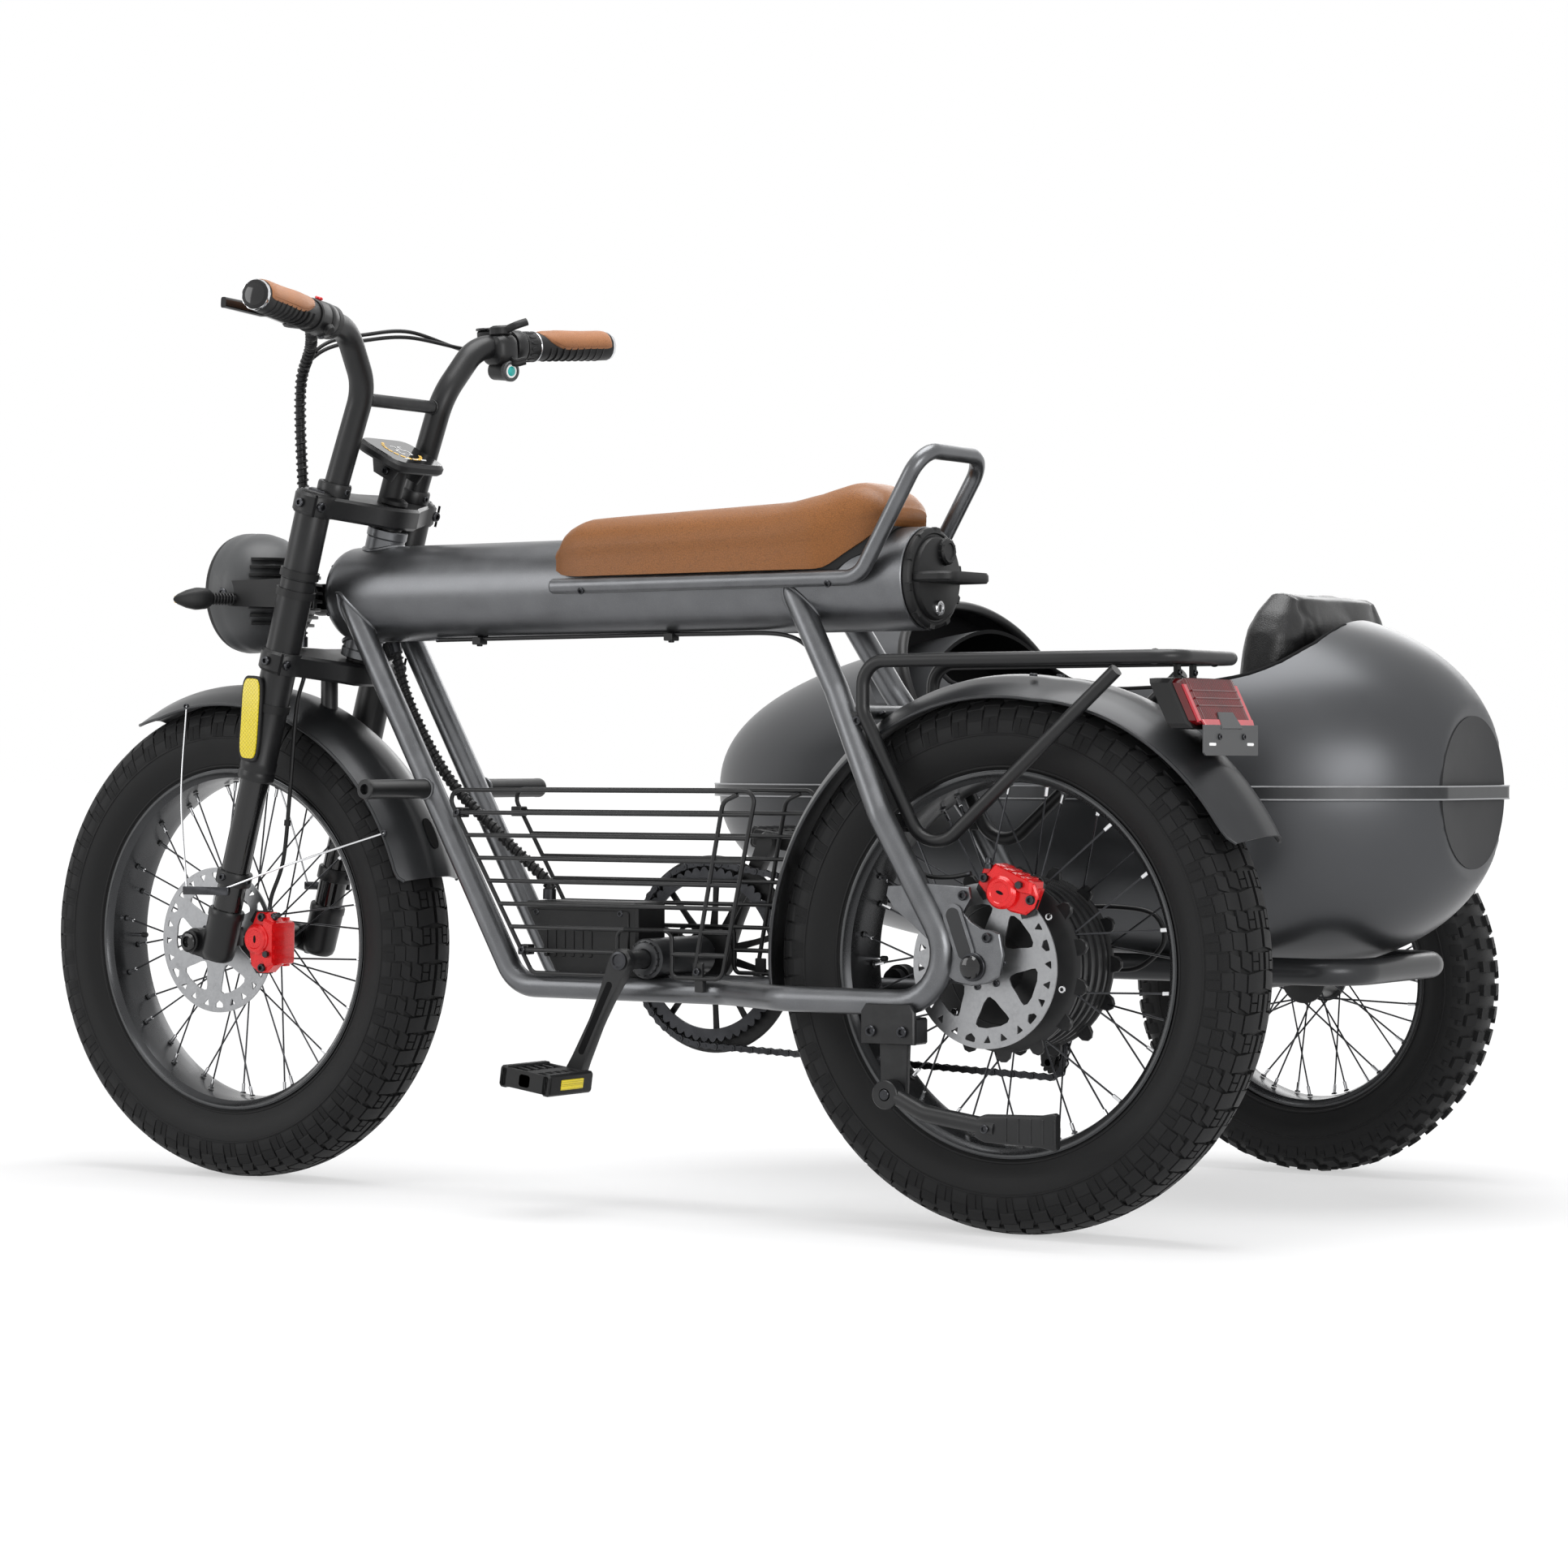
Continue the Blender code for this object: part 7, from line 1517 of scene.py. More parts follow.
def grip_frame(side):
    bend, end = bar_path(side)[2:]
    way = (end - bend).normalized()
    tip = end + way * (0.0175 / abs(way.y))
    start = tip - way * 0.128
    lift = (ALONG_Z - way * way.z).normalized()
    ahead = lift.cross(way)
    if ahead.x < 0:
        ahead = -ahead
    return start, way, lift, ahead


def control_root(side):
    start, way = grip_frame(side)[:2]
    return start - way * 0.0523


def make_grip(side, node):
    start, way, lift, ahead = grip_frame(side)
    base = Form()
    base.lathe([(0.0152, 0.0004), (0.0176, 0.0004), (0.018, 0.003), (0.0168, 0.03), (0.0176, 0.07),
                (0.0182, 0.11), (0.018, 0.121), (0.0172, 0.1262), (0.0152, 0.1275), (0, 0.1275)], start, way,
               48, closed=False)
    for k in range(9):
        along = 0.016 + 0.011 * k
        ring = [start + way * along + (ahead * math.cos(a) - lift * math.sin(a)) * 0.0178
                for a in [math.radians(10 + 160 * j / 16) for j in range(17)]]
        base.tube(ring, 0.0011, 6)
    base.paint(1).lathe([(0.013, 0.1272), (0.0178, 0.1262), (0.0184, 0.124), (0.0184, 0.1225),
                         (0.0176, 0.1218), (0.013, 0.1218)], start, way, 12)
    base.paint(2).lathe([(0, 0.1278), (0.012, 0.1278), (0.0128, 0.1274), (0.0128, 0.1262), (0, 0.1262)],
                        start, way, 36, closed=False)
    base.make(node.replace("grip", "grip_base"), [plastic, chrome, gloss_black], "steering", [node],
              "black_rubber")
    hide = Form()
    rows = []
    profile = [(0.006, 0.0004, 30), (0.01, 0.0016, 50), (0.016, 0.0024, 74), (0.026, 0.003, 92),
               (0.036, 0.0034, 104), (0.048, 0.003, 108), (0.062, 0.0022, 106), (0.08, 0.0016, 104),
               (0.098, 0.0016, 104), (0.11, 0.0016, 104), (0.1165, 0.001, 100), (0.1185, 0.0002, 96)]
    radii = [(0, 0.0178), (0.03, 0.017), (0.07, 0.0178), (0.11, 0.0183), (0.128, 0.0182)]
    dense = []
    for (a0, p0, w0), (a1, p1, w1) in zip(profile, profile[1:]):
        for k in range(4):
            t = k / 4
            dense.append((a0 + (a1 - a0) * t, p0 + (p1 - p0) * t, w0 + (w1 - w0) * t))
    dense.append(profile[-1])
    for along, proud, wide in dense:
        for (a0, r0), (a1, r1) in zip(radii, radii[1:]):
            if a0 <= along <= a1:
                under = r0 + (r1 - r0) * (along - a0) / (a1 - a0)
        outer, inner = [], []
        steps = 26
        for j in range(steps + 1):
            t = -1 + 2 * j / steps
            angle = math.radians(wide) * t
            # The hide's edges roll down to the base.
            height = proud * (1 - abs(t) ** 8) + 0.0002
            arm = lift * math.cos(angle) + ahead * math.sin(angle)
            outer.append(start + way * along + arm * (under + height))
            inner.append(start + way * along + arm * (under - 0.0012))
        rows.append(outer + inner[::-1])
    hide.loft(rows)
    for sign in (-1, 1):
        line = []
        for along, proud, wide in dense[10:-6]:
            angle = math.radians(wide) * 0.9 * sign
            arm = lift * math.cos(angle) + ahead * math.sin(angle)
            line.append(start + way * along + arm * (0.0178 + proud * 0.72 + 0.0002))
        hide.paint(1)
        for a, b in zip(line, line[1:]):
            hide.tube([a + (b - a) * 0.15, a + (b - a) * 0.75], 0.0004, 5)
        hide.paint(0)
    piece = hide.make(node.replace("grip", "grip_hide"), [tan_light, thread], "steering", [node],
                      "brown_leather", sharp=60)


make_grip(1, "grip_left")
make_grip(-1, "grip_right")


# Handlebar, crowns and legs
def make_handlebar():
    form = Form()
    for side in (-1, 1):
        points = list(bar_path(side))
        path = rounded(points, [0.072, 0.054], 12)
        start, way = grip_frame(side)[:2]
        # The bar runs on into the grip and stops short of its end.
        form.tube(path[:-1] + [start + way * 0.001], BAR_R, 28)
        foot = points[0]
        form.lathe([(0.015, -0.002), (0.02, -0.002), (0.0206, 0.0), (0.0206, 0.012), (0.0196, 0.0145),
                    (0.0152, 0.0145)], foot + steer_up * 0.0148, steer_up, 36)
        form.paint(1).bolt(foot + steer_up * 0.0215 - steer_ahead * 0.019, -steer_ahead, 0.004, 0.003)
        form.paint(0)
    foot, shoulder = bar_path(1)[:2]
    spot = foot + (shoulder - foot) * 0.9
    form.rod(Vector((spot.x, -spot.y, spot.z)), spot, 0.008, 24)
    for sign in (-1, 1):
        weld_ring(form, Vector((spot.x, sign * (spot.y - 0.0145), spot.z)), ALONG_Y, 0.0082, 0.0015)
    # Two thin cables run from the right lever across to the wrapped bundle at the left riser.
    way, ahead = grip_frame(-1)[1::2]
    root = control_root(-1)
    for k, rise in enumerate((0.0, 0.007)):
        form.paint(2).tube(smooth_path([root + way * 0.004 + ahead * 0.028,
                                        root - way * 0.03 + ahead * (0.034 + rise),
                                        Vector((0.918, -0.075, 1.046 + rise)),
                                        Vector((0.934, -0.01, 1.038 + rise)),
                                        Vector((0.95, 0.045, 1.024 + rise)),
                                        Vector((0.966, 0.07, 1.0 + rise * 0.5)),
                                        Vector((0.9715 + 0.002 * k, 0.069, 0.982))], 10), 0.0024, 10)
    form.make("handlebar_bent", [black, dark_steel, hose_rubber], "steering", ["handlebar"], "black_paint",
              sharp=45)


make_handlebar()


def crown_outline():
    wide, edge, off = 0.096, 0.03, fork_x
    left = [(wide + edge * 0.93 * a * 0.93, off + edge * 0.86 * b) for a, b in arc(1, -100, 190, 12)]
    front = [(wide * 0.55, off + edge * 0.74), (wide * 0.3, off + edge * 0.66), (0.0, off + edge * 0.62)]
    back = [(edge * 1.25, -edge * 0.45), (edge * 0.85, -edge * 0.74), (0.0, -edge * 0.8)]
    half = left + front
    outline = half + [(-a, b) for a, b in reversed(half[:-1])]
    return outline + [(-a, b) for a, b in back[:-1]] + [back[-1]] + back[-2::-1]


def make_crowns():
    form = Form()
    thick = CROWN_THICK
    for low in (CROWN_LOW, CROWN_HIGH):
        origin = steer_base + steer_up * (low + thick / 2)
        form.paint(0).slab(crown_outline(), thick - 0.0002, origin, ALONG_Y, steer_ahead, 0.0035)
        for side in (-1, 1):
            # Pinch bolts at the back of each end, and the slit that they close, drawn as a thin near-black
            # sheet of painted shade.
            spot = raked(low + thick / 2, side * 0.11, fork_x - 0.0215)
            form.paint(1).bolt(spot, -steer_ahead, 0.0062, 0.0045)
            form.paint(2).slab([(-0.0005, -0.0134), (0.0005, -0.0134), (0.0005, 0.0134), (-0.0005, 0.0134)],
                               0.003, raked(low + thick / 2, side * 0.118, fork_x - 0.0195), ALONG_Y,
                               steer_up)
            spot = raked(low + thick / 2, side * 0.1235, fork_x)
            form.paint(1).bolt(spot - ALONG_Y * (side * 0.001), ALONG_Y * side, 0.0055, 0.004)
    form.paint(0).rod(raked(-0.0975, 0, 0), raked(-0.0802, 0, 0), 0.0165, 36)
    form.paint(3).lathe([(0, 0), (0.015, 0), (0.0165, 0.0015), (0.0165, 0.006), (0.012, 0.009),
                         (0.006, 0.0098), (0, 0.0098)], raked(0.113, 0, 0), steer_up, 40, closed=False)
    form.paint(0).rod(raked(0.082, 0, 0), raked(0.0862, 0, 0), 0.0165, 36)
    form.make("fork_crowns_clamped", [black, dark_steel, near_black_and_shade, plastic], "steering", ["fork_crowns"],
              "black_paint")


make_crowns()


def make_leg(side, node):
    form = Form()
    base = raked(0, side * fork_y, fork_x)
    foot = axle_down - 0.014
    outer_low, outer_high, low_top, cast_top = -0.247, 0.113, -0.364, -0.413
    # Outer tube with its shallow step, seam line and dust cap.
    form.lathe([(0.0182, outer_low), (0.0214, outer_low), (0.0224, outer_low + 0.002),
                (0.0224, outer_low + 0.009), (0.0216, outer_low + 0.0105), (0.0216, outer_low + 0.0125),
                (0.0224, outer_low + 0.014), (0.0224, outer_low + 0.0235), (0.0215, outer_low + 0.0255),
                (0.0213, -0.1112), (0.0213, -0.0838), (0.0213, 0.005), (0.0208, 0.0056), (0.0208, 0.0066),
                (0.0213, 0.0072), (0.0213, outer_high - 0.0008), (0.02, outer_high + 0.0018),
                (0.0182, outer_high + 0.003)], base, steer_up, 56, closed=False)
    form.paint(1).lathe([(0, outer_high + 0.005), (0.01, outer_high + 0.005), (0.0115, outer_high + 0.0042),
                         (0.012, outer_high + 0.003), (0.0182, outer_high + 0.003),
                         (0.019, outer_high + 0.0018), (0.019, outer_high - 0.002), (0, outer_high - 0.002)],
                        base, steer_up, 6, closed=False)
    form.paint(2).lathe([(0.0182, outer_low), (0.0182, outer_low + 0.004), (0.017, outer_low + 0.004),
                         (0.017, outer_low)], base, steer_up, 40)
    # Polished stanchion.
    form.paint(2).lathe([(0.0176, cast_top - 0.002), (0.0176, outer_low + 0.002)], base, steer_up, 56,
                        closed=False)
    # Clamp ring of the fender's wire stays.
    form.paint(0).lathe([(0.0174, low_top), (0.021, low_top), (0.022, low_top - 0.0016),
                         (0.022, low_top - 0.015), (0.021, low_top - 0.0166), (0.0174, low_top - 0.0166)],
                        base, steer_up, 48)
    # Lower casting: collar, waisted tube and the axle's clamp.
    form.lathe([(0.0174, cast_top), (0.0212, cast_top), (0.0222, cast_top - 0.0016),
                (0.0222, cast_top - 0.009), (0.0212, cast_top - 0.011), (0.0206, foot + 0.01),
                (0.019, foot + 0.004), (0.015, foot + 0.0006), (0, foot)], base, steer_up, 56, closed=False)
    form.paint(1)
    form.bolt(raked(low_top - 0.007, side * (fork_y + 0.0215), fork_x), ALONG_Y * side, 0.0046, 0.0035)
    form.bolt(raked(low_top - 0.007, side * fork_y, fork_x - 0.0215), -steer_ahead, 0.004, 0.003)
    form.paint(0)
    reach = (front_axle - raked(axle_down, 0, fork_x)).length
    y = side * fork_y
    outline = arc(0.0165, -105, 210, 16, (reach, 0))
    outline += [(0.012, 0.026), (0.0, 0.0285), (-0.006, 0.012), (-0.004, -0.012), (0.0, -0.015)]
    form.slab(outline, 0.0216, raked(axle_down, y, fork_x), steer_ahead, steer_up, 0.003)
    form.paint(1).bolt(raked(axle_down - 0.015, y, fork_x + reach * 0.5), -steer_up, 0.0042, 0.003)
    # Axle end: a wide dark washer and a socket.
    form.paint(3).lathe([(0, 0), (0.0125, 0), (0.0135, -0.001), (0.0135, -0.003), (0.011, -0.0036),
                         (0.0075, -0.0036)], front_axle + ALONG_Y * (y + side * 0.0147), -ALONG_Y * side, 44,
                        closed=False)
    if side > 0:
        # Rounded yellow reflector in its black holder.
        low, high = Vector((1.011, 0.1205, 0.522)), Vector((1.003, 0.1205, 0.622))
        up = (high - low).normalized()
        across = ALONG_Y.cross(up)
        middle = (low + high) / 2
        form.paint(3).slab(superellipse(0.0165, 0.052, 5.0, 36), 0.005, middle, across, up, 0.0014)
        form.paint(4).slab(superellipse(0.0132, 0.0486, 5.0, 36), 0.003, middle + ALONG_Y * 0.0026, across,
                           up, 0.0009)
        form.paint(3).box((middle.x - 0.01, 0.104, middle.z - 0.008), (middle.x + 0.004, 0.119,
                                                                       middle.z + 0.008), 0.001)
        form.lathe([(0.0216, 0), (0.0232, 0), (0.0232, 0.01), (0.0216, 0.01)], raked(-0.16, y, fork_x),
                   steer_up, 36)
    form.make(node + "_cast", [black, dark_steel, gloss_black, plastic, yellow], "steering", [node],
              "black_paint", sharp=38)


make_leg(1, "fork_leg_left")
make_leg(-1, "fork_leg_right")


# Display, controls, headlamp
def make_display():
    tilt = math.radians(28)
    along = direction(tilt)
    up = Vector((-math.sin(tilt), 0, math.cos(tilt)))
    centre = Vector((0.872, 0, 0.891))
    form = Form()
    form.slab(superellipse(0.0395, 0.0485, 6.0, 44), 0.013, centre, along, ALONG_Y, 0.0035)
    form.paint(1).slab(superellipse(0.0362, 0.0452, 6.0, 44), 0.0014, centre + up * 0.0066, along, ALONG_Y,
                       0.0005)
    face = centre + up * 0.0076
    form.paint(2)
    # Eleven dashes of the speed scale.
    for k in range(11):
        dash = arc(0.0275, -60 + 20 * k, 15, 4) + arc(0.0235, -45 + 20 * k, -15, 4)
        form.slab([(-b * 0.95 + 0.002, a) for a, b in dash], 0.0003, face, along, ALONG_Y)
    form.paint(3)

    def stroke(a, b, w, h):
        outline = [(a - h / 2, b - w / 2), (a + h / 2, b - w / 2), (a + h / 2, b + w / 2),
                   (a - h / 2, b + w / 2)]
        form.slab(outline, 0.0003, face, along, ALONG_Y)
    # Seven-stroke digits of the speed, and three small bars below them.
    rise, side = 0.0105, 0.0038
    flat, tall = (0.007, 0.0014), (0.0014, 0.0088)
    strokes = {"a": (rise, 0, flat), "g": (0, 0, flat), "d": (-rise, 0, flat), "b": (rise / 2, -side, tall),
               "c": (-rise / 2, -side, tall), "e": (-rise / 2, side, tall), "f": (rise / 2, side, tall)}
    for offset, keys in ((0.0068, "abdeg"), (-0.0068, "acdfg")):
        for up_by, left_by, size in (strokes[key] for key in keys):
            stroke(0.003 + up_by, offset + left_by, *size)
    for k in range(3):
        stroke(-0.022, -0.016 + 0.016 * k, 0.009, 0.0022)
    # Cradle under the tablet: two arms and a neck to the crown.
    form.paint(0)
    neck = raked(0.0995, 0, fork_x * 0.2)
    form.rod(neck + steer_up * 0.012, centre - up * 0.004, 0.014, 32)
    for side in (-1, 1):
        form.slab([(-0.02, -0.026), (0.01, -0.026), (0.024, -0.004), (-0.026, -0.004)], 0.0045,
                  centre + ALONG_Y * (side * 0.025), along, up, 0.001)
        form.paint(4).bolt(centre + ALONG_Y * (side * 0.0272) - up * 0.016 - along * 0.008, ALONG_Y * side,
                           0.005, 0.0038)
        form.paint(0)
    form.make("display_tablet", [plastic, glass, amber_mark, white_mark, dark_steel], "steering",
              ["display"], "display_glass")


make_display()


def make_control(side, node):
    way, lift, ahead = grip_frame(side)[1:]
    root = control_root(side)
    form = Form()

    def collar(profile, steps):
        """A sleeve on the bar whose skin has these radii and places."""
        bored = [(CLAMP_BORE, profile[0][1])] + profile + [(CLAMP_BORE, profile[-1][1])]
        form.lathe(bored, root, way, steps)
    # Lever clamp with its bolt.
    collar([(0.02, 0.012), (0.0208, 0.0135), (0.0208, 0.0265), (0.02, 0.028)], 48)
    form.paint(1).bolt(root + way * 0.02 - lift * 0.02, -lift, 0.004, 0.003)
    form.paint(0)
    knuckle = root + way * 0.0286
    reach = knuckle + ahead * 0.048
    # Master body running inboard along the bar, with a flat top.
    tank_in = root + way * 0.004 + ahead * 0.028
    tank_out = reach - ahead * 0.006 + way * 0.002
    tank = tank_out - tank_in
    axis = tank.normalized()
    other = lift.cross(axis).normalized()
    sizes = ((0, 0.0068, 0.0062), (0.1, 0.0084, 0.0078), (0.45, 0.0088, 0.0084), (0.75, 0.0092, 0.0088),
             (0.92, 0.0088, 0.0084), (1.0, 0.0072, 0.0066))
    form.loft([placed(superellipse(wide, tall, 4.0, 28), tank_in + tank * t, other, lift)
               for t, wide, tall in sizes])
    form.rod(root + way * 0.02 + ahead * 0.016, root + way * 0.02 + ahead * 0.036, 0.0078, 28, 0.0015)
    # Fluid reservoir with its lid, on the master body.
    spot = tank_in + tank * 0.42 + lift * 0.015
    form.slab(superellipse(0.025, 0.014, 5.0, 28), 0.015, spot, axis, other, 0.002)
    form.paint(2).slab(superellipse(0.0262, 0.0152, 5.0, 28), 0.0034, spot + lift * 0.009, axis, other,
                       0.001)
    form.paint(1).bolt(reach + lift * 0.0082 - ahead * 0.004, lift, 0.0048, 0.0022)
    # Curved blade with a ball end.
    form.paint(2)
    tip = reach + way * 0.138 + Vector((0, 0, -0.005))
    mid = reach + way * 0.0525 - ahead * 0.005
    route = rounded([reach - ahead * 0.004 - way * 0.004, mid, tip], [0.15], 20)
    rows = []
    last = len(route) - 1
    for k, spot in enumerate(route):
        t = k / last
        tall = 0.0052 + 0.0022 * t
        if t > 0.97:
            tall *= 0.86
        rows.append(placed(superellipse(0.0034, tall, 4.0, 24), spot, ahead, lift))
    form.loft(rows)
    if side > 0:
        # Switch housing, a small red button and the horn button.
        form.paint(3)
        collar([(0.019, 0), (0.0206, 0.0015), (0.0206, 0.01), (0.019, 0.0115)], 40)
        collar([(0.0196, 0.0285), (0.0204, 0.03), (0.0204, 0.05), (0.019, 0.0515)], 40)
        spot = root + way * 0.04
        form.paint(4).rod(spot + lift * 0.0195 - ahead * 0.006, spot + lift * 0.0228 - ahead * 0.007, 0.0048,
                          24, 0.0008)
        spot = root + way * 0.034
        form.paint(3).rod(spot - lift * 0.012 - ahead * 0.016, spot - lift * 0.018 - ahead * 0.02, 0.0065,
                          24, 0.001)
    else:
        # Twist throttle sleeve with oval dimples, a chrome ring, the shifter pod and the round button below.
        form.paint(3)
        collar([(0.019, 0.03), (0.0196, 0.031), (0.0186, 0.033), (0.0186, 0.048), (0.0194, 0.0492),
                (0.0194, 0.05)], 48)
        for k in range(14):
            angle = TURN * k / 14
            arm = lift * math.cos(angle) + ahead * math.sin(angle)
            form.slab(ellipse(0.006, 0.0026, 16), 0.001, root + way * 0.0405 + arm * 0.0188, way,
                      way.cross(arm), 0.0003)
        form.paint(5)
        collar([(0.019, 0.0502), (0.0194, 0.0508), (0.0194, 0.0516), (0.019, 0.0521)], 48)
        pod = root + way * 0.002 - ahead * 0.004 - lift * 0.004
        rows = []
        for t, size in ((0, 0.012), (0.1, 0.0176), (0.3, 0.0206), (0.7, 0.0206), (0.9, 0.018), (1, 0.0125)):
            spot = pod - way * 0.026 + way * (0.034 * t)
            rows.append(placed(superellipse(size, size * 0.98, 3.2, 32), spot, ahead, lift))
        form.paint(0).loft(rows)
        # Shifter dial with its thumb lever.
        dial = pod - way * 0.01 - ahead * 0.004
        form.paint(3).rod(dial + lift * 0.018, dial + lift * 0.029, 0.0135, 40, 0.0016)
        form.paint(2).rod(dial + lift * 0.0288, dial + lift * 0.03, 0.0105, 36, 0.0005)
        form.paint(6).slab([(0.006, -0.0006), (0.0094, -0.0006), (0.0094, 0.0006), (0.006, 0.0006)], 0.0004,
                           dial + lift * 0.0301, way, ahead)
        thumb = [dial + lift * 0.024 - ahead * 0.01, dial + lift * 0.029 - ahead * 0.022 + way * 0.008,
                 dial + lift * 0.033 - ahead * 0.026 + way * 0.022]
        form.paint(3).tube(smooth_path(thumb, 8), 0.005, 12, flat=0.6)
        for drop in (0.016, 0.022):
            a = pod - way * 0.006 - lift * drop * 0.6 - ahead * 0.012
            trigger = [a, a - ahead * 0.012 - lift * 0.006, a - ahead * 0.018 + way * 0.012 - lift * 0.004]
            form.paint(3).tube(smooth_path(trigger, 6), 0.0034, 10, flat=0.6)
        hang = pod - lift * 0.027 - ahead * 0.012 - way * 0.008
        form.paint(0).rod(pod - lift * 0.012 - way * 0.008, hang, 0.006, 20)
        face = -(ahead * 0.92 + ALONG_Z * 0.1).normalized()
        form.rod(hang - face * 0.026, hang + face * 0.001, 0.0122, 40, 0.0012)
        form.paint(7).lathe([(0, 0), (0.0118, 0), (0.013, 0.0012), (0.013, 0.0062), (0.0118, 0.0075),
                             (0.0092, 0.0075), (0.0092, 0.006), (0, 0.006)], hang, face, 40, closed=False)
        form.paint(6).lathe([(0.0062, 0.0066), (0.0078, 0.0068), (0.0086, 0.0062), (0.0086, 0.005),
                             (0.0062, 0.005)], hang, face, 36)
        form.paint(8).lathe([(0, 0.005), (0.0064, 0.005), (0.0064, 0.0064), (0.004, 0.0072), (0, 0.0074)],
                            hang, face, 36, closed=False)
    form.make(node + "_levers", [black, dark_steel, gloss_black, plastic, red, chrome, white_mark,
                                 grey_plastic, teal], "steering", [node], "black_paint")


make_control(1, "control_left")
make_control(-1, "control_right")


def make_headlamp():
    centre = Vector((1.114, 0, 0.73))
    wide, deep = 0.075, 0.082
    form = Form()
    # Bowl with its rounded back, rim, glass with a round centre, and upright flutes.
    form.paint(0).lathe([(wide * 0.985, 0.004), (wide, 0.0), (wide, -deep * 0.1),
                         (wide * 0.985, -deep * 0.18), (wide * 0.995, -deep * 0.22),
                         (wide * 0.985, -deep * 0.34), (wide * 0.935, -deep * 0.5),
                         (wide * 0.83, -deep * 0.68), (wide * 0.66, -deep * 0.85),
                         (wide * 0.42, -deep * 0.95), (wide * 0.2, -deep * 0.995), (0, -deep)], centre,
                        ALONG_X, 80, closed=False)
    form.paint(1).lathe([(wide * 0.84, 0.006), (wide * 0.9, 0.0105), (wide * 0.97, 0.009),
                         (wide * 0.99, 0.004), (wide * 0.985, -0.002), (wide * 0.84, -0.002)], centre,
                        ALONG_X, 80)
    form.paint(2).lathe([(wide * 0.85, 0.0045), (wide * 0.6, 0.0085), (wide * 0.3, 0.0108), (0, 0.0112)],
                        centre, ALONG_X, 72, closed=False)
    form.paint(1).lathe([(0, 0.0115), (wide * 0.18, 0.0118), (wide * 0.2, 0.0108), (wide * 0.2, 0.0095),
                         (0, 0.0095)], centre, ALONG_X, 48, closed=False)
    for k in range(-6, 7):
        y = wide * 0.12 * k
        reach = math.sqrt(max(0.0, (wide * 0.83) ** 2 - y * y)) * 0.92
        spot = centre + Vector((0.0048 + 0.005 * (1 - (y / (wide * 0.83)) ** 2), y, 0))
        form.paint(2).rod(spot - ALONG_Z * reach, spot + ALONG_Z * reach, 0.0012, 8)
    # Black fin cage on the back of the bowl.
    for k in range(9):
        level = -0.04 + 0.01 * k
        away = math.sqrt(max(0.0002, 1 - (level / (wide * 0.99)) ** 2))
        bow = arc(1, -62, 124, 14)
        outline = [(-deep * (0.36 + 0.74 * away * a), (wide * away + 0.0035) * b) for a, b in bow]
        outline += [(-deep * (0.3 + 0.56 * away * a), (wide * away - 0.01) * b) for a, b in bow[::-1]]
        fin = [placed(outline, centre + ALONG_Z * (level + half), ALONG_X, ALONG_Y)
               for half in (-0.0016, 0.0016)]
        form.paint(1).loft(fin)
    leg = raked(0, 0, fork_x)
    for side in (-1, 1):
        y = side * 0.0695
        # Bracket plate with its two bolts.
        outline = [(leg.x - 0.004, centre.z - 0.024), (leg.x - 0.006, centre.z + 0.004),
                   (leg.x + 0.004, centre.z + 0.014), (centre.x - 0.02, centre.z + 0.013),
                   (centre.x - 0.008, centre.z + 0.004), (centre.x - 0.008, centre.z - 0.01),
                   (centre.x - 0.02, centre.z - 0.018)]
        form.paint(1).slab(outline, 0.004, Vector((0, y, 0)), ALONG_X, ALONG_Z, 0.001)
        for x, z in ((leg.x + 0.012, centre.z - 0.002), (centre.x - 0.02, centre.z - 0.002)):
            form.paint(3).bolt(Vector((x, y + side * 0.0018, z)), ALONG_Y * side, 0.0064, 0.005)
        # Two clamp rings round the leg, and a block between them and the plate.
        for along in (-0.012, 0.012):
            form.paint(1).lathe([(0.0216, 0), (0.024, 0), (0.024, 0.009), (0.0216, 0.009)],
                                raked(along - 0.0045, side * fork_y, fork_x), steer_up, 40)
        form.box((leg.x + 0.016, min(y, side * 0.09), centre.z - 0.02), (leg.x + 0.03, max(y, side * 0.09),
                                                                         centre.z + 0.006), 0.0015)
        root = Vector((centre.x - deep * 0.45, y, centre.z - 0.01))
        knee = root + Vector((0.014, side * 0.0336, 0))
        tip = Vector((centre.x - deep * 0.1, side * 0.15, centre.z - 0.012))
        stalk = knee - root
        form.paint(4)
        count = 7
        for k in range(count):
            a = root + stalk * (0.12 + 0.8 * k / count)
            form.lathe([(0.0052, 0), (0.0076, 0.0004), (0.008, 0.0012), (0.0076, 0.0022), (0.0052, 0.0028)],
                       a, stalk, 24)
        form.rod(root, knee, 0.0056, 20)
        way = tip - knee
        # Pointed body: flat-sided, its lens on the rear face.
        axis = way.normalized()
        side_way = ALONG_Z.cross(axis).normalized()
        sizes = ((-0.1, 0.006, 0.006), (0.0, 0.0105, 0.01), (0.12, 0.0135, 0.013), (0.35, 0.014, 0.0138),
                 (0.6, 0.0112, 0.0112), (0.85, 0.0062, 0.0066), (0.97, 0.0022, 0.003), (1.0, 0.0008, 0.0012))
        form.paint(1).loft([placed(superellipse(w, h, 2.8, 32), knee + way * t, side_way, ALONG_Z)
                            for t, w, h in sizes])
        lens = [(way.length * t, w) for t, w in ((0.12, 0.0085), (0.35, 0.0098), (0.6, 0.0076),
                                                 (0.82, 0.004))]
        outline = lens + [(a, -b) for a, b in reversed(lens)]
        back = side_way if side_way.x > 0 else -side_way
        form.paint(5).slab(outline, 0.0024, knee + back * 0.0128, axis, ALONG_Z, 0.0008)
    form.make("headlamp_bowl", [grey_plastic, plastic, clear_lens, dark_steel, hose_rubber, amber_mark],
              "steering", ["headlamp"], "black_paint", sharp=35)


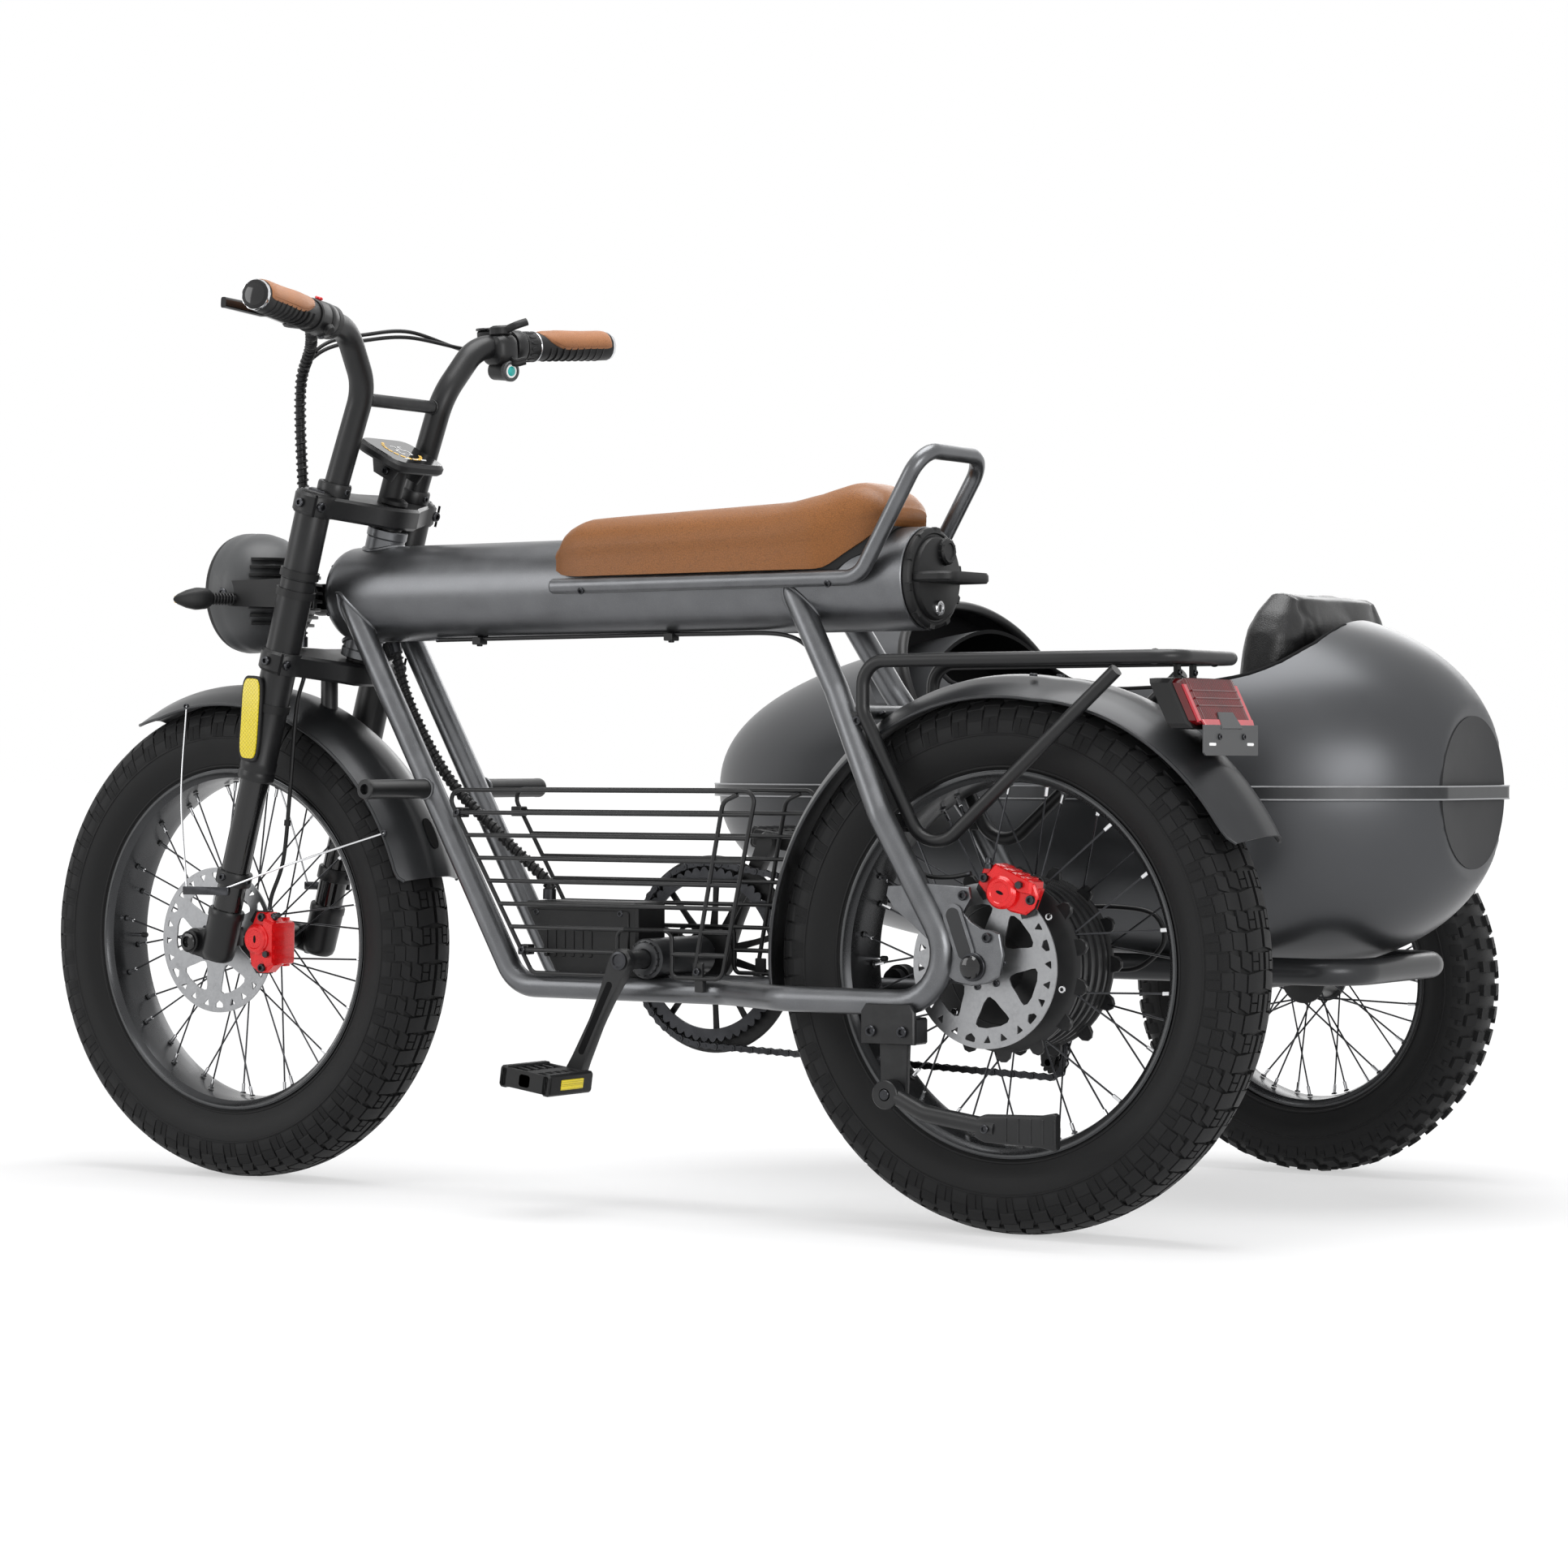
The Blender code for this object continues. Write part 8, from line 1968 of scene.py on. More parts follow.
make_headlamp()


# Brake calipers
def make_caliper(name, body, node, centre, disc_y, degrees, outer_y, leg=None):
    angle = math.radians(degrees)
    out = direction(angle)
    along = out.cross(ALONG_Y)
    middle = centre + out * 0.0882
    form = Form()

    def block(outline, low_y, high_y, paint, edge=0.002):
        form.paint(paint).slab(outline, high_y - low_y, middle + ALONG_Y * ((low_y + high_y) / 2), along,
                               out, edge)
    face = outer_y - 0.0025
    # Outboard half: a round piston housing with a lug at each end and a stepped top.
    block(ellipse(0.019, 0.0178, 40, (-0.004, -0.003)), disc_y + 0.0038, face, 0, 0.0025)
    block([(-0.037, -0.006), (-0.02, -0.015), (0.012, -0.019), (0.03, -0.015), (0.037, -0.004),
           (0.037, 0.01), (0.028, 0.02), (-0.026, 0.02), (-0.037, 0.012)], disc_y + 0.0038, face - 0.007, 0,
          0.002)
    block([(-0.03, 0.0075), (-0.012, 0.006), (0.02, 0.006), (0.03, 0.009), (0.026, 0.0215),
           (-0.024, 0.0225)], disc_y - 0.0165, face - 0.0035, 0, 0.0025)
    block([(-0.03, -0.01), (-0.016, -0.018), (0.016, -0.018), (0.03, -0.01), (0.03, 0.015), (-0.03, 0.015)],
          disc_y - 0.0165, disc_y - 0.0038, 0, 0.002)
    # Cooling ribs across the bridge.
    for k in range(4):
        a = -0.018 + 0.011 * k
        block([(a, 0.021), (a + 0.0045, 0.021), (a + 0.0045, 0.0232), (a, 0.0232)], disc_y - 0.014,
              face - 0.006, 0, 0.0008)
    spot = middle + along * -0.004 + out * -0.003 + ALONG_Y * face
    form.paint(0).lathe([(0, 0.0004), (0.011, 0.0004), (0.012, 0.0014), (0.015, 0.0014), (0.0162, 0.0002),
                         (0.0162, -0.002), (0, -0.002)], spot, ALONG_Y, 44, closed=False)
    # A small near-black oval on the cap: painted shade standing for a slot in it.
    form.paint(3).slab(ellipse(0.0018 * 2.6, 0.0018, 12), 0.0004, spot + ALONG_Y * 0.0006, along, out)
    for a in (-0.031, 0.031):
        form.paint(1).bolt(middle + along * a + out * 0.003 + ALONG_Y * (face - 0.0072), ALONG_Y, 0.0052,
                           0.0042)
    spot = middle + along * 0.014 + out * 0.0135 + ALONG_Y * face
    form.paint(1).rod(spot - ALONG_Y * 0.004, spot + ALONG_Y * 0.001, 0.0042, 6)
    # Pads between the halves.
    for low in (disc_y + 0.0012, disc_y - 0.004):
        block([(-0.019, -0.0165), (0.019, -0.0165), (0.017, 0.006), (-0.017, 0.006)], low, low + 0.0028, 1,
              0.0005)
    # Black carrier behind it.
    block([(-0.0385, -0.0135), (-0.026, -0.0215), (-0.018, -0.012), (-0.024, 0.002), (-0.0385, 0.006)],
          disc_y + 0.0045, face - 0.012, 2, 0.0012)
    block([(0.0385, -0.012), (0.026, -0.0215), (0.018, -0.012), (0.024, 0.002), (0.0385, 0.006)],
          disc_y + 0.0045, face - 0.012, 2, 0.0012)
    # Hose fitting.
    top = middle + along * (-0.03) + out * 0.014 + ALONG_Y * ((disc_y + outer_y) / 2)
    form.paint(1).lathe([(0, 0), (0.005, 0), (0.005, 0.005), (0.0036, 0.0062), (0.0036, 0.01),
                         (0.0028, 0.012), (0, 0.012)], top, (out - along * 0.4), 24, closed=False)
    if leg:
        form.paint(2).slab([(-0.01, -0.0115), (0.01, -0.0115), (0.01, 0.0115), (-0.01, 0.0115)], 0.02,
                           Vector((leg.x - 0.006, (disc_y + outer_y) / 2 + 0.004, leg.z + 0.006)), ALONG_X,
                           ALONG_Z, 0.002)
    form.make(name, [red, dark_steel, black, near_black_and_shade], body, [node], "red_paint")


make_caliper("rear_caliper_piston", "frame", "rear_caliper", rear_axle, REAR_DISC_Y, 112.0, 0.0967)
make_caliper("front_caliper_piston", "steering", "front_caliper", front_axle, FRONT_DISC_Y, 180.0, 0.092,
             raked(axle_down + 0.01, 0, fork_x))


# Cranks, pedals, chainring and chain
crank_way = direction(math.radians(-63))


def make_cranks():
    form = Form()
    for side, way in ((1, crank_way), (-1, -crank_way)):
        up = way.cross(ALONG_Y)
        long = CRANK_LONG
        outline = arc(0.014, 90, 180, 12)
        outline += [(0.02, -0.0118), (0.045, -0.0094), (long * 0.55, -0.0088), (long - 0.02, -0.0094)]
        outline += arc(0.0112, -90, 180, 12, (long, 0))
        outline += [(long - 0.02, 0.0094), (long * 0.55, 0.0088), (0.045, 0.0094), (0.02, 0.0118)]
        middle = crank_centre + ALONG_Y * (side * 0.0995)
        form.paint(0).slab(outline, 0.0148, middle, way, up, 0.003)
        # A near-black sheet on each crank's outer face: painted shade for its groove.
        groove = [((0.118 if a > 0 else 0.032) + a, b) for a, b in ellipse(0.0042, 0.0042, 24)]
        form.paint(2).slab(groove, 0.0005, middle + ALONG_Y * (side * 0.0074), way, up)
        form.paint(1).lathe([(0, 0), (0.0098, 0), (0.0105, 0.0008), (0.0105, 0.0022), (0.0078, 0.003),
                             (0.007, 0.0014), (0, 0.0014)], middle + ALONG_Y * (side * 0.0074),
                            ALONG_Y * side, 32, closed=False)
        form.paint(0).rod(crank_centre + ALONG_Y * (side * 0.06), middle, 0.011, 32)
        end = crank_centre + way * long
        form.paint(1).rod(end + ALONG_Y * (side * 0.0995), end + ALONG_Y * (side * 0.19), 0.0058, 28, 0.0008)
        form.lathe([(0.0058, 0.107), (0.0092, 0.107), (0.0092, 0.1072), (0.0058, 0.1072)], end,
                   ALONG_Y * side, 6)
    form.paint(0).rod(crank_centre - ALONG_Y * 0.06, crank_centre + ALONG_Y * 0.06, 0.0108, 32)
    form.make("crankset_forged", [black, dark_steel, near_black_and_shade], "crank", ["crankset"], "black_paint")


make_cranks()


def make_pedal(side, node, body):
    centre = crank_centre + (crank_way if side > 0 else -crank_way) * CRANK_LONG + ALONG_Y * (side * PEDAL_Y)
    tilt = math.radians(-8)
    turn = Matrix.Translation(centre) @ Matrix.Rotation(tilt, 4, "Y") @ Matrix.Translation(-centre)
    form = Form()
    low, high = 0.001, 0.0885

    def box(x0, x1, y0, y1, z0, z1, edge, paint=0):
        ys = sorted((centre.y + side * y0, centre.y + side * y1))
        plain = Form().box((centre.x + x0, ys[0], centre.z + z0), (centre.x + x1, ys[1], centre.z + z1),
                           edge)
        form.paint(paint).add([turn @ p for p in plain.points], plain.faces)
    box(-0.01, 0.01, low, high, -0.0095, 0.0095, 0.003)
    for sign in (-1, 1):
        x0, x1 = sorted((sign * 0.025, sign * 0.0355))
        box(x0, x1, low + 0.004, high, -0.0125, 0.0125, 0.0022)
        x0, x1 = sorted((sign * 0.0352, sign * 0.0362))
        box(x0, x1, 0.024, 0.066, -0.006, 0.006, 0.0006, 2)
        for k in range(6):
            y = 0.006 + 0.0148 * k
            x0, x1 = sorted((sign * 0.008, sign * 0.027))
            box(x0, x1, y, y + 0.0042, -0.0105, 0.0105, 0.001)
        for k in range(5):
            y = 0.014 + 0.015 * k
            for level in (-0.0128, 0.0108):
                spot = turn @ Vector((centre.x + sign * 0.0302, centre.y + side * y, centre.z + level))
                form.paint(1).rod(spot, spot + (turn.to_3x3() @ ALONG_Z) * 0.002, 0.002, 10)
    box(-0.0355, 0.0355, high - 0.006, high, -0.011, 0.011, 0.002)
    box(-0.03, 0.03, low, low + 0.005, -0.01, 0.01, 0.002)
    form.paint(1).lathe([(0, 0), (0.0058, 0), (0.0066, -0.0008), (0.0066, -0.003), (0, -0.003)],
                        centre + ALONG_Y * (side * high), ALONG_Y * side, 24, closed=False)
    form.make(node + "_caged", [plastic, dark_steel, yellow], body, [node], "black_paint")


make_pedal(1, "left_pedal", "pedal_left")
make_pedal(-1, "right_pedal", "pedal_right")


def toothed(teeth, radii):
    angles = [(TURN * k / (teeth * 4), radii[k % 4]) for k in range(teeth * 4)]
    return [(r * math.cos(a), r * math.sin(a)) for a, r in angles]


def make_chainring():
    form = Form()
    y, far, half = CHAIN_Y, -0.083, 0.0013
    outer = toothed(52, (0.0982, 0.1024, 0.104, 0.1024))
    inner = ellipse(0.088, 0.088, len(outer))
    form.paint(1).loft([placed(outline, crank_centre + ALONG_Y * (y + level), ALONG_X, ALONG_Z)
                        for outline, level in ((inner, -half), (outer, -half), (outer, half),
                                               (inner, half))], caps=False, ring=True)
    # Guard ring with a rolled rim.
    form.paint(0).lathe([(0.096, far + 0.0014), (0.115, far + 0.0014), (0.1168, far), (0.1168, far - 0.0018),
                         (0.115, far - 0.003), (0.11, far - 0.0026), (0.096, far - 0.0014)], crank_centre,
                        ALONG_Y, 96)
    # Five webs of two arms, each with two bolts and a spacer to the toothed ring.
    for i in range(5):
        way = direction(TURN * i / 5 + math.radians(36))
        across = way.cross(ALONG_Y)
        web = [(0.026, 0.006), (0.03, 0.013), (0.06, 0.019), (0.1, 0.03), (0.1, 0.022), (0.062, 0.012),
               (0.034, 0.004)]
        for sign in (-1, 1):
            form.paint(0).slab([(a, sign * b) for a, b in web][::sign], 0.003,
                               crank_centre + ALONG_Y * (far + 0.0006), way, across, 0.0008)
        spot = crank_centre + way * 0.0985
        for sign in (-1, 1):
            form.paint(1).bolt(spot + across * (sign * 0.0262) + ALONG_Y * (far - 0.0024), -ALONG_Y, 0.0042,
                               0.0018)
        form.paint(0).rod(spot + ALONG_Y * far, spot + ALONG_Y * y, 0.005, 18)
    form.paint(0).lathe([(0.0114, y + 0.0015), (0.03, y + 0.0015), (0.033, y), (0.033, far - 0.002),
                         (0.03, far - 0.003), (0.024, far - 0.003), (0.02, -0.091), (0.0114, -0.091)],
                        crank_centre, ALONG_Y, 56)
    form.make("chainring_toothed", [plastic, dark_steel], "crank", ["chainring"], "black_paint", sharp=32)


make_chainring()


tension_wheel = Vector((0.004, CHAIN_Y, 0.184))


def chain_path():
    circles = [(crank_centre.x, crank_centre.z, 0.108), (tension_wheel.x, tension_wheel.z, 0.017),
               (rear_axle.x, rear_axle.z, 0.03)]
    path = []
    for i, (x, z, radius) in enumerate(circles):
        before, after = circles[i - 1], circles[(i + 1) % 3]

        def leave(a, b):
            dx, dz = b[0] - a[0], b[1] - a[1]
            reach = math.hypot(dx, dz)
            return math.atan2(dz, dx) + math.acos((a[2] - b[2]) / reach)
        arrive, depart = leave(before, (x, z, radius)), leave((x, z, radius), after)
        while depart > arrive:
            depart -= TURN
        count = max(12, int((arrive - depart) / math.radians(3)))
        path += [Vector((x + radius * math.cos(arrive + (depart - arrive) * k / count), CHAIN_Y,
                         z + radius * math.sin(arrive + (depart - arrive) * k / count)))
                 for k in range(count + 1)]
    return path


def make_chain():
    path = chain_path()
    path.append(path[0])
    lengths = [0.0]
    for a, b in zip(path, path[1:]):
        lengths.append(lengths[-1] + (b - a).length)
    total = lengths[-1]
    links = 2 * round(total / 0.0127 / 2)
    pitch = total / links

    def at(distance):
        distance %= total
        low, high = 0, len(lengths) - 1
        while high - low > 1:
            mid = (low + high) // 2
            if lengths[mid] <= distance:
                low = mid
            else:
                high = mid
        span = lengths[high] - lengths[low]
        return path[low] + (path[high] - path[low]) * ((distance - lengths[low]) / span if span else 0)
    pins = [at(pitch * k) for k in range(links)]
    form = Form()
    for k in range(links):
        a, b = pins[k], pins[(k + 1) % links]
        way = (b - a).normalized()
        up = way.cross(ALONG_Y)
        long = (b - a).length
        outer = k % 2 == 0
        outline = arc(0.0041, -90, 180, 6, (long, 0)) + [(long / 2, 0.0028)]
        outline += arc(0.0041, 90, 180, 6) + [(long / 2, -0.0028)]
        for sign in (-1, 1):
            form.paint(0).slab(outline, 0.0009, a + ALONG_Y * (sign * (0.0036 if outer else 0.0026)), way,
                               up)
        form.paint(1).rod(a - ALONG_Y * 0.0023, a + ALONG_Y * 0.0023, 0.0036, 10)
        form.paint(0).rod(a - ALONG_Y * 0.0045, a + ALONG_Y * 0.0045, 0.0015, 8)
    form.make("chain_links", [dark_steel, steel], "frame", ["chain"], "steel", sharp=40)


make_chain()


def make_derailleur():
    form = Form()
    inner = -0.0798

    def at(y):
        return Vector((tension_wheel.x, y, tension_wheel.z))
    outline = [(-0.01, -0.006), (-0.006, -0.012), (0.004, -0.013), (0.0105, -0.006), (0.012, 0.02),
               (0.015, 0.06), (0.016, 0.084), (0.01, 0.094), (0.0, 0.094), (-0.006, 0.082), (-0.011, 0.05),
               (-0.012, 0.012)]
    form.paint(0).slab(outline, 0.0036, at(inner - 0.0022), ALONG_X, ALONG_Z, 0.0008)
    form.slab([(a * 0.8, b * 0.42) for a, b in outline], 0.0016, at(-0.068), ALONG_X, ALONG_Z, 0.0004)
    ring = toothed(11, (0.01, 0.0124, 0.0132, 0.0124))
    form.paint(2).slab(ring, 0.003, tension_wheel, ALONG_X, ALONG_Z, 0.0004)
    form.paint(1).bolt(at(inner - 0.004), -ALONG_Y, 0.0045, 0.003)
    form.paint(1).rod(at(inner), at(-0.0672), 0.004, 20)
    form.paint(0).lathe([(0, 0), (0.0125, 0), (0.0135, 0.001), (0.0135, 0.009), (0.012, 0.0105),
                         (0, 0.0105)], Vector((0.01, inner - 0.015, 0.262)), ALONG_Y, 32, closed=False)
    form.paint(1).bolt(Vector((0.01, inner - 0.015, 0.262)), -ALONG_Y, 0.005, 0.002)
    form.make("derailleur_caged", [black, dark_steel, plastic], "frame", ["derailleur"], "black_paint")


make_derailleur()


# Stand, axles and sidecar chassis
def make_stand():
    form = Form()
    x, z, y = 0.099, 0.157, 0.116
    low = LOW_Z - TUBE_R - 0.03
    form.slab([(-0.034, low), (0.034, low), (0.034, 0.247), (0.028, 0.2555), (-0.028, 0.2555),
               (-0.034, 0.247)], 0.007, Vector((x, 0.101 + TUBE_R + 0.0006, 0)), ALONG_X, ALONG_Z, 0.0015)
    form.box((x - 0.034, 0.0886, low), (x + 0.034, 0.117, low + 0.029), 0.002)
    for dx in (-0.02, 0.02):
        form.paint(1).bolt(Vector((x + dx, 0.1192, low + 0.014)), ALONG_Y, 0.0062, 0.0045)
        form.paint(0)
    ear_y = y - 0.009 - 0.0008
    form.slab([(-0.016, z - 0.004), (-0.01, z - 0.014), (0.0, z - 0.016), (0.01, z - 0.014),
               (0.016, z - 0.004), (0.018, low + 0.002), (-0.018, low + 0.002)], 0.008,
              Vector((x, ear_y - 0.0042, 0)), ALONG_X, ALONG_Z, 0.0012)
    form.paint(1).rod(Vector((x, ear_y - 0.006, z)), Vector((x, y + 0.0104, z)), 0.0058, 28, 0.0006)
    form.make("stand_bracket_bolted", [black, dark_steel], "frame", ["stand_bracket"], "black_paint")

    leg = Form()
    pivot = Vector((x, y, z))
    leg.lathe([(0.0069, -0.009), (0.015, -0.009), (0.016, -0.008), (0.016, 0.008), (0.015, 0.009),
               (0.0069, 0.009)], pivot, ALONG_Y, 44)
    long = 0.165
    knee = pivot + Vector((-long * 0.3, 0.0045, -long * 0.11))
    end = pivot + Vector((-long * 0.86, 0.009, -long * 0.18))
    start = pivot + Vector((-0.0128, 0, -0.0032))
    route = rounded([start, knee, end], [long * 0.3], 12)
    leg.tube(route, 0.0095, 24)
    rows = []
    for share, tall, thick in ((0, 0.5, 0.7), (0.05, 0.62, 0.95), (0.12, 0.75, 1.0), (0.45, 0.8, 1.0),
                               (0.8, 0.85, 1.0), (0.96, 1.0, 1.0), (1, 0.92, 0.7)):
        spot = end + Vector((-0.1 * (share - 0.25), 0, 0))
        rows.append(placed(superellipse(0.007 * thick, 0.02 * tall, 6.0, 28), spot, ALONG_Y, ALONG_Z))
    leg.loft(rows)
    for k in range(5):
        spot = end + Vector((-0.1 * (0.15 + 0.15 * k), 0.0068, 0))
        leg.slab([(-0.0012, -0.013), (0.0012, -0.013), (0.0012, 0.013), (-0.0012, 0.013)], 0.0012, spot,
                 ALONG_X, ALONG_Z, 0.0004)
    leg.paint(1).bolt(end + Vector((0.01, 0.0092, 0)), ALONG_Y, 0.0048, 0.0025)
    leg.make("kickstand_leg", [black, dark_steel], "kickstand", ["kickstand"], "black_paint")


make_stand()


def make_axles():
    form = Form()
    half, nut = 0.1033, 0.0114
    for side in (-1, 1):
        spot = rear_axle + ALONG_Y * (side * half)
        form.paint(0).lathe([(0.006, 0), (0.015, 0), (0.0155, 0.0006), (0.0155, 0.0018), (0.015, 0.0024),
                             (0.006, 0.0024)], spot, ALONG_Y * side, 40)
        form.paint(1).lathe([(0.006, 0.0022), (0.0126, 0.0022), (0.0126, 0.0066), (0.0118, 0.0076),
                             (0.0104, 0.0098), (0.007, 0.0112), (0, nut)], spot, ALONG_Y * side, 36,
                            closed=False)
    form.paint(0).rod(rear_axle - ALONG_Y * half, rear_axle + ALONG_Y * half, AXLE_PIN, 28)
    form.make("rear_axle_nuts", [dark_steel, gloss_black], "frame", ["rear_axle"], "black_paint")
    pin = Form()
    half = fork_y + 0.011 + JOIN_GAP
    for side in (-1, 1):
        spot = front_axle + ALONG_Y * (side * half)
        pin.paint(1).lathe([(0.005, 0), (0.0108, 0), (0.0114, 0.0008), (0.0114, 0.008), (0.01, 0.01),
                            (0.007, 0.0104), (0.006, 0.006), (0, 0.006)], spot, ALONG_Y * side, 36,
                           closed=False)
    pin.paint(0).rod(front_axle - ALONG_Y * half, front_axle + ALONG_Y * half, AXLE_PIN, 28)
    pin.make("front_axle_nuts", [dark_steel, gloss_black], "steering", ["front_axle"], "black_paint")


make_axles()


def make_chassis():
    form = Form()
    y0, y1, z = POD_Y + 0.13, POD_Y - 0.13, 0.2795
    middle = (0.32 - 0.245) / 2
    corners = [Vector((middle, y0, z)), Vector((-0.245, y0, z)), Vector((-0.245, y1, z)),
               Vector((0.32, y1, z)), Vector((0.32, y0, z)), Vector((middle, y0, z))]
    path = rounded(corners, [0.05] * 4, 12)[:-1]
    form.tube(path, 0.0155, 28, ring=True)
    # The tube is pressed flat on top where the egg, 0.7 mm larger all round, rests on it.
    grow = 0.0007
    deep, wide = POD_DOWN + grow, POD_WIDE + grow
    for i, p in enumerate(form.points):
        depth = POD_Z - p.z
        flat = 1 - (depth / deep) ** SIDE if depth < deep else 0
        if flat > 0 and p.z > z - 0.004:
            along = (POD_AHEAD if p.x > POD_X else POD_BACK) + grow
            plan = (abs(p.x - POD_X) / along) ** PLAN + (abs(p.y - POD_Y) / wide) ** PLAN
            if plan < flat ** (PLAN / SIDE):
                level = POD_Z - deep * (1 - plan ** (SIDE / PLAN)) ** (1 / SIDE)
                form.points[i] = Vector((p.x, p.y, max(z - 0.012, min(p.z, level - 0.0006))))
    arm_z = (LOW_Z + z) / 2
    for x in (0.125, 0.232):
        form.rod(Vector((x, y0, arm_z)), Vector((x, -REAR_Y - 0.006, arm_z)), 0.0125, 32)
        weld_ring(form, Vector((x, y0 + 0.01, arm_z)), ALONG_Y, 0.013, 0.0022)
        form.paint(1).lathe([(0.0125, 0), (0.0165, 0), (0.017, 0.0006), (0.017, 0.016), (0.0165, 0.0166),
                             (0.0125, 0.0166)], Vector((x, -0.1345, arm_z)), ALONG_Y, 36)
        form.paint(2).bolt(Vector((x, -0.126, arm_z - 0.0165)), -ALONG_Z, 0.0045, 0.0035)
        form.paint(0)
    near = y1 - 0.005
    outline = [(-0.023, z - 0.004), (-0.023, 0.25), (-0.021, 0.228), (-0.012, 0.2215)]
    outline += [(-a, b) for a, b in reversed(outline)]
    form.slab(outline, 0.0098, Vector((0.026, near, 0)), ALONG_X, ALONG_Z, 0.002)
    for sign in (-1, 1):
        form.paint(2).bolt(Vector((0.026 + sign * 0.015, near - 0.0048, 0.262)), -ALONG_Y, 0.005, 0.004)
    form.paint(1).rod(Vector((0.026, near, 0.244)), Vector((0.026, -0.85, 0.244)), AXLE_PIN, 28, 0.0006)
    form.paint(1).lathe([(0.0059, 0), (0.0105, 0), (0.0105, -0.007), (0.0059, -0.007)],
                        Vector((0.026, -0.844, 0.244)), ALONG_Y, 6)
    form.make("sidecar_chassis_tube", [charcoal, black, dark_steel], "frame", ["sidecar_chassis"],
              "charcoal_paint", sharp=40)


make_chassis()


# Cables
def make_loom(name, body, node, route, radius, wrap=True, clips=()):
    form = Form()
    path = smooth_path(route, 10)
    form.tube(path, radius * (0.74 if wrap else 1.0), 18)
    if wrap:
        # A flat plastic spiral holds the wires together.
        lengths, turns = 0.0, []
        first = None
        for a, b in zip(path, path[1:]):
            tangent = (b - a).normalized()
            if first is None:
                first = basis(tangent)[0]
            first = (first - tangent * first.dot(tangent)).normalized()
            second = tangent.cross(first)
            steps = max(1, int((b - a).length / 0.0009))
            for k in range(steps):
                angle = TURN * lengths / 0.0078
                arm = first * math.cos(angle) + second * math.sin(angle)
                turns.append(a + (b - a) * (k / steps) + arm * radius * 0.8)
                lengths += (b - a).length / steps
        form.tube(turns, radius * 0.22, 6)
    for index in clips:
        spot = path[index]
        way = (path[min(index + 1, len(path) - 1)] - path[max(index - 1, 0)]).normalized()
        clip = [(radius * 0.9, -0.0035), (radius + 0.0016, -0.0035), (radius + 0.0016, 0.0035),
                (radius * 0.9, 0.0035)]
        form.lathe(clip, spot, way, 20)
    form.paint(1)
    for spot, other in ((path[0], path[1]), (path[-1], path[-2])):
        ferrule = [(0.8, 0), (1.05, 0), (1.05, 1.6), (0.8, 1.8)]
        form.lathe([(a * radius, b * radius) for a, b in ferrule], spot, other - spot, 20)
    form.make(name, [hose_rubber, dark_steel], body, [node], "black_rubber", sharp=50)


def make_cables():
    start, way = grip_frame(1)[:2]
    clamp = start - way * 0.026
    crown_top = raked(CROWN_LOW + CROWN_THICK + JOIN_GAP, 0.052, fork_x + 0.009)
    make_loom("front_loom_wrapped", "steering", "front_loom", [clamp + Vector((0.0293, -0.02, -0.002)),
                                                               Vector((0.93, 0.1, 1.02)),
                                                               Vector((0.97, 0.07, 0.985)),
                                                               Vector((0.982, 0.058, 0.93)),
                                                               Vector((0.982, 0.053, 0.85)),
                                                               Vector((0.984, 0.051, 0.76)),
                                                               crown_top + Vector((0, 0, 0.0025))], 0.0075)
    make_loom("frame_loom_wrapped", "frame", "frame_loom", [Vector((0.882, 0.0, 0.663)),
                                                            Vector((0.855, 0.004, 0.59)),
                                                            Vector((0.792, 0.008, 0.5)),
                                                            Vector((0.712, 0.006, 0.43)),
                                                            Vector((0.668, 0.003, 0.394)),
                                                            Vector((0.6465, 0.0, 0.374)),
                                                            Vector((0.646, 0.0, 0.3559))], 0.0075)
    make_loom("rear_hose_smooth", "frame", "rear_hose", [Vector((0.8, 0.02, 0.666)),
                                                         Vector((0.6, 0.02, 0.6665)),
                                                         Vector((0.4, 0.02, 0.6665)),
                                                         Vector((0.3, 0.022, 0.664)),
                                                         Vector((0.252, 0.034, 0.645)),
                                                         Vector((0.231, 0.04, 0.622)),
                                                         Vector((0.213, 0.0471, 0.5934)),
                                                         Vector((0.183, 0.0614, 0.5434)),
                                                         Vector((0.153, 0.0757, 0.4934)),
                                                         Vector((0.128, 0.084, 0.45)),
                                                         Vector((0.104, 0.081, 0.416)),
                                                         Vector((0.074, 0.0825, 0.396)),
                                                         Vector((0.04, 0.085, 0.394)),
                                                         Vector((0.012, 0.087, 0.3985))], 0.0025, wrap=False,
              clips=(62, 88))
    make_loom("front_hose_smooth", "steering", "front_hose", [raked(-0.1116, 0.072, 0.021),
                                                              raked(-0.153, 0.073, 0.021),
                                                              Vector((0.984, 0.076, 0.48)),
                                                              Vector((0.996, 0.074, 0.4)),
                                                              Vector((1.016, 0.072, 0.356)),
                                                              Vector((1.02, 0.072, 0.3378))], 0.0025,
              wrap=False, clips=(24,))
    make_loom("motor_cable_smooth", "frame", "motor_cable", [Vector((0.0, -0.1154, 0.298)),
                                                             Vector((-0.006, -0.13, 0.296)),
                                                             Vector((-0.034, -0.144, 0.286)),
                                                             Vector((-0.07, -0.148, 0.29)),
                                                             Vector((-0.098, -0.15, 0.318)),
                                                             Vector((-0.086, -0.15, 0.348)),
                                                             Vector((-0.04, -0.148, 0.356)),
                                                             Vector((0.015, -0.134, 0.354)),
                                                             Vector((0.052, -0.1185, 0.35))], 0.003,
              wrap=False)


make_cables()


# Materials of the CAD nodes
def dress(material, *names):
    for name in names:
        thing = nodes[name]
        if not thing.material_slots:
            thing.data.materials.append(material)
        for slot in thing.material_slots:
            slot.material = material


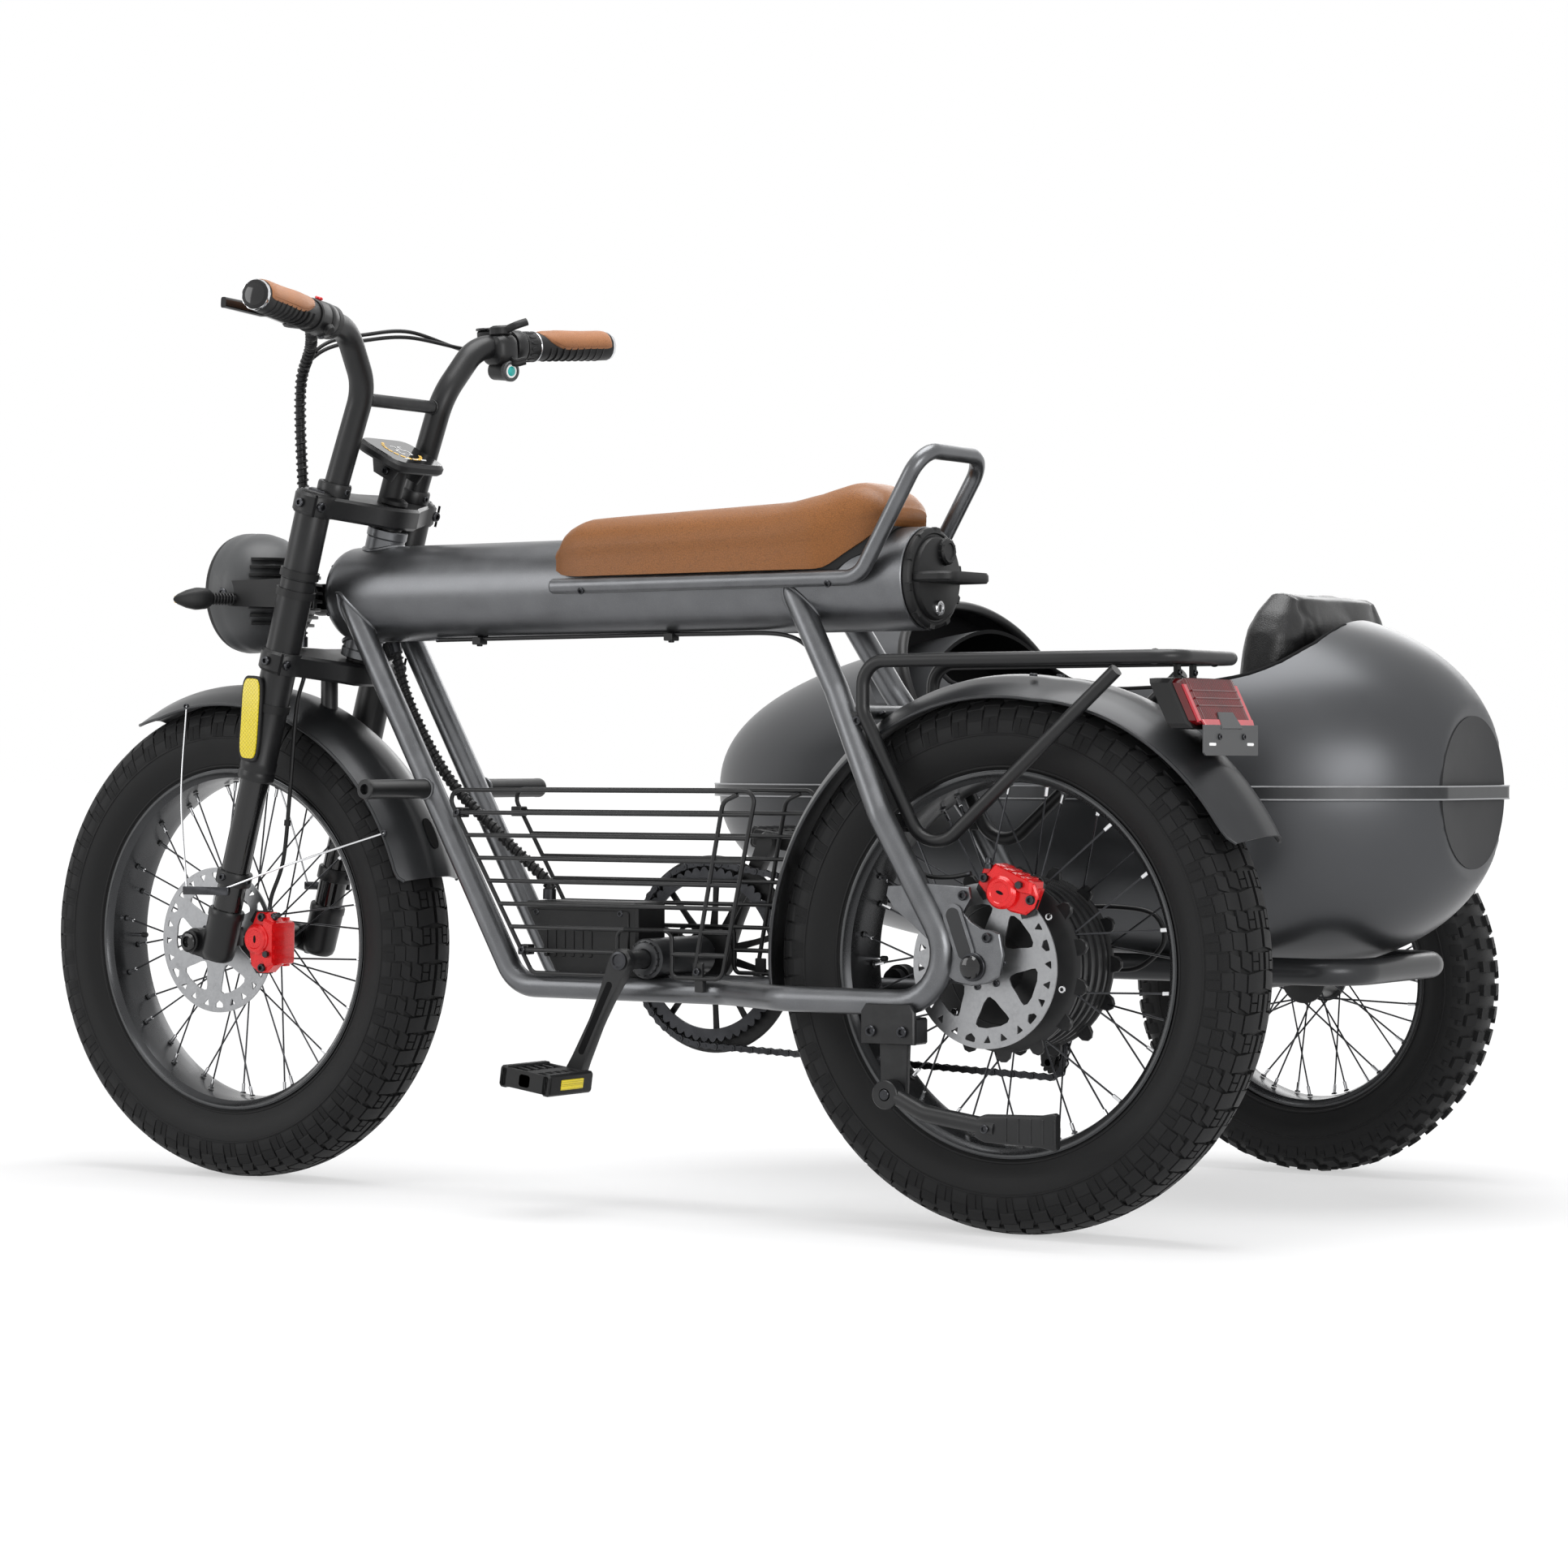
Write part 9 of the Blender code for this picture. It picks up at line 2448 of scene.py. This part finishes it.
dress(graphite, "main_tube", "frame_loop_left", "frame_loop_right", "seat_rail")
dress(black, "battery_cap", "controller_box", "grille_left", "grille_right", "rear_rack", "stand_bracket",
      "kickstand", "crankset", "chainring", "derailleur", "fork_crowns", "fork_leg_left", "fork_leg_right",
      "handlebar", "control_left", "control_right", "headlamp", "rear_axle", "front_axle", "left_pedal",
      "right_pedal")
dress(charcoal, "bottom_bracket", "rear_fender", "front_fender", "sidecar_chassis")
dress(pod_paint, "pod_lower", "pod_upper", "pod_cowl")
dress(plastic, "battery_pack", "pod_belt")
dress(hose_rubber, "front_loom", "frame_loom", "rear_hose", "front_hose", "motor_cable")
dress(steel, "rear_sprocket", "chain")
dress(red, "rear_caliper", "front_caliper")
dress(lens_dark, "tail_lamp")
dress(glass, "display")
dress(tan, "seat", "grip_left", "grip_right")
dress(black_hide, "pod_seat", "pod_backrest")


# Floor, light and camera
def make_stage():
    world = bpy.data.worlds.new("studio")
    bpy.context.scene.world = world
    world.use_nodes = True
    tree = world.node_tree
    background = tree.nodes["Background"]
    path = tree.nodes.new("ShaderNodeLightPath")
    seen = tree.nodes.new("ShaderNodeMath")
    seen.operation = "MAXIMUM"
    tree.links.new(path.outputs["Is Camera Ray"], seen.inputs[0])
    tree.links.new(path.outputs["Is Transmission Ray"], seen.inputs[1])
    shiny = tree.nodes.new("ShaderNodeMath")
    shiny.operation = "MULTIPLY_ADD"
    tree.links.new(path.outputs["Is Glossy Ray"], shiny.inputs[0])
    shiny.inputs[1].default_value = 1.0
    tree.links.new(seen.outputs[0], shiny.inputs[2])
    level = tree.nodes.new("ShaderNodeMapRange")
    level.inputs["To Min"].default_value = 0.34
    level.inputs["To Max"].default_value = 1.0
    tree.links.new(shiny.outputs[0], level.inputs["Value"])
    background.inputs["Color"].default_value = (1, 1, 1, 1)
    tree.links.new(level.outputs["Result"], background.inputs["Strength"])

    size = 60.0
    mesh = bpy.data.meshes.new("floor")
    mesh.from_pydata([(-size, -size, 0), (size, -size, 0), (size, size, 0), (-size, size, 0)], [],
                     [[0, 1, 2, 3]])
    floor = bpy.data.objects.new("floor", mesh)
    bpy.context.scene.collection.objects.link(floor)
    pale = bpy.data.materials.new("pale_floor")
    pale.use_nodes = True
    tree = pale.node_tree
    shader = tree.nodes["Principled BSDF"]
    shader.inputs["Base Color"].default_value = (0.93, 0.93, 0.94, 1)
    shader.inputs["Roughness"].default_value = 0.8
    shader.inputs["Specular IOR Level"].default_value = 0.1
    glow = tree.nodes.new("ShaderNodeEmission")
    glow.inputs["Color"].default_value = (1, 1, 1, 1)
    glow.inputs["Strength"].default_value = 1.08
    mix = tree.nodes.new("ShaderNodeMixShader")
    path = tree.nodes.new("ShaderNodeLightPath")
    share = tree.nodes.new("ShaderNodeMath")
    share.operation = "MAXIMUM"
    tree.links.new(path.outputs["Is Camera Ray"], share.inputs[0])
    tree.links.new(path.outputs["Is Glossy Ray"], share.inputs[1])
    amount = tree.nodes.new("ShaderNodeMath")
    amount.operation = "MULTIPLY"
    tree.links.new(share.outputs[0], amount.inputs[0])
    # Near the object the floor keeps its shadow; further out it fades to plain white.
    here = tree.nodes.new("ShaderNodeTexCoord")
    reach = tree.nodes.new("ShaderNodeVectorMath")
    reach.operation = "LENGTH"
    tree.links.new(here.outputs["Object"], reach.inputs[0])
    fade = tree.nodes.new("ShaderNodeMapRange")
    fade.interpolation_type = "SMOOTHSTEP"
    fade.inputs["From Min"].default_value = 1.3
    fade.inputs["From Max"].default_value = 3.4
    fade.inputs["To Min"].default_value = 0.5
    fade.inputs["To Max"].default_value = 1.0
    tree.links.new(reach.outputs["Value"], fade.inputs["Value"])
    tree.links.new(fade.outputs["Result"], amount.inputs[1])
    tree.links.new(amount.outputs[0], mix.inputs["Fac"])
    tree.links.new(shader.outputs["BSDF"], mix.inputs[1])
    tree.links.new(glow.outputs["Emission"], mix.inputs[2])
    tree.links.new(mix.outputs["Shader"], tree.nodes["Material Output"].inputs["Surface"])
    mesh.materials.append(pale)

    def softbox(name, spot, aim, width, height, power):
        light = bpy.data.lights.new(name, "AREA")
        light.shape = "RECTANGLE"
        light.size, light.size_y, light.energy = width, height, power
        thing = bpy.data.objects.new(name, light)
        bpy.context.scene.collection.objects.link(thing)
        thing.location = spot
        thing.rotation_mode = "QUATERNION"
        thing.rotation_quaternion = (Vector(aim) - Vector(spot)).to_track_quat("-Z", "Y")

    middle = (0, 0, 0.45)
    softbox("overhead", (-0.3, 0.2, 3.6), middle, 2.6, 2.6, 120)
    softbox("camera_side", (-3.4, 2.2, 1.1), middle, 1.6, 1.4, 50)
    softbox("front_side", (2.6, 3.2, 1.7), middle, 1.6, 2.2, 34)
    softbox("far_side", (0.8, -3.6, 2.2), middle, 2.6, 1.6, 30)


def make_camera():
    lens = bpy.data.cameras.new("camera")
    lens.lens, lens.sensor_width = 91.14, 36.0
    lens.clip_end = 200
    lens.dof.use_dof = False
    thing = bpy.data.objects.new("camera", lens)
    bpy.context.scene.collection.objects.link(thing)
    thing.location = (-2.705, 4.0427, 0.5208)
    thing.rotation_euler = (math.radians(90 - 0.3385), 0, math.radians(213.376))
    bpy.context.scene.camera = thing


make_stage()
make_camera()
bpy.context.scene.view_settings.view_transform = "Standard"
